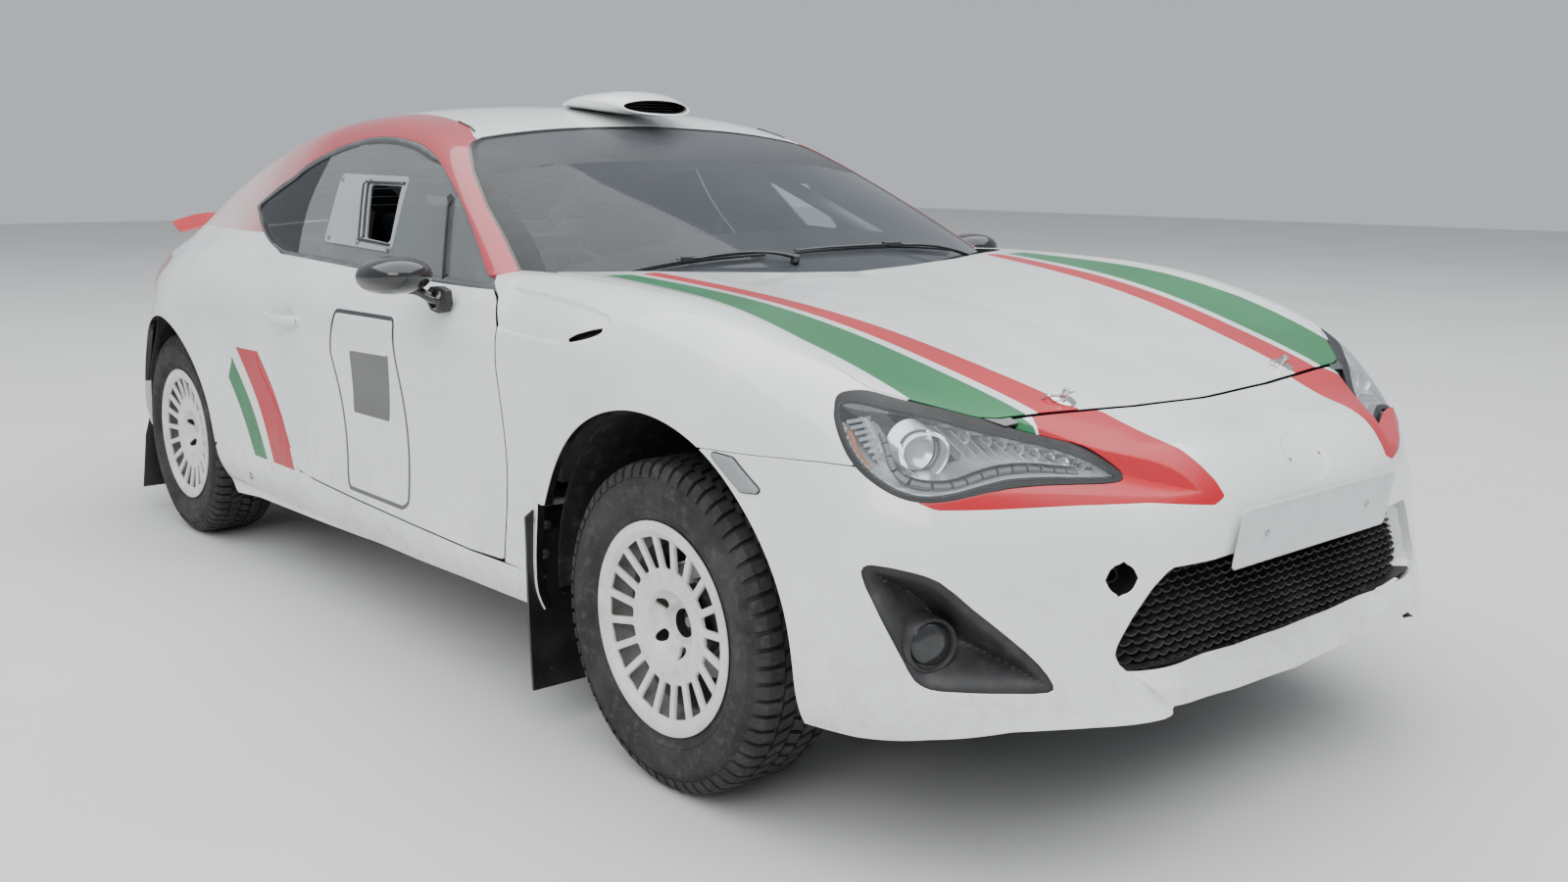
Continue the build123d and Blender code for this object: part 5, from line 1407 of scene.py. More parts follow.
pa = pa.keep(*fender_fields, lambda x, y, z: np.where(z < 0.497, y + 0.884, 1.0))
pa = crease(pa, vent_line, lambda x, y, z: vent_line(x, y, z) - 0.006)
pa = pa.keep(lambda x, y, z: -slit_line(x, y, z))
pa = pa.refit(fender_shape, 3)


def arch_edge(x, y, z):
    return np.abs(np.hypot(y - ARCH_F[0], np.maximum(z - ARCH_F[1], 0)) - ARCH_F[2]) < 0.004


pa = pa.paint(K, lambda x, y, z: 0.653 - np.abs(x), lambda x, y, z: -1.735 - y, lambda x, y, z: z - 0.70)
pa = hemmed(pa, 0.0018, 0.016, deep=K)
sheet_object("front_fender_skin_right", pa, BODY_FINISH, "body", ["front_fender_right"], "white_paint")
sheet_object("front_fender_skin_left", pa.mirrored(), BODY_FINISH, "body", ["front_fender_left"], "white_paint")

# dark back of the slot: a near-black sheet, painted shade for the space behind it
gy, gz = grid(-1.12, -0.97, 0.82, 0.89, 0.008)
pa = cast(lambda x, y, z: shell(x, y, z) + 0.020, *rays_along(0, -1, -0.3, gy, gz), 0.2, 0.62, 20)
sheet_object("fender_slot_backs", both_sides(pa), [M["dark"]], "body", [], "black_plastic")

# ---------------------------------------------------------------- doors
SEAM_BACK = mm([(585, 960), (585, 800), (591, 750), (600, 700), (599, 640), (590, 605), (552, 556), (460, 470), (400, 400), (372, 367), (330, 352)])
door_loop = np.concatenate([DOOR_FRONT[:, :], mm([(-744, 338), (-593, 331), (-312, 334), (-26, 339), (190, 346), (281, 350), (330, 356)]),
                            SEAM_BACK[::-1]])
door_in = in_side(door_loop)
gy, gz = grid(-0.76, 0.615, 0.325, 0.935, 0.0126)
pa = cast(body, *rays_along(0, -1, -0.30, gy, gz), 0.2, 0.62, 20)
HANDLE = [(300, 752), (330, 736), (380, 722), (430, 712), (480, 716), (497, 742), (490, 782), (450, 802), (400, 806), (345, 796), (308, 775)]
handle_hole = in_side(smooth_loop(mm(HANDLE), 3))


def door_shape(x, y, z):
    """A dished pocket behind the handle."""
    d = handle_hole(x, y, z)
    pocket = 0.020 * step(0.0, 0.034, d)
    return body(x, y, z) + pocket


pa = pa.keep(lambda x, y, z: door_in(x, y, z) - GAP, lambda x, y, z: belt_line(y)[..., 0] - 0.003 - z)
pa = crease(pa, handle_hole)
pa = pa.refit(door_shape, 3)
# number board: a thin outline with a blank square inside, and slanting bands by the rear edge
BOARD = round_loop(mm([(118, 700), (84, 808), (-236, 812), (-292, 380), (-262, 366), (30, 366), (44, 400)]), [0.016] * 7)
SQUARE = round_loop(mm([(4, 716), (-212, 722), (-178, 560), (22, 558)]), 0.006)
board = in_side(BOARD)
pa = pa.paint(K, lambda x, y, z: board(x, y, z) + 0.0060, lambda x, y, z: 0.0045 - board(x, y, z))
pa = pa.paint(K, in_side(SQUARE))
SLASH_RED = [(330, 300), (470, 300), (730, 660), (620, 700)]
SLASH_GREEN = [(510, 300), (600, 300), (800, 560), (760, 620)]
pa = pa.paint(R, band(SLASH_RED, "side"), lambda x, y, z: 0.655 - z).paint(G, band(SLASH_GREEN, "side"), lambda x, y, z: 0.655 - z)
pa = hemmed(pa, 0.0016, back=0.050, deep=K)
sheet_object("door_skin_right", pa, BODY_FINISH, "door_right", ["door_right"], "white_paint")
sheet_object("door_skin_left", pa.mirrored(), BODY_FINISH, "door_left", ["door_left"], "white_paint")

# ---------------------------------------------------------------- skirts
gy, gz = grid(-0.90, 0.93, 0.19, 0.36, 0.0125)
pa = cast(body, *rays_along(0, -1, -0.30, gy, gz), 0.2, 0.62, 20)
SKIRT = mm([(-905, 400), (-884, 340), (-863, 335), (-753, 331), (-593, 327), (-312, 330), (-26, 335), (190, 342), (270, 346), (281, 352), (350, 352), (900, 352), (960, 300), (875, 202),
            (705, 217), (508, 221), (267, 226), (44, 233), (-115, 238), (-303, 241), (-555, 252), (-722, 257), (-840, 261), (-905, 262)])
skirt_in = in_side(SKIRT)
JACKS = [(-0.853, 0.300), (0.700, 0.285)]


def jack_holes(x, y, z):
    return np.minimum.reduce([np.hypot(y - a, z - b) - 0.013 for a, b in JACKS])


pa = pa.keep(skirt_in, arch_cut(ARCH_F), arch_cut(ARCH_R), jack_holes, lambda x, y, z: y + 0.880).refit(body)
pa = hemmed(pa, 0.003, 0.016, deep=K)
sheet_object("side_skirt_skins", both_sides(pa), BODY_FINISH, "body", ["side_skirts"], "white_paint")
# jack sockets lined in near-black: painted shade inside the holes
cups = Shape()
for a, b in JACKS:
    for sx in (-1, 1):
        xs = float(side_sheet(np.array([a]), np.array([b]))[0])
        cups.revolve([(0, 0.0128), (-0.028, 0.0125), (-0.028, 0.0)], (sx * (xs - 0.001), a, b), (sx, 0, 0), segments=24)
cups.object("jack_sockets", [M["dark"]], "body", [], "black_plastic")

# ---------------------------------------------------------------- quarter panels
LAMP_R = [(-812, 1468, 846), (-796, 1530, 862), (-766, 1640, 866), (-700, 1760, 866), (-600, 1880, 868), (-515, 1960, 866), (-430, 2036, 866),
          (-430, 2080, 745), (-500, 2058, 742), (-600, 1998, 744), (-700, 1900, 748), (-770, 1760, 758), (-800, 1650, 776), (-812, 1560, 806)]
lamp_rear = in_tail(LAMP_R, radius=0.012)
LID = [(0, 1578), (340, 1578), (500, 1588), (585, 1620), (592, 1700), (590, 1850), (560, 1960), (520, 2060), (515, 2200), (0, 2200)]
lid_in = in_top(mm(LID + [(-x, y) for x, y in LID[-2:0:-1]]))
JOIN_Z = 0.972
gy, ga = grid(0.25, 1.95, -0.62, 1.36, 0.0140)
pa = cast(car, *rays_fan(-0.42, 0.60, gy, ga), 0.02, 0.72, 34)
TAIL_BLOCK = in_side(mm([(1640, 200), (1640, 690), (1664, 725), (2300, 728), (2300, 200)]))
quarter_fields = [lambda x, y, z: -in_side(SEAM_FILL)(x, y, z) - 0.0012, arch_cut(ARCH_R),
                  lambda x, y, z: np.where(y < 0.96, z - 0.354, z - 0.30),
                  lambda x, y, z: -TAIL_BLOCK(x, y, z) - GAP / 2,
                  lambda x, y, z: -lamp_rear(x, y, z) - 0.0012, lambda x, y, z: -lid_in(x, y, z) - 0.0022]
SEAM_FILL = np.concatenate([mm([(-900, 200), (-900, 1400), (585, 1400)]), SEAM_BACK, mm([(275, 352), (200, 200)])])
DLO_OUT = mm([(-654, 897), (-544, 937), (-473, 982), (-326, 1068), (-171, 1144), (-37, 1198), (75, 1224), (265, 1241), (417, 1234), (574, 1204),
              (705, 1162), (755, 1131), (817, 1108), (869, 1080), (917, 1056), (933, 1042), (902, 1025), (856, 1000), (787, 971), (699, 944),
              (592, 924), (540, 918), (302, 910), (68, 907), (-300, 903)])
DLO_IN = mm([(-600, 924), (-535, 953), (-462, 996), (-318, 1083), (-165, 1158), (-35, 1184), (75, 1209), (265, 1226), (415, 1219), (565, 1190),
             (690, 1149), (740, 1121), (800, 1097), (857, 1071), (898, 1052), (907, 1041), (873, 1021), (823, 996), (752, 968), (670, 945),
             (589, 932), (483, 929), (335, 928), (93, 921), (-300, 919)])
dlo_out = in_side(smooth_loop(DLO_OUT, 3))
quarter_fields.append(lambda x, y, z: -dlo_out(x, y, z) - 0.0008)
below_join = lambda x, y, z: np.where(y < 0.20, -1.0, JOIN_Z - z)
pa = pa.keep(below_join, *quarter_fields).refit(car)
pa = pa.paint(R, band(SLASH_RED, "side"), lambda x, y, z: 0.655 - z).paint(G, band(SLASH_GREEN, "side"), lambda x, y, z: 0.655 - z)
TAIL_RED = [(1560, 600), (1640, 600), (1790, 1000), (1690, 1000)]
TAIL_GREEN = [(1690, 600), (1750, 600), (1900, 1000), (1830, 1000)]
pa = pa.paint(R, band(TAIL_RED, "side")).paint(G, band(TAIL_GREEN, "side"))
join_edge = lambda x, y, z: np.abs(z - JOIN_Z) < 0.0006
pa = hemmed(pa, 0.0020, 0.016, tight=join_edge, deep=K)
sheet_object("quarter_skin_right", pa, BODY_FINISH, "body", ["quarter_panel_right"], "white_paint")
sheet_object("quarter_skin_left", pa.mirrored(), BODY_FINISH, "body", ["quarter_panel_left"], "white_paint")

# ---------------------------------------------------------------- roof, pillars and rails
SCREEN_OUT = mm([(0, -82), (180, -85), (411, -84), (520, -82), (556, -98), (583, -131), (630, -231), (678, -374), (710, -510), (745, -640), (762, -700),
                 (768, -760), (700, -842), (400, -925), (0, -965)])
screen_out = in_top(SCREEN_OUT.tolist() + [(-x, y) for x, y in SCREEN_OUT[-2:0:-1].tolist()])
REAR_OUT = mm([(0, 815), (300, 818), (420, 826), (470, 850), (505, 930), (560, 1180), (600, 1400), (600, 1470), (560, 1510), (300, 1530), (0, 1534)])
rear_out = in_top(REAR_OUT.tolist() + [(-x, y) for x, y in REAR_OUT[-2:0:-1].tolist()])
gy, ga = grid(-0.80, 1.60, -0.02, math.pi / 2 + 0.02, 0.0142)
o, d = rays_fan(0.0, 0.86, gy, ga)
pa = cast(car, o, d, 0.10, 0.95, 34)
roof_fields = [lambda x, y, z: -screen_out(x, y, z) - 0.0008, lambda x, y, z: -rear_out(x, y, z) - 0.0008, lambda x, y, z: -dlo_out(x, y, z) - 0.0008,
               lambda x, y, z: np.where(y > 0.56, z - JOIN_Z, z - (body_top(x, y) + 0.0015)), lambda x, y, z: -x,
               lambda x, y, z: -lid_in(x, y, z) - 0.0022,
               lambda x, y, z: np.interp(np.abs(x), [0, 0.36, 0.50, 0.60], [1.5535, 1.5535, 1.580, 1.640]) - y]


def body_top(x, y):
    return top_sheet(y, np.abs(x))


roof_in = lambda x, y, z: np.interp(y, [-0.075, -0.012, 0.081, 0.137, 0.191, 0.339, 0.518, 0.682, 0.784, 1.0, 1.3, 1.6],
                                     [0.536, 0.511, 0.502, 0.504, 0.531, 0.566, 0.593, 0.623, 0.640, 0.640, 0.640, 0.640])
RAIL_IN = mm([(-900, 520), (-75, 536), (-12, 511), (81, 500), (200, 496), (400, 492), (600, 484), (800, 470), (860, 470), (1600, 470)])
rail = lambda x, y, z: np.abs(x) - np.interp(y, RAIL_IN[:, 0], RAIL_IN[:, 1])
pa = pa.keep(*roof_fields).refit(car)
pa = pa.paint(F, rail, lambda x, y, z: 1.40 - y)
middle = lambda x, y, z: np.abs(x) < 0.0004
pa = hemmed(pa, 0.0015, 0.012, tight=join_edge, skip=middle)
sheet_object("roof_panel", both_sides(pa), BODY_FINISH, "body", ["roof_frame"], "white_paint")
# rain gutter between the roof's tail and the boot lid
gutter = Shape()
across = np.linspace(-0.50, 0.50, 41)
crown = house_top(np.full(across.shape, 1.545), np.abs(across))
rows = []
for x, top in zip(across, crown):
    front = float(np.interp(abs(x), [0, 0.36, 0.50], [1.5515, 1.5515, 1.577])) - 0.003
    floor_z = top - 0.033
    rows.append([(x, front, top - 0.012), (x, front + 0.001, floor_z + 0.004), (x, front + 0.005, floor_z), (x, front + 0.036, floor_z - 0.001),
                 (x, front + 0.040, floor_z + 0.002), (x, front + 0.040, floor_z - 0.006), (x, front - 0.003, floor_z - 0.006), (x, front - 0.003, top - 0.012)])
gutter.loft(rows, 0)
gutter.object("boot_gutter", [M["gloss"]], "body", [], "gloss_black", angle=40)


# ------------------------------------------------------------------ nose
FOG = [(-821, -1789, 535), (-818, -1795, 549), (-808, -1811, 552), (-776, -1864, 545), (-747, -1896, 531), (-709, -1933, 488),
       (-660, -1973, 437), (-625, -2002, 396), (-607, -2019, 362), (-607, -2021, 352), (-616, -2016, 347), (-667, -1983, 348),
       (-734, -1926, 350), (-762, -1893, 352), (-777, -1873, 364), (-788, -1855, 398), (-802, -1831, 445), (-813, -1810, 488)]
fog_line = in_nose(FOG, smooth=2)
GRILLE = [(0, 533), (-253, 534), (-298, 531), (-388, 531), (-403, 523), (-430, 500), (-468, 455), (-500, 412), (-505, 398), (-500, 382),
          (-485, 367), (-354, 356), (-162, 342), (0, 339)]
grille_side = [(-x, z) for x, z in GRILLE if x < 0]
grille_line = in_front(mm(grille_side + [(x, z) for x, z in GRILLE[::-1]]))
TOW = (-0.484, 0.520)


def tow_hole(x, y, z):
    """Round hole with four small notches, on the car's right only."""
    dx, dz = x - TOW[0], z - TOW[1]
    r, a = np.hypot(dx, dz), np.arctan2(dz, dx)
    return r - 0.027 - 0.004 * step(0.80, 0.92, np.cos(4 * a + 0.6))


lip_line = lambda x, y, z: z - np.interp(np.abs(x), [0, .16, .36, .42, .50, .60, .86], [.306, .309, .330, .345, .352, .345, .33])
turn, rise = grid(-0.14, math.pi / 2, -0.40, 0.84, 0.0100)
o, d = rays_ball((0, -1.40, 0.45), turn, rise)
pa = cast(shell, o, d, 0.30, 1.05, 34)
seam_low = lambda x, y, z: np.where(y > -1.82, -above_seam(x, y, z) - GAP / 2, 1.0)
behind_lamp = lambda x, y, z: np.where(z > 0.70, -1.80 - y + 0.0, 1.0)
nose_fields = [lambda x, y, z: -lamp_out(x, y, z) - 0.0012, lambda x, y, z: -bonnet_in(x, y, z) - GAP - 0.0024, arch_cut(ARCH_F), behind_lamp, seam_low,
               lambda x, y, z: z - np.interp(np.abs(x), LOW[:, 0], LOW[:, 1])]
LOW = mm([(0, 273), (200, 280), (340, 294), (404, 302), (408, 292), (430, 289), (554, 290), (666, 287), (758, 268), (806, 248), (900, 244)])
pa = pa.keep(lambda x, y, z: -x, *nose_fields)
notch = lambda x, y, z: np.minimum(facet_ledge(x, y, z), facet_wall(x, y, z))
notch_edge = lambda x, y, z: np.where((z > 0.6) & (np.abs(x) < 0.8), body(x, y, z) - notch(x, y, z), 0.01)
notch_foot = lambda x, y, z: np.where((z > 0.6) & (np.abs(x) < 0.7) & (notch(x, y, z) > -0.004), facet_ledge(x, y, z) - facet_wall(x, y, z), -0.01)
fin_edge = lambda x, y, z: np.where(z < 0.42, np.interp(z, LIP_EDGE[:, 0], LIP_EDGE[:, 1]) - np.abs(x), -0.01)
lip_edge = lambda x, y, z: np.where((z < 0.42) & (np.abs(x) < 0.5), z - np.interp(np.abs(x), LIP_CREASE[:, 0], LIP_CREASE[:, 1]), 0.01)
pa = crease(pa, lambda x, y, z: dish(x, y, z) - 0.92, lambda x, y, z: dish(x, y, z) - 1.04, notch_edge, notch_foot, fin_edge, lambda x, y, z: fin_edge(x, y, z) - 0.0035, lambda x, y, z: fin_edge(x, y, z) - 0.007,
            lambda x, y, z: lip_edge(x, y, z) + 0.004, lambda x, y, z: lip_edge(x, y, z) - 0.004)
pa = pa.keep(lambda x, y, z: -fog_line(x, y, z), lambda x, y, z: -grille_line(x, y, z))
pa = pa.reseat(shell, origin=(0, -1.40, 0.45))
RED_NOSE = [(-309, -1861, 752), (-292, -2014, 706), (-287, -2053, 684), (-277, -2079, 659), (-272, -2095, 634), (-300, -2094, 624),
            (-417, -2049, 637), (-530, -1991, 639), (-647, -1931, 639), (-735, -1872, 640), (-760, -1850, 652), (-730, -1870, 660),
            (-640, -1925, 700), (-505, -1893, 727), (-470, -1838, 757), (-440, -1800, 780), (-400, -1800, 790)]
red_nose = in_nose(RED_NOSE)
pa = pa.paint(R, red_nose, lambda x, y, z: nose_u(x, y) - 0.60)
pa = pa.paint(G, lambda x, y, z: np.abs(x) - 0.497, lambda x, y, z: 0.545 - np.abs(x), lambda x, y, z: z - 0.715)
pa = pa.paint(K, lambda x, y, z: np.abs(x) - 0.532, lambda x, y, z: z - 0.70)
left = pa.mirrored().keep(lambda x, y, z: 1.0 + 0 * x)
right = pa.keep(tow_hole)
skin = right.joined(left)
middle = lambda x, y, z: np.abs(x) < 0.0004
by_tow = lambda x, y, z: (x < 0) & (np.hypot(x - TOW[0], z - TOW[1]) < 0.04)
skin = hemmed(skin, 0.0018, 0.020, skip=middle, shallow=by_tow, deep=K, pale=lambda x, y, z: np.abs(grille_line(x, y, z)) < 0.02)
sheet_object("front_bumper_skin", skin, BODY_FINISH, "body", ["front_bumper"], "white_paint")

# fog lamp bowls
fog_centre = np.array([-0.749, -1.905, 0.421])


def fog_shape(x, y, z):
    d = fog_line(x, y, z)
    return shell(x, y, z) + 0.004 + 0.062 * step(-0.002, 0.075, d)


turn, rise = grid(0.34, 1.02, -0.22, 0.22, 0.0050)
o, d = rays_ball((0, -1.40, 0.45), turn, rise)
pa = cast(fog_shape, o, d, 0.30, 1.05, 34)
pa = pa.keep(lambda x, y, z: fog_line(x, y, z) + 0.004)
pa = crease(pa, lambda x, y, z: fog_line(x, y, z) - 0.020, lambda x, y, z: fog_line(x, y, z) - 0.045).reseat(fog_shape, origin=(0, -1.40, 0.45))
pa = hemmed(pa, 0.001, 0.010)
sheet_object("fog_lamp_bowls", both_sides(pa), [M["plastic"]], "body", [], "black_plastic")
fogs = Shape()
for sx in (-1, 1):
    c = Vector((sx * 0.742, -1.868, 0.421))
    ax = Vector((sx * 0.30, -0.95, 0.02)).normalized()
    outline = [(-0.030, 0.046), (0.012, 0.046), (0.016, 0.044), (0.0165, 0.041), (0.013, 0.0385), (0.006, 0.0375)]
    fogs.revolve(outline, c, ax, segments=40, m=0)
    fogs.revolve([(0.006, 0.0375), (0.0115, 0.030), (0.0140, 0.018), (0.0150, 0.0)], c, ax, segments=40, m=1)
    fogs.revolve([(0.004, 0.037), (-0.010, 0.030), (-0.020, 0.018), (-0.024, 0.0)], c, ax, segments=40, m=2)
    fogs.revolve([(-0.024, 0.009), (-0.006, 0.009), (-0.004, 0.006), (-0.004, 0.0)], c, ax, segments=20, m=3)
fogs.object("fog_lamps", [M["plastic"], M["fog_glass"], M["seal"], M["gloss"]], "body", [], "lamp_glass")

# grille: a net of flattened cells on a curved sheet behind the opening
def grille_point(x, z, back=0.040):
    px = np.array([[0.0, -1.25, z]])
    u = np.array([x])
    # the nose plan at this width, set back
    lo, hi = -2.2, -1.5
    for _ in range(22):
        mid = (lo + hi) / 2
        if body_plan(u, np.array([mid]), np.array([z]))[0] + back > 0:
            lo = mid
        else:
            hi = mid
    return Vector((x, (lo + hi) / 2, z))


NX, NZ = 39, 17
xs, zs = np.linspace(-0.535, 0.535, NX * 2 + 1), np.linspace(0.325, 0.545, 60)
gx, gz = np.meshgrid(xs, zs, indexing="ij")
flat_x, flat_z = gx.ravel(), gz.ravel()
lo, hi = np.full(flat_x.shape, -2.2), np.full(flat_x.shape, -1.5)
for _ in range(24):
    mid = (lo + hi) / 2
    out = body_plan(flat_x, mid, np.full_like(flat_z, 0.44)) + 0.034 > 0
    lo, hi = np.where(out, mid, lo), np.where(out, hi, mid)
sheet_y = Spline(xs, ((lo + hi) / 2).reshape(gx.shape)[:, 30])


def on_net(x, z, back=0.0):
    return Vector((x, float(sheet_y(np.array([x]))[0, 0]) + back + (z - 0.44) * 0.10, z))


net = Shape()
pitch_x, pitch_z = 0.0295, 0.0150
rows = int((0.545 - 0.325) / pitch_z) + 1
for k in range(rows):
    z = 0.325 + k * pitch_z
    shift = (k % 2) * pitch_x / 2
    count = int(1.05 / pitch_x)
    for q in range(count + 1):
        x = -0.525 + q * pitch_x + shift
        wide = abs(x) + 0.026 * float(step(0.30, 0.42, abs(x)))
        if loop_distance(mm(grille_side + [(a, b) for a, b in GRILLE[::-1]]), np.array([wide]), np.array([z]))[0] < -0.012 and \
           loop_distance(mm([(a, b) for a, b in GRILLE] + grille_side[::-1]), np.array([-wide]), np.array([z]))[0] < -0.012:
            continue
        # a bowed scale: deep lower lip, thin upper edge, curved like a smile
        places = []
        for t in np.linspace(-1, 1, 7):
            xx = x + t * pitch_x * 0.5
            zz = z - pitch_z * 0.46 * (1 - t * t) ** 0.8 + pitch_z * 0.27
            front = on_net(xx, zz)
            deep = on_net(xx, zz + 0.0035, 0.016)
            places.append((front, deep))
        ring = []
        for (f0, d0) in places:
            ring.append([f0 + Vector((0, -0.0005, 0.0016)), f0 + Vector((0, -0.0012, -0.0006)), f0 + Vector((0, 0.0006, -0.0017)),
                         d0 + Vector((0, 0, -0.0009)), d0 + Vector((0, 0, 0.0006))])
        net.loft([[tuple(v) for v in s] for s in ring], 0, closed=True, caps=True)
net.object("grille_net", [M["plastic"]], "body", ["bumper_grilles"], "black_plastic", weld=False, angle=50)
# the channel behind the opening and a near-black screen behind the net, painted shade for the space behind it
gx, gz = grid(-0.53, 0.53, 0.318, 0.552, 0.02)
back = Shape()
pts = [tuple(on_net(float(a), float(b), 0.034)) for a, b in zip(gx.ravel(), gz.ravel())]
back.add(pts, [tuple(t) for t in faces_of_grid(*gx.shape)], 0)
loop = round_loop(mm([(x, z) for x, z in GRILLE] + grille_side[::-1]), 0.010, 3)
full = [Vector((a, 0, b)) for a, b in loop]
ring0, ring1 = [], []
for v in full:
    g = grille_point(v.x, v.z, 0.010)
    ring0.append((v.x, g.y, v.z))
    w = float(step(0.34, 0.46, abs(v.x)))
    x1 = v.x - math.copysign(0.046 * w, v.x)
    ring1.append((x1, float(sheet_y(np.array([x1]))[0, 0]) + 0.036 - 0.018 * w, v.z))
count = len(full)
for white in (0, 1):
    quads = [(k, (k + 1) % count, count + (k + 1) % count, count + k) for k in range(count)
             if (max(abs(full[k].x), abs(full[(k + 1) % count].x)) > 0.396 and full[k].z + full[(k + 1) % count].z > 0.740) == bool(white)]
    back.add(ring0 + ring1, quads, 1 + white)
back.object("grille_channel", [M["dark"], M["plastic"], M["white"]], "body", [], "black_plastic", angle=60)

# towing eye recess, its walls near-black: painted shade inside it
tow_y = -1.75 - float(solve(shell, np.array([[TOW[0], -1.75, TOW[1]]]), np.array([[0, -1.0, 0]]), 0.0, 0.45, 30)[0])
tow = Shape()
tow_at = np.array([[TOW[0], tow_y, TOW[1]]])
aim_t = -Vector(tuple(gradient(shell, tow_at)[0])).normalized()
tow_at = Vector(tuple(tow_at[0]))
tow.revolve([(0.0035, 0.0345), (0.050, 0.0335), (0.052, 0.030), (0.052, 0.0)], tow_at, aim_t, segments=40, m=0)
tow.revolve([(0.052, 0.0150), (0.040, 0.0150), (0.038, 0.0135), (0.038, 0.0105), (0.052, 0.0100)], tow_at, aim_t, segments=32, m=1)
tow.object("towing_recess", [M["dark"], M["under_steel"]], "body", ["tow_sockets"], "black_plastic")

# ------------------------------------------------------------------ headlamps
def polar_points(points, fn, lift=0.0, around=(0, -1.40, 0.45)):
    """Places on the car's skin seen from inside through the given places."""
    p = mm(points)
    o = np.broadcast_to(np.array(around, float), p.shape)
    d = p - o
    d = d / np.linalg.norm(d, axis=1, keepdims=True)
    t = solve(fn, o, d, 0.2, 1.15, 60)
    return o + d * (t + lift)[:, None]


def lens_shape(x, y, z):
    return smax(body(x, y, z) + 0.0015, lamp_plane(x, y, z), 0.02)


turn, rise = grid(0.20, 1.26, 0.08, 0.62, 0.0085)
o, d = rays_ball((0, -1.40, 0.45), turn, rise)
lens = cast(lens_shape, o, d, 0.30, 1.05, 34).keep(lambda x, y, z: lamp_lens(x, y, z) + 0.0010).refit(lens_shape, 2)
sheet_object("headlamp_lenses", both_sides(lens), [M["lens"]], "body", ["headlights"], "lamp_glass")
# black surround, thicker over the top
rim_pa = cast(lens_shape, o, d, 0.30, 1.05, 34).keep(lambda x, y, z: lamp_out(x, y, z) - 0.0008, lambda x, y, z: -lamp_lens(x, y, z)).refit(lens_shape, 2)
rim_pa = hemmed(rim_pa, 0.0012, 0.006)
sheet_object("headlamp_surrounds", both_sides(rim_pa), [M["seal"]], "body", [], "gloss_black")


def lamp_floor(x, y, z):
    """The bowl behind the lens: shallow by the rim, deep round the projector."""
    d = lamp_lens(x, y, z)
    return lens_shape(x, y, z) + 0.010 + 0.075 * step(0.0, 0.045, d)


floor = cast(lamp_floor, o, d, 0.15, 1.05, 40).keep(lambda x, y, z: lamp_out(x, y, z) - 0.002).refit(lamp_floor, 2)
floor.m[:] = 0
floor = floor.paint(1, lambda x, y, z: 0.004 - lamp_lens(x, y, z))
sheet_object("headlamp_bowls", both_sides(floor), [M["lamp_silver"], M["seal"]], "body", [], "lamp_glass")

lamp = Shape()
centre = Vector((-0.700, -1.790, 0.722))
aim = Vector((-0.16, -0.98, 0.03)).normalized()
# projector: chrome shroud, black gap, lens ball
lamp.revolve([(-0.02, 0.047), (0.022, 0.0475), (0.030, 0.0465), (0.0315, 0.044), (0.029, 0.0415), (0.018, 0.040), (0.006, 0.0385)],
             centre, aim, segments=48, m=0)
lamp.revolve([(0.006, 0.0385), (0.004, 0.035), (0.010, 0.034)], centre, aim, segments=48, m=1)
lamp.revolve([(0.010, 0.0335), (0.020, 0.0300), (0.027, 0.0235), (0.0315, 0.015), (0.0335, 0.0)], centre, aim, segments=48, m=2)
lamp.revolve([(0.004, 0.034), (-0.006, 0.026), (-0.014, 0.0)], centre, aim, segments=40, m=0)


def on_lamp(points, lift):
    return polar_points(points, lens_shape, lift)


# light guide under the projector, in short segments, and its chrome shelf
STRIP = [(-756, -1756, 756), (-764, -1778, 734), (-771, -1799, 706), (-760, -1830, 682), (-724, -1865, 676), (-692, -1882, 682), (-654, -1895, 693),
         (-614, -1908, 698), (-576, -1923, 698), (-544, -1939, 694), (-514, -1954, 690), (-488, -1972, 686)]
strip_line = Spline(np.arange(len(STRIP)), on_lamp(STRIP, -0.020))
n_seg = 15
for k in range(n_seg):
    a = 0.15 + k * (len(STRIP) - 1.3) / n_seg
    b = a + (len(STRIP) - 1.3) / n_seg * 0.86
    pts = strip_line(np.linspace(a, b, 5))
    lamp.tube([tuple(q) for q in pts], 0.0076, 10, m=5, flat=0.85)
shelf = strip_line(np.linspace(0.0, len(STRIP) - 1, 60))
inward = np.array([0, 1.0, 0])
lower = [tuple(q + np.array([0, 0.0, -0.0105])) for q in shelf]
deep = [tuple(q + np.array([0, 0.030, -0.006])) for q in shelf]
top_edge = [tuple(q + np.array([0, 0.012, 0.0078])) for q in shelf]
lamp.loft([lower, deep], 0, closed=False)
lamp.loft([[tuple(q + np.array([0, 0.004, 0.0105])) for q in shelf], [tuple(q + np.array([0.0, 0.050, 0.020])) for q in shelf]], 0, closed=False)
# small round lights along the top of the inner end
ROW = [(-640, -1832, 748), (-612, -1855, 741), (-587, -1869, 736), (-563, -1889, 727), (-541, -1906, 718), (-521, -1924, 710), (-502, -1941, 702)]
rowp = on_lamp(ROW, -0.030)
for q in rowp:
    ax = Vector((-0.22, -0.95, 0.12)).normalized()
    lamp.revolve([(-0.014, 0.0095), (0.004, 0.0112), (0.006, 0.0108), (0.004, 0.0092), (-0.008, 0.004)], Vector(q), ax, segments=20, m=0)
    lamp.revolve([(-0.002, 0.0088), (0.002, 0.0060), (0.003, 0.0)], Vector(q), ax, segments=20, m=2)
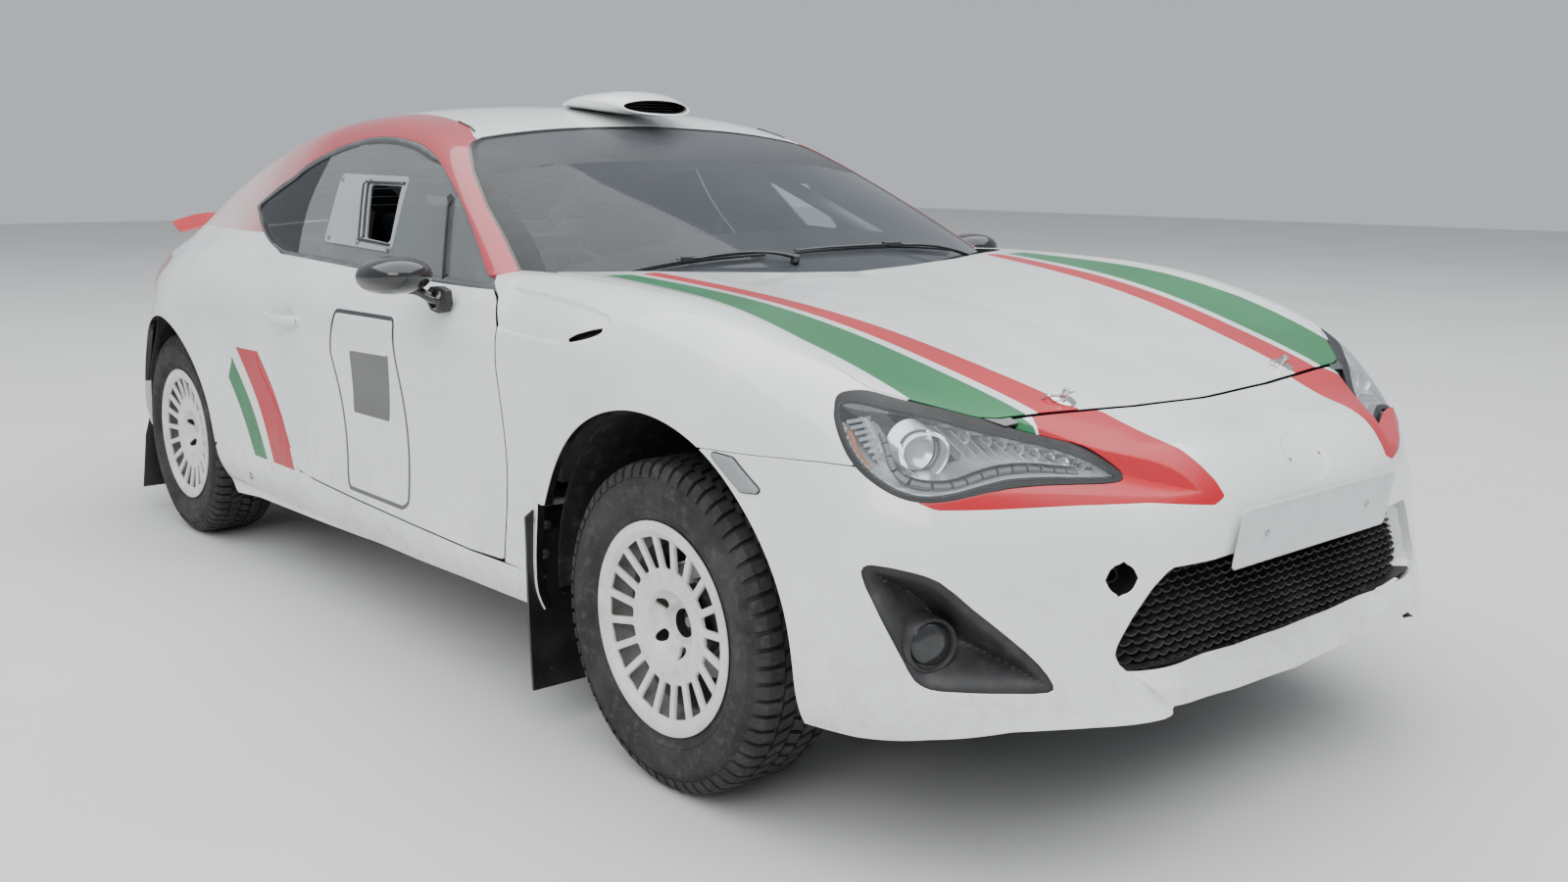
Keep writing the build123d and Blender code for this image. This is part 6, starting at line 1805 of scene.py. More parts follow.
# chrome blades between the projector and the row
for k in range(9):
    a = on_lamp([(-672 + k * 21, -1800 - k * 15, 762 - k * 7.4)], -0.016)[0]
    b = on_lamp([(-652 + k * 19, -1868 - k * 10, 706 - k * 1.2)], -0.026)[0]
    a2, b2 = a + np.array([0.004, 0.040, 0]), b + np.array([0.004, 0.036, 0])
    w = np.array([0.0022, 0.0, 0.0])
    lamp.loft([[tuple(a - w), tuple(a + w), tuple(a2 + w), tuple(a2 - w)], [tuple(b - w), tuple(b + w), tuple(b2 + w), tuple(b2 - w)]], 0)
# stepped flutes outside the projector
for k in range(7):
    a = on_lamp([(-781 + k * 1.5, -1706 - k * 9.5, 766 - k * 9)], -0.014)[0]
    b = on_lamp([(-750 + k * 2, -1722 - k * 9.5, 776 - k * 8.5)], -0.034)[0]
    w = np.array([0.0, 0.0010, 0.0028])
    a2, b2 = a + np.array([0.02, 0.012, -0.004]), b + np.array([0.02, 0.012, -0.004])
    lamp.loft([[tuple(a - w), tuple(a + w), tuple(a2 + w), tuple(a2 - w)], [tuple(b - w), tuple(b + w), tuple(b2 + w), tuple(b2 - w)]], 0)
# an orange reflector at the outer end
tip = on_lamp([(-790, -1762, 700), (-795, -1735, 730), (-789, -1712, 756), (-782, -1722, 752), (-785, -1745, 722), (-780, -1770, 698)], -0.012)
lamp.slab([tuple(q) for q in tip], (0.006, 0.006, 0), 4)
# nothing of it reaches through the lens
q = np.array(lamp.p)
for _ in range(4):
    over = np.clip(lens_shape(*q.T) + 0.0045, 0, 0.03)
    q = q - gradient(lens_shape, q) * over[:, None]
lamp.p = [tuple(a) for a in q.tolist()]
half = lamp.mirrored()
lamp.absorb(half)
lamp.object("headlamp_insides", [M["reflector"], M["gloss"], M["lens"], M["marker"], M["amber"], M["lamp_grey"]], "body", [], "lamp_glass", angle=40)

# ------------------------------------------------------------------ side markers, plates, pins
MARK = [(1480, 694), (1538, 690), (1606, 640), (1562, 638)]
mark_line = in_side(round_loop(mm([(-a, b) for a, b in MARK]), 0.004))
gy, gz = grid(-1.63, -1.46, 0.61, 0.71, 0.006)
pa = cast(lambda x, y, z: shell(x, y, z) - 0.0035, *rays_along(0, -1, -0.3, gy, gz), 0.2, 0.65, 20)
pa = pa.keep(mark_line)
pa = crease(pa, lambda x, y, z: mark_line(x, y, z) - 0.005)
pa = pa.refit(lambda x, y, z: shell(x, y, z) - 0.0035 - 0.0022 * step(0.0, 0.006, mark_line(x, y, z)), 2)
pa = hemmed(pa, 0.0012, 0.004)
base = cast(lambda x, y, z: shell(x, y, z) - 0.0016, *rays_along(0, -1, -0.3, gy, gz), 0.2, 0.65, 20).keep(lambda x, y, z: mark_line(x, y, z) + 0.0022)
base = hemmed(base, 0.001, 0.002)
pa.m[:] = 0
base.m[:] = 1
sheet_object("side_marker_lamps", both_sides(pa.joined(base)), [M["marker"], M["plastic"]], "body", [], "lamp_glass")

plates = Shape()


def plate(top, bottom, half_top, out):
    """A pressed plate with a raised rim; out is the way it faces."""
    t, b = Vector(top), Vector(bottom)
    up = (t - b).normalized()
    side = Vector((1, 0, 0))
    n = Vector(out).normalized()
    mid = (t + b) / 2
    hh = (t - b).length / 2

    def ring(w, h, r, lift):
        pts = round_loop([(-w, -h), (w, -h), (w, h), (-w, h)], r, 5)
        return [tuple(mid + side * a + up * c + n * lift) for a, c in pts]

    w = half_top
    plates.loft([ring(w - 0.001, hh - 0.001, 0.009, -0.0022), ring(w, hh, 0.010, -0.001), ring(w, hh, 0.010, 0.0012),
                 ring(w - 0.002, hh - 0.002, 0.009, 0.0022), ring(w - 0.006, hh - 0.006, 0.007, 0.0022),
                 ring(w - 0.0075, hh - 0.0075, 0.006, 0.0010)], 0)
    for sx in (-1, 1):
        plates.revolve([(0.001, 0.006), (0.0032, 0.0058), (0.0042, 0.004), (0.0044, 0.0)], mid + side * sx * 0.17 + n * 0.0005, n, segments=16, m=1)
    # bracket behind
    plates.box(tuple(mid - Vector((0.16, 0.0, 0.03)) - n * 0.020 - Vector((0, 0.006, 0))), tuple(mid + Vector((0.16, 0.0, 0.03)) - n * 0.006), 2)


plate((0, -2.1255, 0.614), (0, -2.1075, 0.506), 0.258, (0, -1, -0.17))
plate((0, 2.127, 0.60), (0, 2.117, 0.490), 0.258, (0, 1, -0.09))
plates.object("number_plate_blanks", [M["plate"], M["satin"], M["plastic"]], "body", ["number_plates"], "plate_enamel", angle=30)

# two small holes in the bare dish
holes = Shape()
hp = polar_points([(-48, -2080, 666), (48, -2080, 666)], shell, 0.0002)
for q in hp:
    ax = Vector(tuple(gradient(shell, q[None, :])[0])).normalized()
    holes.revolve([(-0.004, 0.0030), (0.0004, 0.0030), (0.0006, 0.0020), (-0.002, 0.0016), (-0.002, 0.0)], Vector(tuple(q)), ax, segments=16, m=0)
holes.object("dish_holes", [M["seal"]], "body", [], "black_plastic")

pins = Shape()
for sx in (-1, 1):
    c = Vector((sx * 0.357, -1.815, 0))
    c.z = float(top_sheet(np.array([c.y]), np.array([abs(c.x)]))[0]) + 0.0005
    up = Vector((0, -0.35, 0.94)).normalized()
    pins.revolve([(0.0, 0.0), (0.0, 0.024), (0.0016, 0.0245), (0.003, 0.022), (0.0032, 0.0)], c, up, start=(1, 0, 0), segments=32, m=0)
    pins.revolve([(0.002, 0.0062), (0.019, 0.0062), (0.023, 0.0045), (0.024, 0.0)], c, up, start=(1, 0, 0), segments=20, m=0)
    # spring clip through the pin, with its round grip
    z1 = c + up * 0.011
    path = [z1 + Vector((-0.030 * sx, 0.004, 0.0015)), z1 + Vector((-0.012 * sx, 0.0015, 0)), z1, z1 + Vector((0.016 * sx, 0, 0)), z1 + Vector((0.027 * sx, 0.004, 0)),
            z1 + Vector((0.0335 * sx, 0.011, 0)), z1 + Vector((0.030 * sx, 0.019, 0)), z1 + Vector((0.020 * sx, 0.0205, 0)),
            z1 + Vector((0.006 * sx, 0.0165, 0)), z1 + Vector((-0.012 * sx, 0.0105, 0)), z1 + Vector((-0.030 * sx, 0.0115, 0))]
    curve = Spline(np.arange(len(path)), np.array([tuple(q) for q in path]))(np.linspace(0, len(path) - 1, 50))
    pins.tube([tuple(q) for q in curve], 0.0021, 8, m=0)
    lanyard = [z1 + Vector((0.033 * sx, 0.012, 0)), z1 + Vector((0.045 * sx, 0.018, -0.006)), z1 + Vector((0.062 * sx, 0.016, -0.0095)), z1 + Vector((0.072 * sx, 0.008, -0.010))]
    pins.tube([tuple(q) for q in Spline(np.arange(4), np.array([tuple(q) for q in lanyard]))(np.linspace(0, 3, 20))], 0.0011, 6, m=1)
pins.object("bonnet_pins", [M["chrome"], M["steel"]], "bonnet", [], "forged_steel")


# ------------------------------------------------------------------ rear bumper, with cut-outs for the pipes and a plate recess
def plate_well(x, y, z):
    return np.minimum(np.minimum(0.292 - np.abs(x), z - 0.536), 0.672 - z)


EXIT = [(-400, 268), (-408, 330), (-440, 368), (-520, 372), (-560, 340), (-572, 268)]
exits = in_front(mm([(-a, b) for a, b in EXIT])) if False else in_front(mm(EXIT))


def rear_shape(x, y, z):
    well = 0.010 * step(0.0, 0.016, plate_well(x, y, z)) * np.where(y > 1.5, 1.0, 0.0)
    low = 0.020 * step(0.415, 0.395, z) * step(0.640, 0.610, np.abs(x)) * np.where(y > 1.6, 1.0, 0.0)
    return body(x, y, z) + well + low


turn, rise = grid(-0.10, math.pi / 2 + 0.06, 0.24, 0.76, 0.0120)


def rays_tail(turn, rise):
    o = np.stack([np.zeros(turn.shape), np.full(turn.shape, 1.20), rise], -1)
    d = np.stack([-np.cos(turn), np.sin(turn), np.zeros(turn.shape)], -1)
    return o, d


o, d = rays_tail(turn, rise)
pa = cast(rear_shape, o, d, 0.45, 1.12, 40)
tail_low = lambda x, y, z: z - np.interp(np.abs(x), [0, 0.62, 0.70, 0.80, 0.9], [0.275, 0.275, 0.285, 0.295, 0.300])
pa = pa.keep(lambda x, y, z: TAIL_BLOCK(x, y, z) - GAP / 2, arch_cut(ARCH_R), tail_low, lambda x, y, z: -exits(x, y, z) - np.where(y > 1.7, 0, 1.0), lambda x, y, z: -x)
pa = crease(pa, lambda x, y, z: 0.405 - z).refit(rear_shape, 2)
pa = pa.paint(K, lambda x, y, z: 0.405 - z, lambda x, y, z: 0.635 - np.abs(x), lambda x, y, z: y - 1.7)
pa = hemmed(pa, 0.0022, 0.018, skip=middle)
sheet_object("rear_bumper_skin", both_sides(pa), BODY_FINISH, "body", ["rear_bumper"], "white_paint")

# ------------------------------------------------------------------ tail lamps
lamp_skin = lifted_body = lambda x, y, z: car(x, y, z) - 0.0006
turn2, rise2 = grid(-0.05, math.pi / 2, 0.70, 0.90, 0.008)
pa = cast(lamp_skin, *rays_tail(turn2, rise2), 0.30, 1.12, 40)
off_lid = lambda x, y, z: np.where(y > 1.85, np.abs(x) - 0.5718, 1.0)
pa = pa.keep(lambda x, y, z: lamp_rear(x, y, z) + 0.0026, off_lid)
RING = [(-705, 1900, 805), (-640, 1965, 805)]
pa = pa.refit(lamp_skin, 2)
pa = pa.paint(1, lambda x, y, z: np.minimum(0.0210 - np.abs(z - 0.806), np.minimum(np.abs(x) - 0.640, 0.735 - np.abs(x))))
pa = hemmed(pa, 0.0012, 0.010)
sheet_object("tail_lamp_lenses", both_sides(pa), [M["tail"], M["marker"]], "body", ["tail_lamps"], "red_lens")
inner = cast(lambda x, y, z: car(x, y, z) + 0.020, *rays_tail(turn2, rise2), 0.30, 1.12, 40)
inner = inner.keep(lambda x, y, z: lamp_rear(x, y, z) + 0.0040, off_lid)
sheet_object("tail_lamp_backs", both_sides(inner), [M["reflector"]], "body", [], "red_lens")

# ------------------------------------------------------------------ boot lid
gx, gy = grid(-0.62, 0.0, 1.54, 2.14, 0.0125)
lid_top = cast(car, *rays_along(2, 1, 0.66, gx, gy), 0.05, 0.42, 24)
lid_top = lid_top.keep(lambda x, y, z: lid_in(x, y, z) - GAP / 2, lambda x, y, z: -x)
ok_top = lambda x, y, z: z - (0.800 + 0.0 * x)
lid_top = lid_top.keep(ok_top).refit(car)
turn3, rise3 = grid(0.50, math.pi / 2 + 0.03, 0.72, 0.90, 0.009)
lid_back_pa = cast(car, *rays_tail(turn3, rise3), 0.45, 1.05, 40)
edge_split = lambda x, y, z: lid_ridge(x, y, z)


def lid_ridge(x, y, z):
    return z - 0.880


lid_back_pa = lid_back_pa.keep(lambda x, y, z: 0.880 - z, lambda x, y, z: z - 0.7315,
                               lambda x, y, z: np.where(z > 0.852, lid_in(x, y, z) - GAP / 2, 0.570 - np.abs(x)), lambda x, y, z: -x)
lid_top = lid_top.keep(lambda x, y, z: z - 0.880)
lid_pa = lid_top.joined(lid_back_pa)
lid_pa = lid_pa.paint(R, band([(-330, 1500), (-150, 1500), (-190, 2300), (-420, 2300)], "top")).paint(G, band([(-440, 1500), (-350, 1500), (-440, 2300), (-560, 2300)], "top"))
tight_seam = lambda x, y, z: np.abs(z - 0.880) < 0.0008
lid_pa = hemmed(lid_pa, 0.0016, 0.016, skip=middle, tight=tight_seam)
sheet_object("boot_lid_skin", both_sides(lid_pa), BODY_FINISH, "boot_lid", ["boot_lid"], "white_paint")

# ------------------------------------------------------------------ boot spoiler
sp = Shape()
TIPS = [(0.0, 1.975, 0.9640, 0.088, 0.0130), (0.20, 1.980, 0.9645, 0.086, 0.0130), (0.40, 1.988, 0.9655, 0.082, 0.0125), (0.467, 1.992, 0.9650, 0.080, 0.0120),
        (0.520, 1.998, 0.9560, 0.074, 0.0110), (0.560, 2.003, 0.9450, 0.064, 0.0095), (0.585, 2.006, 0.9380, 0.052, 0.0070), (0.592, 2.007, 0.9365, 0.044, 0.0030)]
ts = Spline([r[0] for r in TIPS], [r[1:] for r in TIPS])
sections = []
xs = np.concatenate([np.linspace(-0.592, -0.40, 16), np.linspace(-0.38, 0.38, 20), np.linspace(0.40, 0.592, 16)])
for x in xs:
    yc, zc, chord, thick = ts(np.array([abs(x)]))[0]
    ring = []
    for k in range(24):
        t = 2 * math.pi * k / 24
        u = math.cos(t)
        h = thick * math.sin(t) * (0.62 + 0.38 * (-u)) * 0.62
        ring.append((x, yc + chord * u, zc + h + 0.014 * u + 0.006 * max(0, u) ** 2))
    sections.append(ring)
sp.loft(sections[::-1], 0)
for sx in (-1, 1):
    st = []
    for zz, w, c in ((0.9070, 0.012, 0.062), (0.925, 0.009, 0.055), (0.945, 0.008, 0.050), (0.958, 0.012, 0.054)):
        ring = []
        for k in range(20):
            t = 2 * math.pi * k / 20
            ring.append((sx * 0.420 + w * math.sin(t), 1.982 + c * math.cos(t), zz))
        st.append(ring)
    sp.loft(st, 0)
sp.object("boot_spoiler_skin", [M["red"]], "boot_lid", ["boot_spoiler"], "red_composite", angle=40)


# ------------------------------------------------------------------ wheels, outboard towards +x, centred on the tyre
WHEEL_FACE = [(.0310, .0285), (.0316, .0330), (.0400, .0365), (.0450, .0410), (.0468, .0480), (.0490, .0550), (.0560, .0615), (.0650, .0670),
              (.0694, .0745), (.0708, .0880), (.0712, .1000), (.0722, .1100), (.0752, .1280), (.0790, .1500), (.0818, .1660), (.0830, .1745),
              (.0858, .1790), (.0900, .1828), (.0919, .1880), (.0921, .1985)]
face_x = Spline([b for a, b in WHEEL_FACE], [[a] for a, b in WHEEL_FACE])


def wheel_mesh():
    """White face with twenty windows, a bowl with five bolt holes, a broad lip, the barrel and the brake disc."""
    radii = np.concatenate([np.linspace(.0285, .058, 10), np.linspace(.0612, .084, 7), np.linspace(.089, .168, 16), np.linspace(.1712, .1985, 11)])
    na = 220
    ang = np.linspace(0, 2 * math.pi, na, endpoint=False)
    rr, aa = np.meshgrid(radii, ang, indexing="ij")
    rows = np.interp(rr, [b for a, b in WHEEL_FACE], [a for a, b in WHEEL_FACE])
    xx = 0.35 * rows + 0.65 * face_x(rr)[..., 0]
    p = np.stack([xx, rr * np.cos(aa), rr * np.sin(aa)], -1).reshape(-1, 3)
    i, j = np.meshgrid(np.arange(len(radii) - 1), np.arange(na), indexing="ij")
    a = (i * na + j).ravel()
    b, c, d = ((i + 1) * na + j).ravel(), ((i + 1) * na + (j + 1) % na).ravel(), (i * na + (j + 1) % na).ravel()
    f = np.concatenate([np.stack([a, b, c], 1), np.stack([a, c, d], 1)])
    slope = np.gradient(xx[:, 0], radii)
    n = np.stack([np.ones_like(rr), -slope[:, None] * np.cos(aa), -slope[:, None] * np.sin(aa)], -1).reshape(-1, 3)
    n /= np.linalg.norm(n, axis=1, keepdims=True)
    pa = Patch(p, n, f)
    window = round_loop([(.1090, -.0124), (.1090, .0124), (.1705, .0222), (.1752, .0200), (.1752, -.0200), (.1705, -.0222)],
                        [.006, .006, .005, .004, .004, .005], 5)
    step_a = 2 * math.pi / 20

    def windows(x, y, z):
        r, t = np.hypot(y, z), np.arctan2(z, y)
        t = (t + step_a / 2) % step_a - step_a / 2
        return -loop_distance(window, r * np.cos(t), r * np.sin(t))

    def bolts(x, y, z):
        out = np.full(len(y), 1.0)
        for k in range(5):
            t = math.radians(72 * k + 18)
            out = np.minimum(out, np.hypot(y - .052 * math.cos(t), z - .052 * math.sin(t)) - .0135)
        return out

    pa = pa.keep(windows, bolts)
    rim = lambda x, y, z: (np.hypot(y, z) > .195) | (np.hypot(y, z) < .031)
    pa = hemmed(pa, 0.0024, 0.0050, skip=rim, turn=3)
    tris = Shape()
    tris.p = [tuple(q) for q in pa.p]
    tris.f = [tuple(t) for t in pa.f.tolist()]
    tris.m = [0] * len(tris.f)
    # lip, flange and barrel; the barrel and the step inside the lip are dark grey, painted shade with real brake-dust
    # stains
    tris.revolve([(.0919, .1985), (.0916, .2035), (.0902, .2056), (.0880, .2058), (.0865, .2030), (.0858, .1990)], axis=(1, 0, 0), segments=120, m=0)
    tris.revolve([(.0850, .1805), (.070, .1805), (.056, .1790), (.044, .1745), (.036, .1650), (-.032, .1645), (-.052, .178), (-.080, .182), (-.0905, .192), (-.0915, .204),
                  (-.0880, .2055), (-.0860, .198)], axis=(1, 0, 0), segments=96, m=1)
    # centre bore, hub cap end, disc and bell; the bore and the bolt holes are lined in near-black, painted shade inside
    # them
    tris.revolve([(.0310, .0285), (.0295, .0272), (.010, .0270), (.010, .0)], axis=(1, 0, 0), segments=48, m=2)
    tris.revolve([(.022, .0), (.022, .010), (.020, .012), (.010, .012)], axis=(1, 0, 0), segments=20, m=3)
    for k in range(5):
        t = math.radians(72 * k + 18)
        c = (0.012, .052 * math.cos(t), .052 * math.sin(t))
        tris.revolve([(.019, .0128), (.004, .0125), (.004, .0)], c, (1, 0, 0), segments=20, m=2)
        tris.revolve([(.004, .0100), (.013, .0100), (.0145, .0085), (.0145, .0060), (.011, .0055), (.011, .0)], c, (1, 0, 0), segments=6, m=3)
    tris.revolve([(-.004, .070), (-.004, .076), (-.020, .078), (-.020, .1165), (-.022, .1180), (-.028, .1180), (-.028, .115), (-.034, .115),
                  (-.034, .1180), (-.040, .1180), (-.044, .1165), (-.044, .070)], axis=(1, 0, 0), segments=72, m=4)
    tris.revolve([(.012, .0), (.012, .066), (-.004, .070)], axis=(1, 0, 0), segments=48, m=3)
    return tris


# ---------------------------------------------------------------- tyres
CARCASS = [(0, .3122), (.030, .3118), (.055, .3106), (.070, .3078), (.080, .3026), (.0872, .2950), (.0925, .2880), (.0938, .2850), (.0950, .2838), (.0964, .2826),
           (.0962, .2806), (.0975, .2790), (.0990, .2778), (.0986, .2756), (.0996, .2738), (.1009, .2726), (.1004, .2704), (.1016, .2620), (.1019, .2540), (.1012, .2460), (.0994, .2380), (.0966, .2305),
           (.0944, .2275), (.0952, .2255), (.0938, .2238), (.0912, .2205), (.0884, .2150), (.0868, .2100), (.0850, .2060), (.0820, .2020)]


def tyre_mesh():
    out = Shape()
    inner = [(.082, .202), (.080, .2000)]
    prof = CARCASS + inner[1:]
    loop = prof + [(-a, b) for a, b in prof[::-1][:-1]]
    out.revolve(loop, axis=(1, 0, 0), segments=116, m=0)
    pitches = 62
    # height of the rubber along a line over the shoulder: x, r of the base and how far the block stands out
    side = [(.0545, .3100, .0090, 0, 1), (.066, .3070, .0108, .1, 1), (.0755, .3040, .0108, .35, 1), (.0832, .2985, .0082, .7, .8), (.0885, .2925, .0054, .9, .5),
            (.0918, .2880, .0030, 1, .35)]
    for k in range(pitches):
        a0 = 2 * math.pi * k / pitches
        for sx in (-1, 1):
            a_mid = a0 + (math.pi / pitches if sx < 0 else 0)
            long = 1.0 if k % 2 else 0.93
            secs = []
            for q, (x, r, h, out_w, up_w) in enumerate(side):
                half = math.pi / pitches * (0.80 if q < 4 else 0.76) * (0.86 if q == 0 else 1) * long
                lean = 0.010 * (q - 2) / r * sx * 0.15
                ring = []
                for da, hh in ((-half, -0.002), (-half * 0.93, h), (half * 0.93, h), (half, -0.002)):
                    nx, nr = math.sin(out_w * math.pi / 2), math.cos(out_w * math.pi / 2)
                    a = a_mid + da + lean
                    rr = min(r + nr * hh, .3194)
                    ring.append((sx * (x + nx * hh), rr * math.cos(a), rr * math.sin(a)))
                secs.append(ring if sx > 0 else ring[::-1])
            out.loft(secs, 0)
        # three rows down the middle, slanted one way and then the other
        for row, (x0, x1, phase, skew) in enumerate(((-.0480, -.0190, .15, .30), (-.0140, .0140, .62, -.34), (.0190, .0480, .15, .30))):
            secs = []
            for q in range(4):
                x = x0 + (x1 - x0) * q / 3
                a_mid = a0 + 2 * math.pi / pitches * (phase + skew * (q / 3 - .5))
                half = math.pi / pitches * 0.76
                r = .3108 + (.0010 if row == 1 else 0)
                top = .3194 - abs(x) * 0.02
                inset = 0.0008 if q in (0, 3) else 0
                ring = [(x, r * math.cos(a_mid - half), r * math.sin(a_mid - half)), (x + (inset if q == 0 else -inset), top * math.cos(a_mid - half * .93), top * math.sin(a_mid - half * .93)),
                        (x + (inset if q == 0 else -inset), top * math.cos(a_mid + half * .93), top * math.sin(a_mid + half * .93)), (x, r * math.cos(a_mid + half), r * math.sin(a_mid + half))]
                secs.append(ring)
            out.loft(secs, 0)
    # small raised bars round the sidewall
    for sx in (-1, 1):
        for k in range(8):
            a = 2 * math.pi * k / 8 + 0.2
            for q in range(3):
                a1 = a + q * 0.020
                out.tube([(sx * .1000, .2445 * math.cos(a1), .2445 * math.sin(a1)), (sx * .1010, .2520 * math.cos(a1), .2520 * math.sin(a1))], 0.0016, 6, m=0)
    return out


wheel_base, tyre_base = wheel_mesh(), tyre_mesh()
WHEEL_FINISH = [M["wheel"], M["wheel_in"], M["dark"], M["steel"], M["disc"]]
for name, side, y in (("front_left", 1, -1.285), ("front_right", -1, -1.285), ("rear_left", 1, 1.285), ("rear_right", -1, 1.285)):
    turn = Matrix.Rotation({"front_left": 0.10, "front_right": 0.33, "rear_left": 0.7, "rear_right": 0.16}[name], 4, "X")
    place_at = Matrix.Translation((side * 0.762, y, 0.320)) @ Matrix.Scale(side, 4, (1, 0, 0)) @ turn
    Shape().absorb(wheel_base, place_at).object("wheel_rim_" + name, WHEEL_FINISH, "wheel_" + name, ["wheel_" + name], "wheel_paint", angle=38)
    Shape().absorb(tyre_base, place_at).object("gravel_tyre_" + name, [M["tyre"]], "wheel_" + name, ["tyre_" + name], "tyre_rubber", angle=30)


# ------------------------------------------------------------------ windscreen
def lifted(fn, by):
    return lambda x, y, z: fn(x, y, z) - by


SCREEN_IN = mm([(0, -306), (216, -304), (429, -282), (531, -273), (598, -263), (606, -290), (630, -411), (656, -550), (700, -690), (728, -765), (660, -830), (400, -900), (0, -940)])
screen_in = in_top(SCREEN_IN.tolist() + [(-x, y) for x, y in SCREEN_IN[-2:0:-1].tolist()])
STRIP_LOW = mm([(-900, -258), (-600, -262), (-531, -273), (-429, -282), (-216, -302), (0, -308), (216, -302), (429, -282), (531, -273), (600, -262), (900, -258)])
strip_edge = lambda x, y, z: y - np.interp(x, STRIP_LOW[:, 0], STRIP_LOW[:, 1])
glass_skin = lifted(house, -0.0030)
gx, gy = grid(-0.80, 0.80, -0.98, -0.06, 0.014)
pa = cast(glass_skin, *rays_along(2, 1, 0.74, gx, gy), 0.06, 0.62, 30)
pa = pa.keep(lambda x, y, z: screen_out(x, y, z) - 0.0040, lambda x, y, z: z - body_top(x, y) + 0.012)
pa = crease(pa, screen_in, strip_edge)
pa = pa.refit(glass_skin, 2)
pa = pa.paint(1, lambda x, y, z: -screen_in(x, y, z)).paint(2, strip_edge, lambda x, y, z: screen_out(x, y, z) - 0.020)
pa = hemmed(pa, 0.0010, 0.004)
sheet_object("windscreen_glass", pa, [M["screen"], M["frit"], M["strip"]], "body", ["windscreen"], "clear_glass")
# rubber round it
pa = cast(lifted(house, -0.0012), *rays_along(2, 1, 0.74, gx, gy), 0.06, 0.62, 30)
pa = pa.keep(lambda x, y, z: screen_out(x, y, z) + 0.0004, lambda x, y, z: 0.0062 - screen_out(x, y, z), lambda x, y, z: z - body_top(x, y) + 0.004)
pa = hemmed(pa.refit(lifted(house, -0.0012), 2), 0.0008, 0.006)
sheet_object("windscreen_rubber", pa, [M["gloss"]], "body", [], "gloss_black")

# ------------------------------------------------------------------ rear window
gx, gy = grid(-0.66, 0.66, 0.80, 1.60, 0.014)
pa = cast(glass_skin, *rays_along(2, 1, 0.70, gx, gy), 0.06, 0.64, 30)
pa = pa.keep(lambda x, y, z: rear_out(x, y, z) - 0.0040, lambda x, y, z: -lid_in(x, y, z) - 0.0022)
pa = crease(pa, lambda x, y, z: rear_out(x, y, z) - 0.038).refit(glass_skin, 2)
pa = pa.paint(1, lambda x, y, z: 0.038 - rear_out(x, y, z))
pa = hemmed(pa, 0.0010, 0.004)
sheet_object("rear_window_glass", pa, [M["dark_glass"], M["frit"]], "body", ["rear_window"], "clear_glass")
pa = cast(lifted(house, -0.0010), *rays_along(2, 1, 0.70, gx, gy), 0.06, 0.64, 30)
pa = pa.keep(lambda x, y, z: rear_out(x, y, z) + 0.0004, lambda x, y, z: 0.0062 - rear_out(x, y, z), lambda x, y, z: -lid_in(x, y, z) - 0.0022)
sheet_object("rear_window_rubber", hemmed(pa.refit(lifted(house, -0.0010), 2), 0.0008, 0.006), [M["gloss"]], "body", [], "gloss_black")
# fine heating wires inside it
wires = Shape()
for k in range(11):
    yk = 0.90 + k * 0.056
    half = 0.42 + 0.10 * min(k / 8, 1)
    xs = np.linspace(-half, half, 25)
    zs = house_top(np.full(25, yk), np.abs(xs)) - 0.010
    wires.tube([(x, yk, z) for x, z in zip(xs, zs)], 0.0007, 4)
wires.object("heater_wires", [M["satin"]], "body", [], "forged_steel")

# ------------------------------------------------------------------ side windows
dlo_in = in_side(smooth_loop(DLO_IN, 3))
REAR_LINE = mm([(489, 900), (489, 933), (530, 1000), (555, 1061), (560, 1100), (563, 1240)])
rear_line = lambda x, y, z: np.interp(z, REAR_LINE[:, 1], REAR_LINE[:, 0]) - y
HATCH = round_loop(mm([(418, 1143), (21, 1138), (-56, 958), (344, 967)]), 0.012)
OPEN = round_loop(mm([(217, 1119), (34, 1117), (-37, 977), (108, 984)]), 0.007)
hatch, hatch_open = in_side(HATCH), in_side(OPEN)
gy, ga = grid(-0.70, 1.00, -0.55, 1.45, 0.0115)
side_rays = rays_fan(-0.30, 0.98, gy, ga)
base_pa = cast(house, *side_rays, 0.02, 0.62, 30)
DOOR_BAND = lambda x, y, z: 0.596 - y
BODY_BAND = lambda x, y, z: y - 0.600
for nm, fields, body_name in (("door_window", [DOOR_BAND], "door"), ("quarter_window", [BODY_BAND], "body")):
    pa = base_pa.keep(lambda x, y, z: dlo_out(x, y, z) - 0.0010, lambda x, y, z: -dlo_in(x, y, z), *fields)
    pa = crease(pa, lambda x, y, z: dlo_in(x, y, z) + 0.0045)
    surround = lambda x, y, z: house(x, y, z) + 0.0008 - 0.0022 * step(0.0, 0.004, dlo_out(x, y, z)) * step(0.0, 0.004, -dlo_in(x, y, z) - 0.0045)
    pa = pa.refit(surround, 2)
    pa = pa.paint(1, lambda x, y, z: dlo_in(x, y, z) + 0.0045, lambda x, y, z: z - 0.945)
    pa = hemmed(pa, 0.0012, 0.008)
    for side, sheet in (("right", pa), ("left", pa.mirrored())):
        sheet_object(nm + "_rubber_" + side, sheet, [M["trim"], M["gloss"]], "body" if body_name == "body" else "door_" + side, [], "gloss_black")
side_glass = lifted(house, -0.0042)
pa = base_pa.keep(lambda x, y, z: dlo_in(x, y, z) + 0.0030, rear_line, lambda x, y, z: -hatch_open(x, y, z))
pa = hemmed(pa.refit(side_glass, 2), 0.0008, 0.003)
for side, sheet in (("right", pa), ("left", pa.mirrored())):
    sheet_object("door_polycarbonate_" + side, sheet, [M["side_glass"]], "door_" + side, ["door_glass_" + side], "clear_glass")
pa = base_pa.keep(lambda x, y, z: dlo_in(x, y, z) + 0.0030, lambda x, y, z: -rear_line(x, y, z) - 0.006)
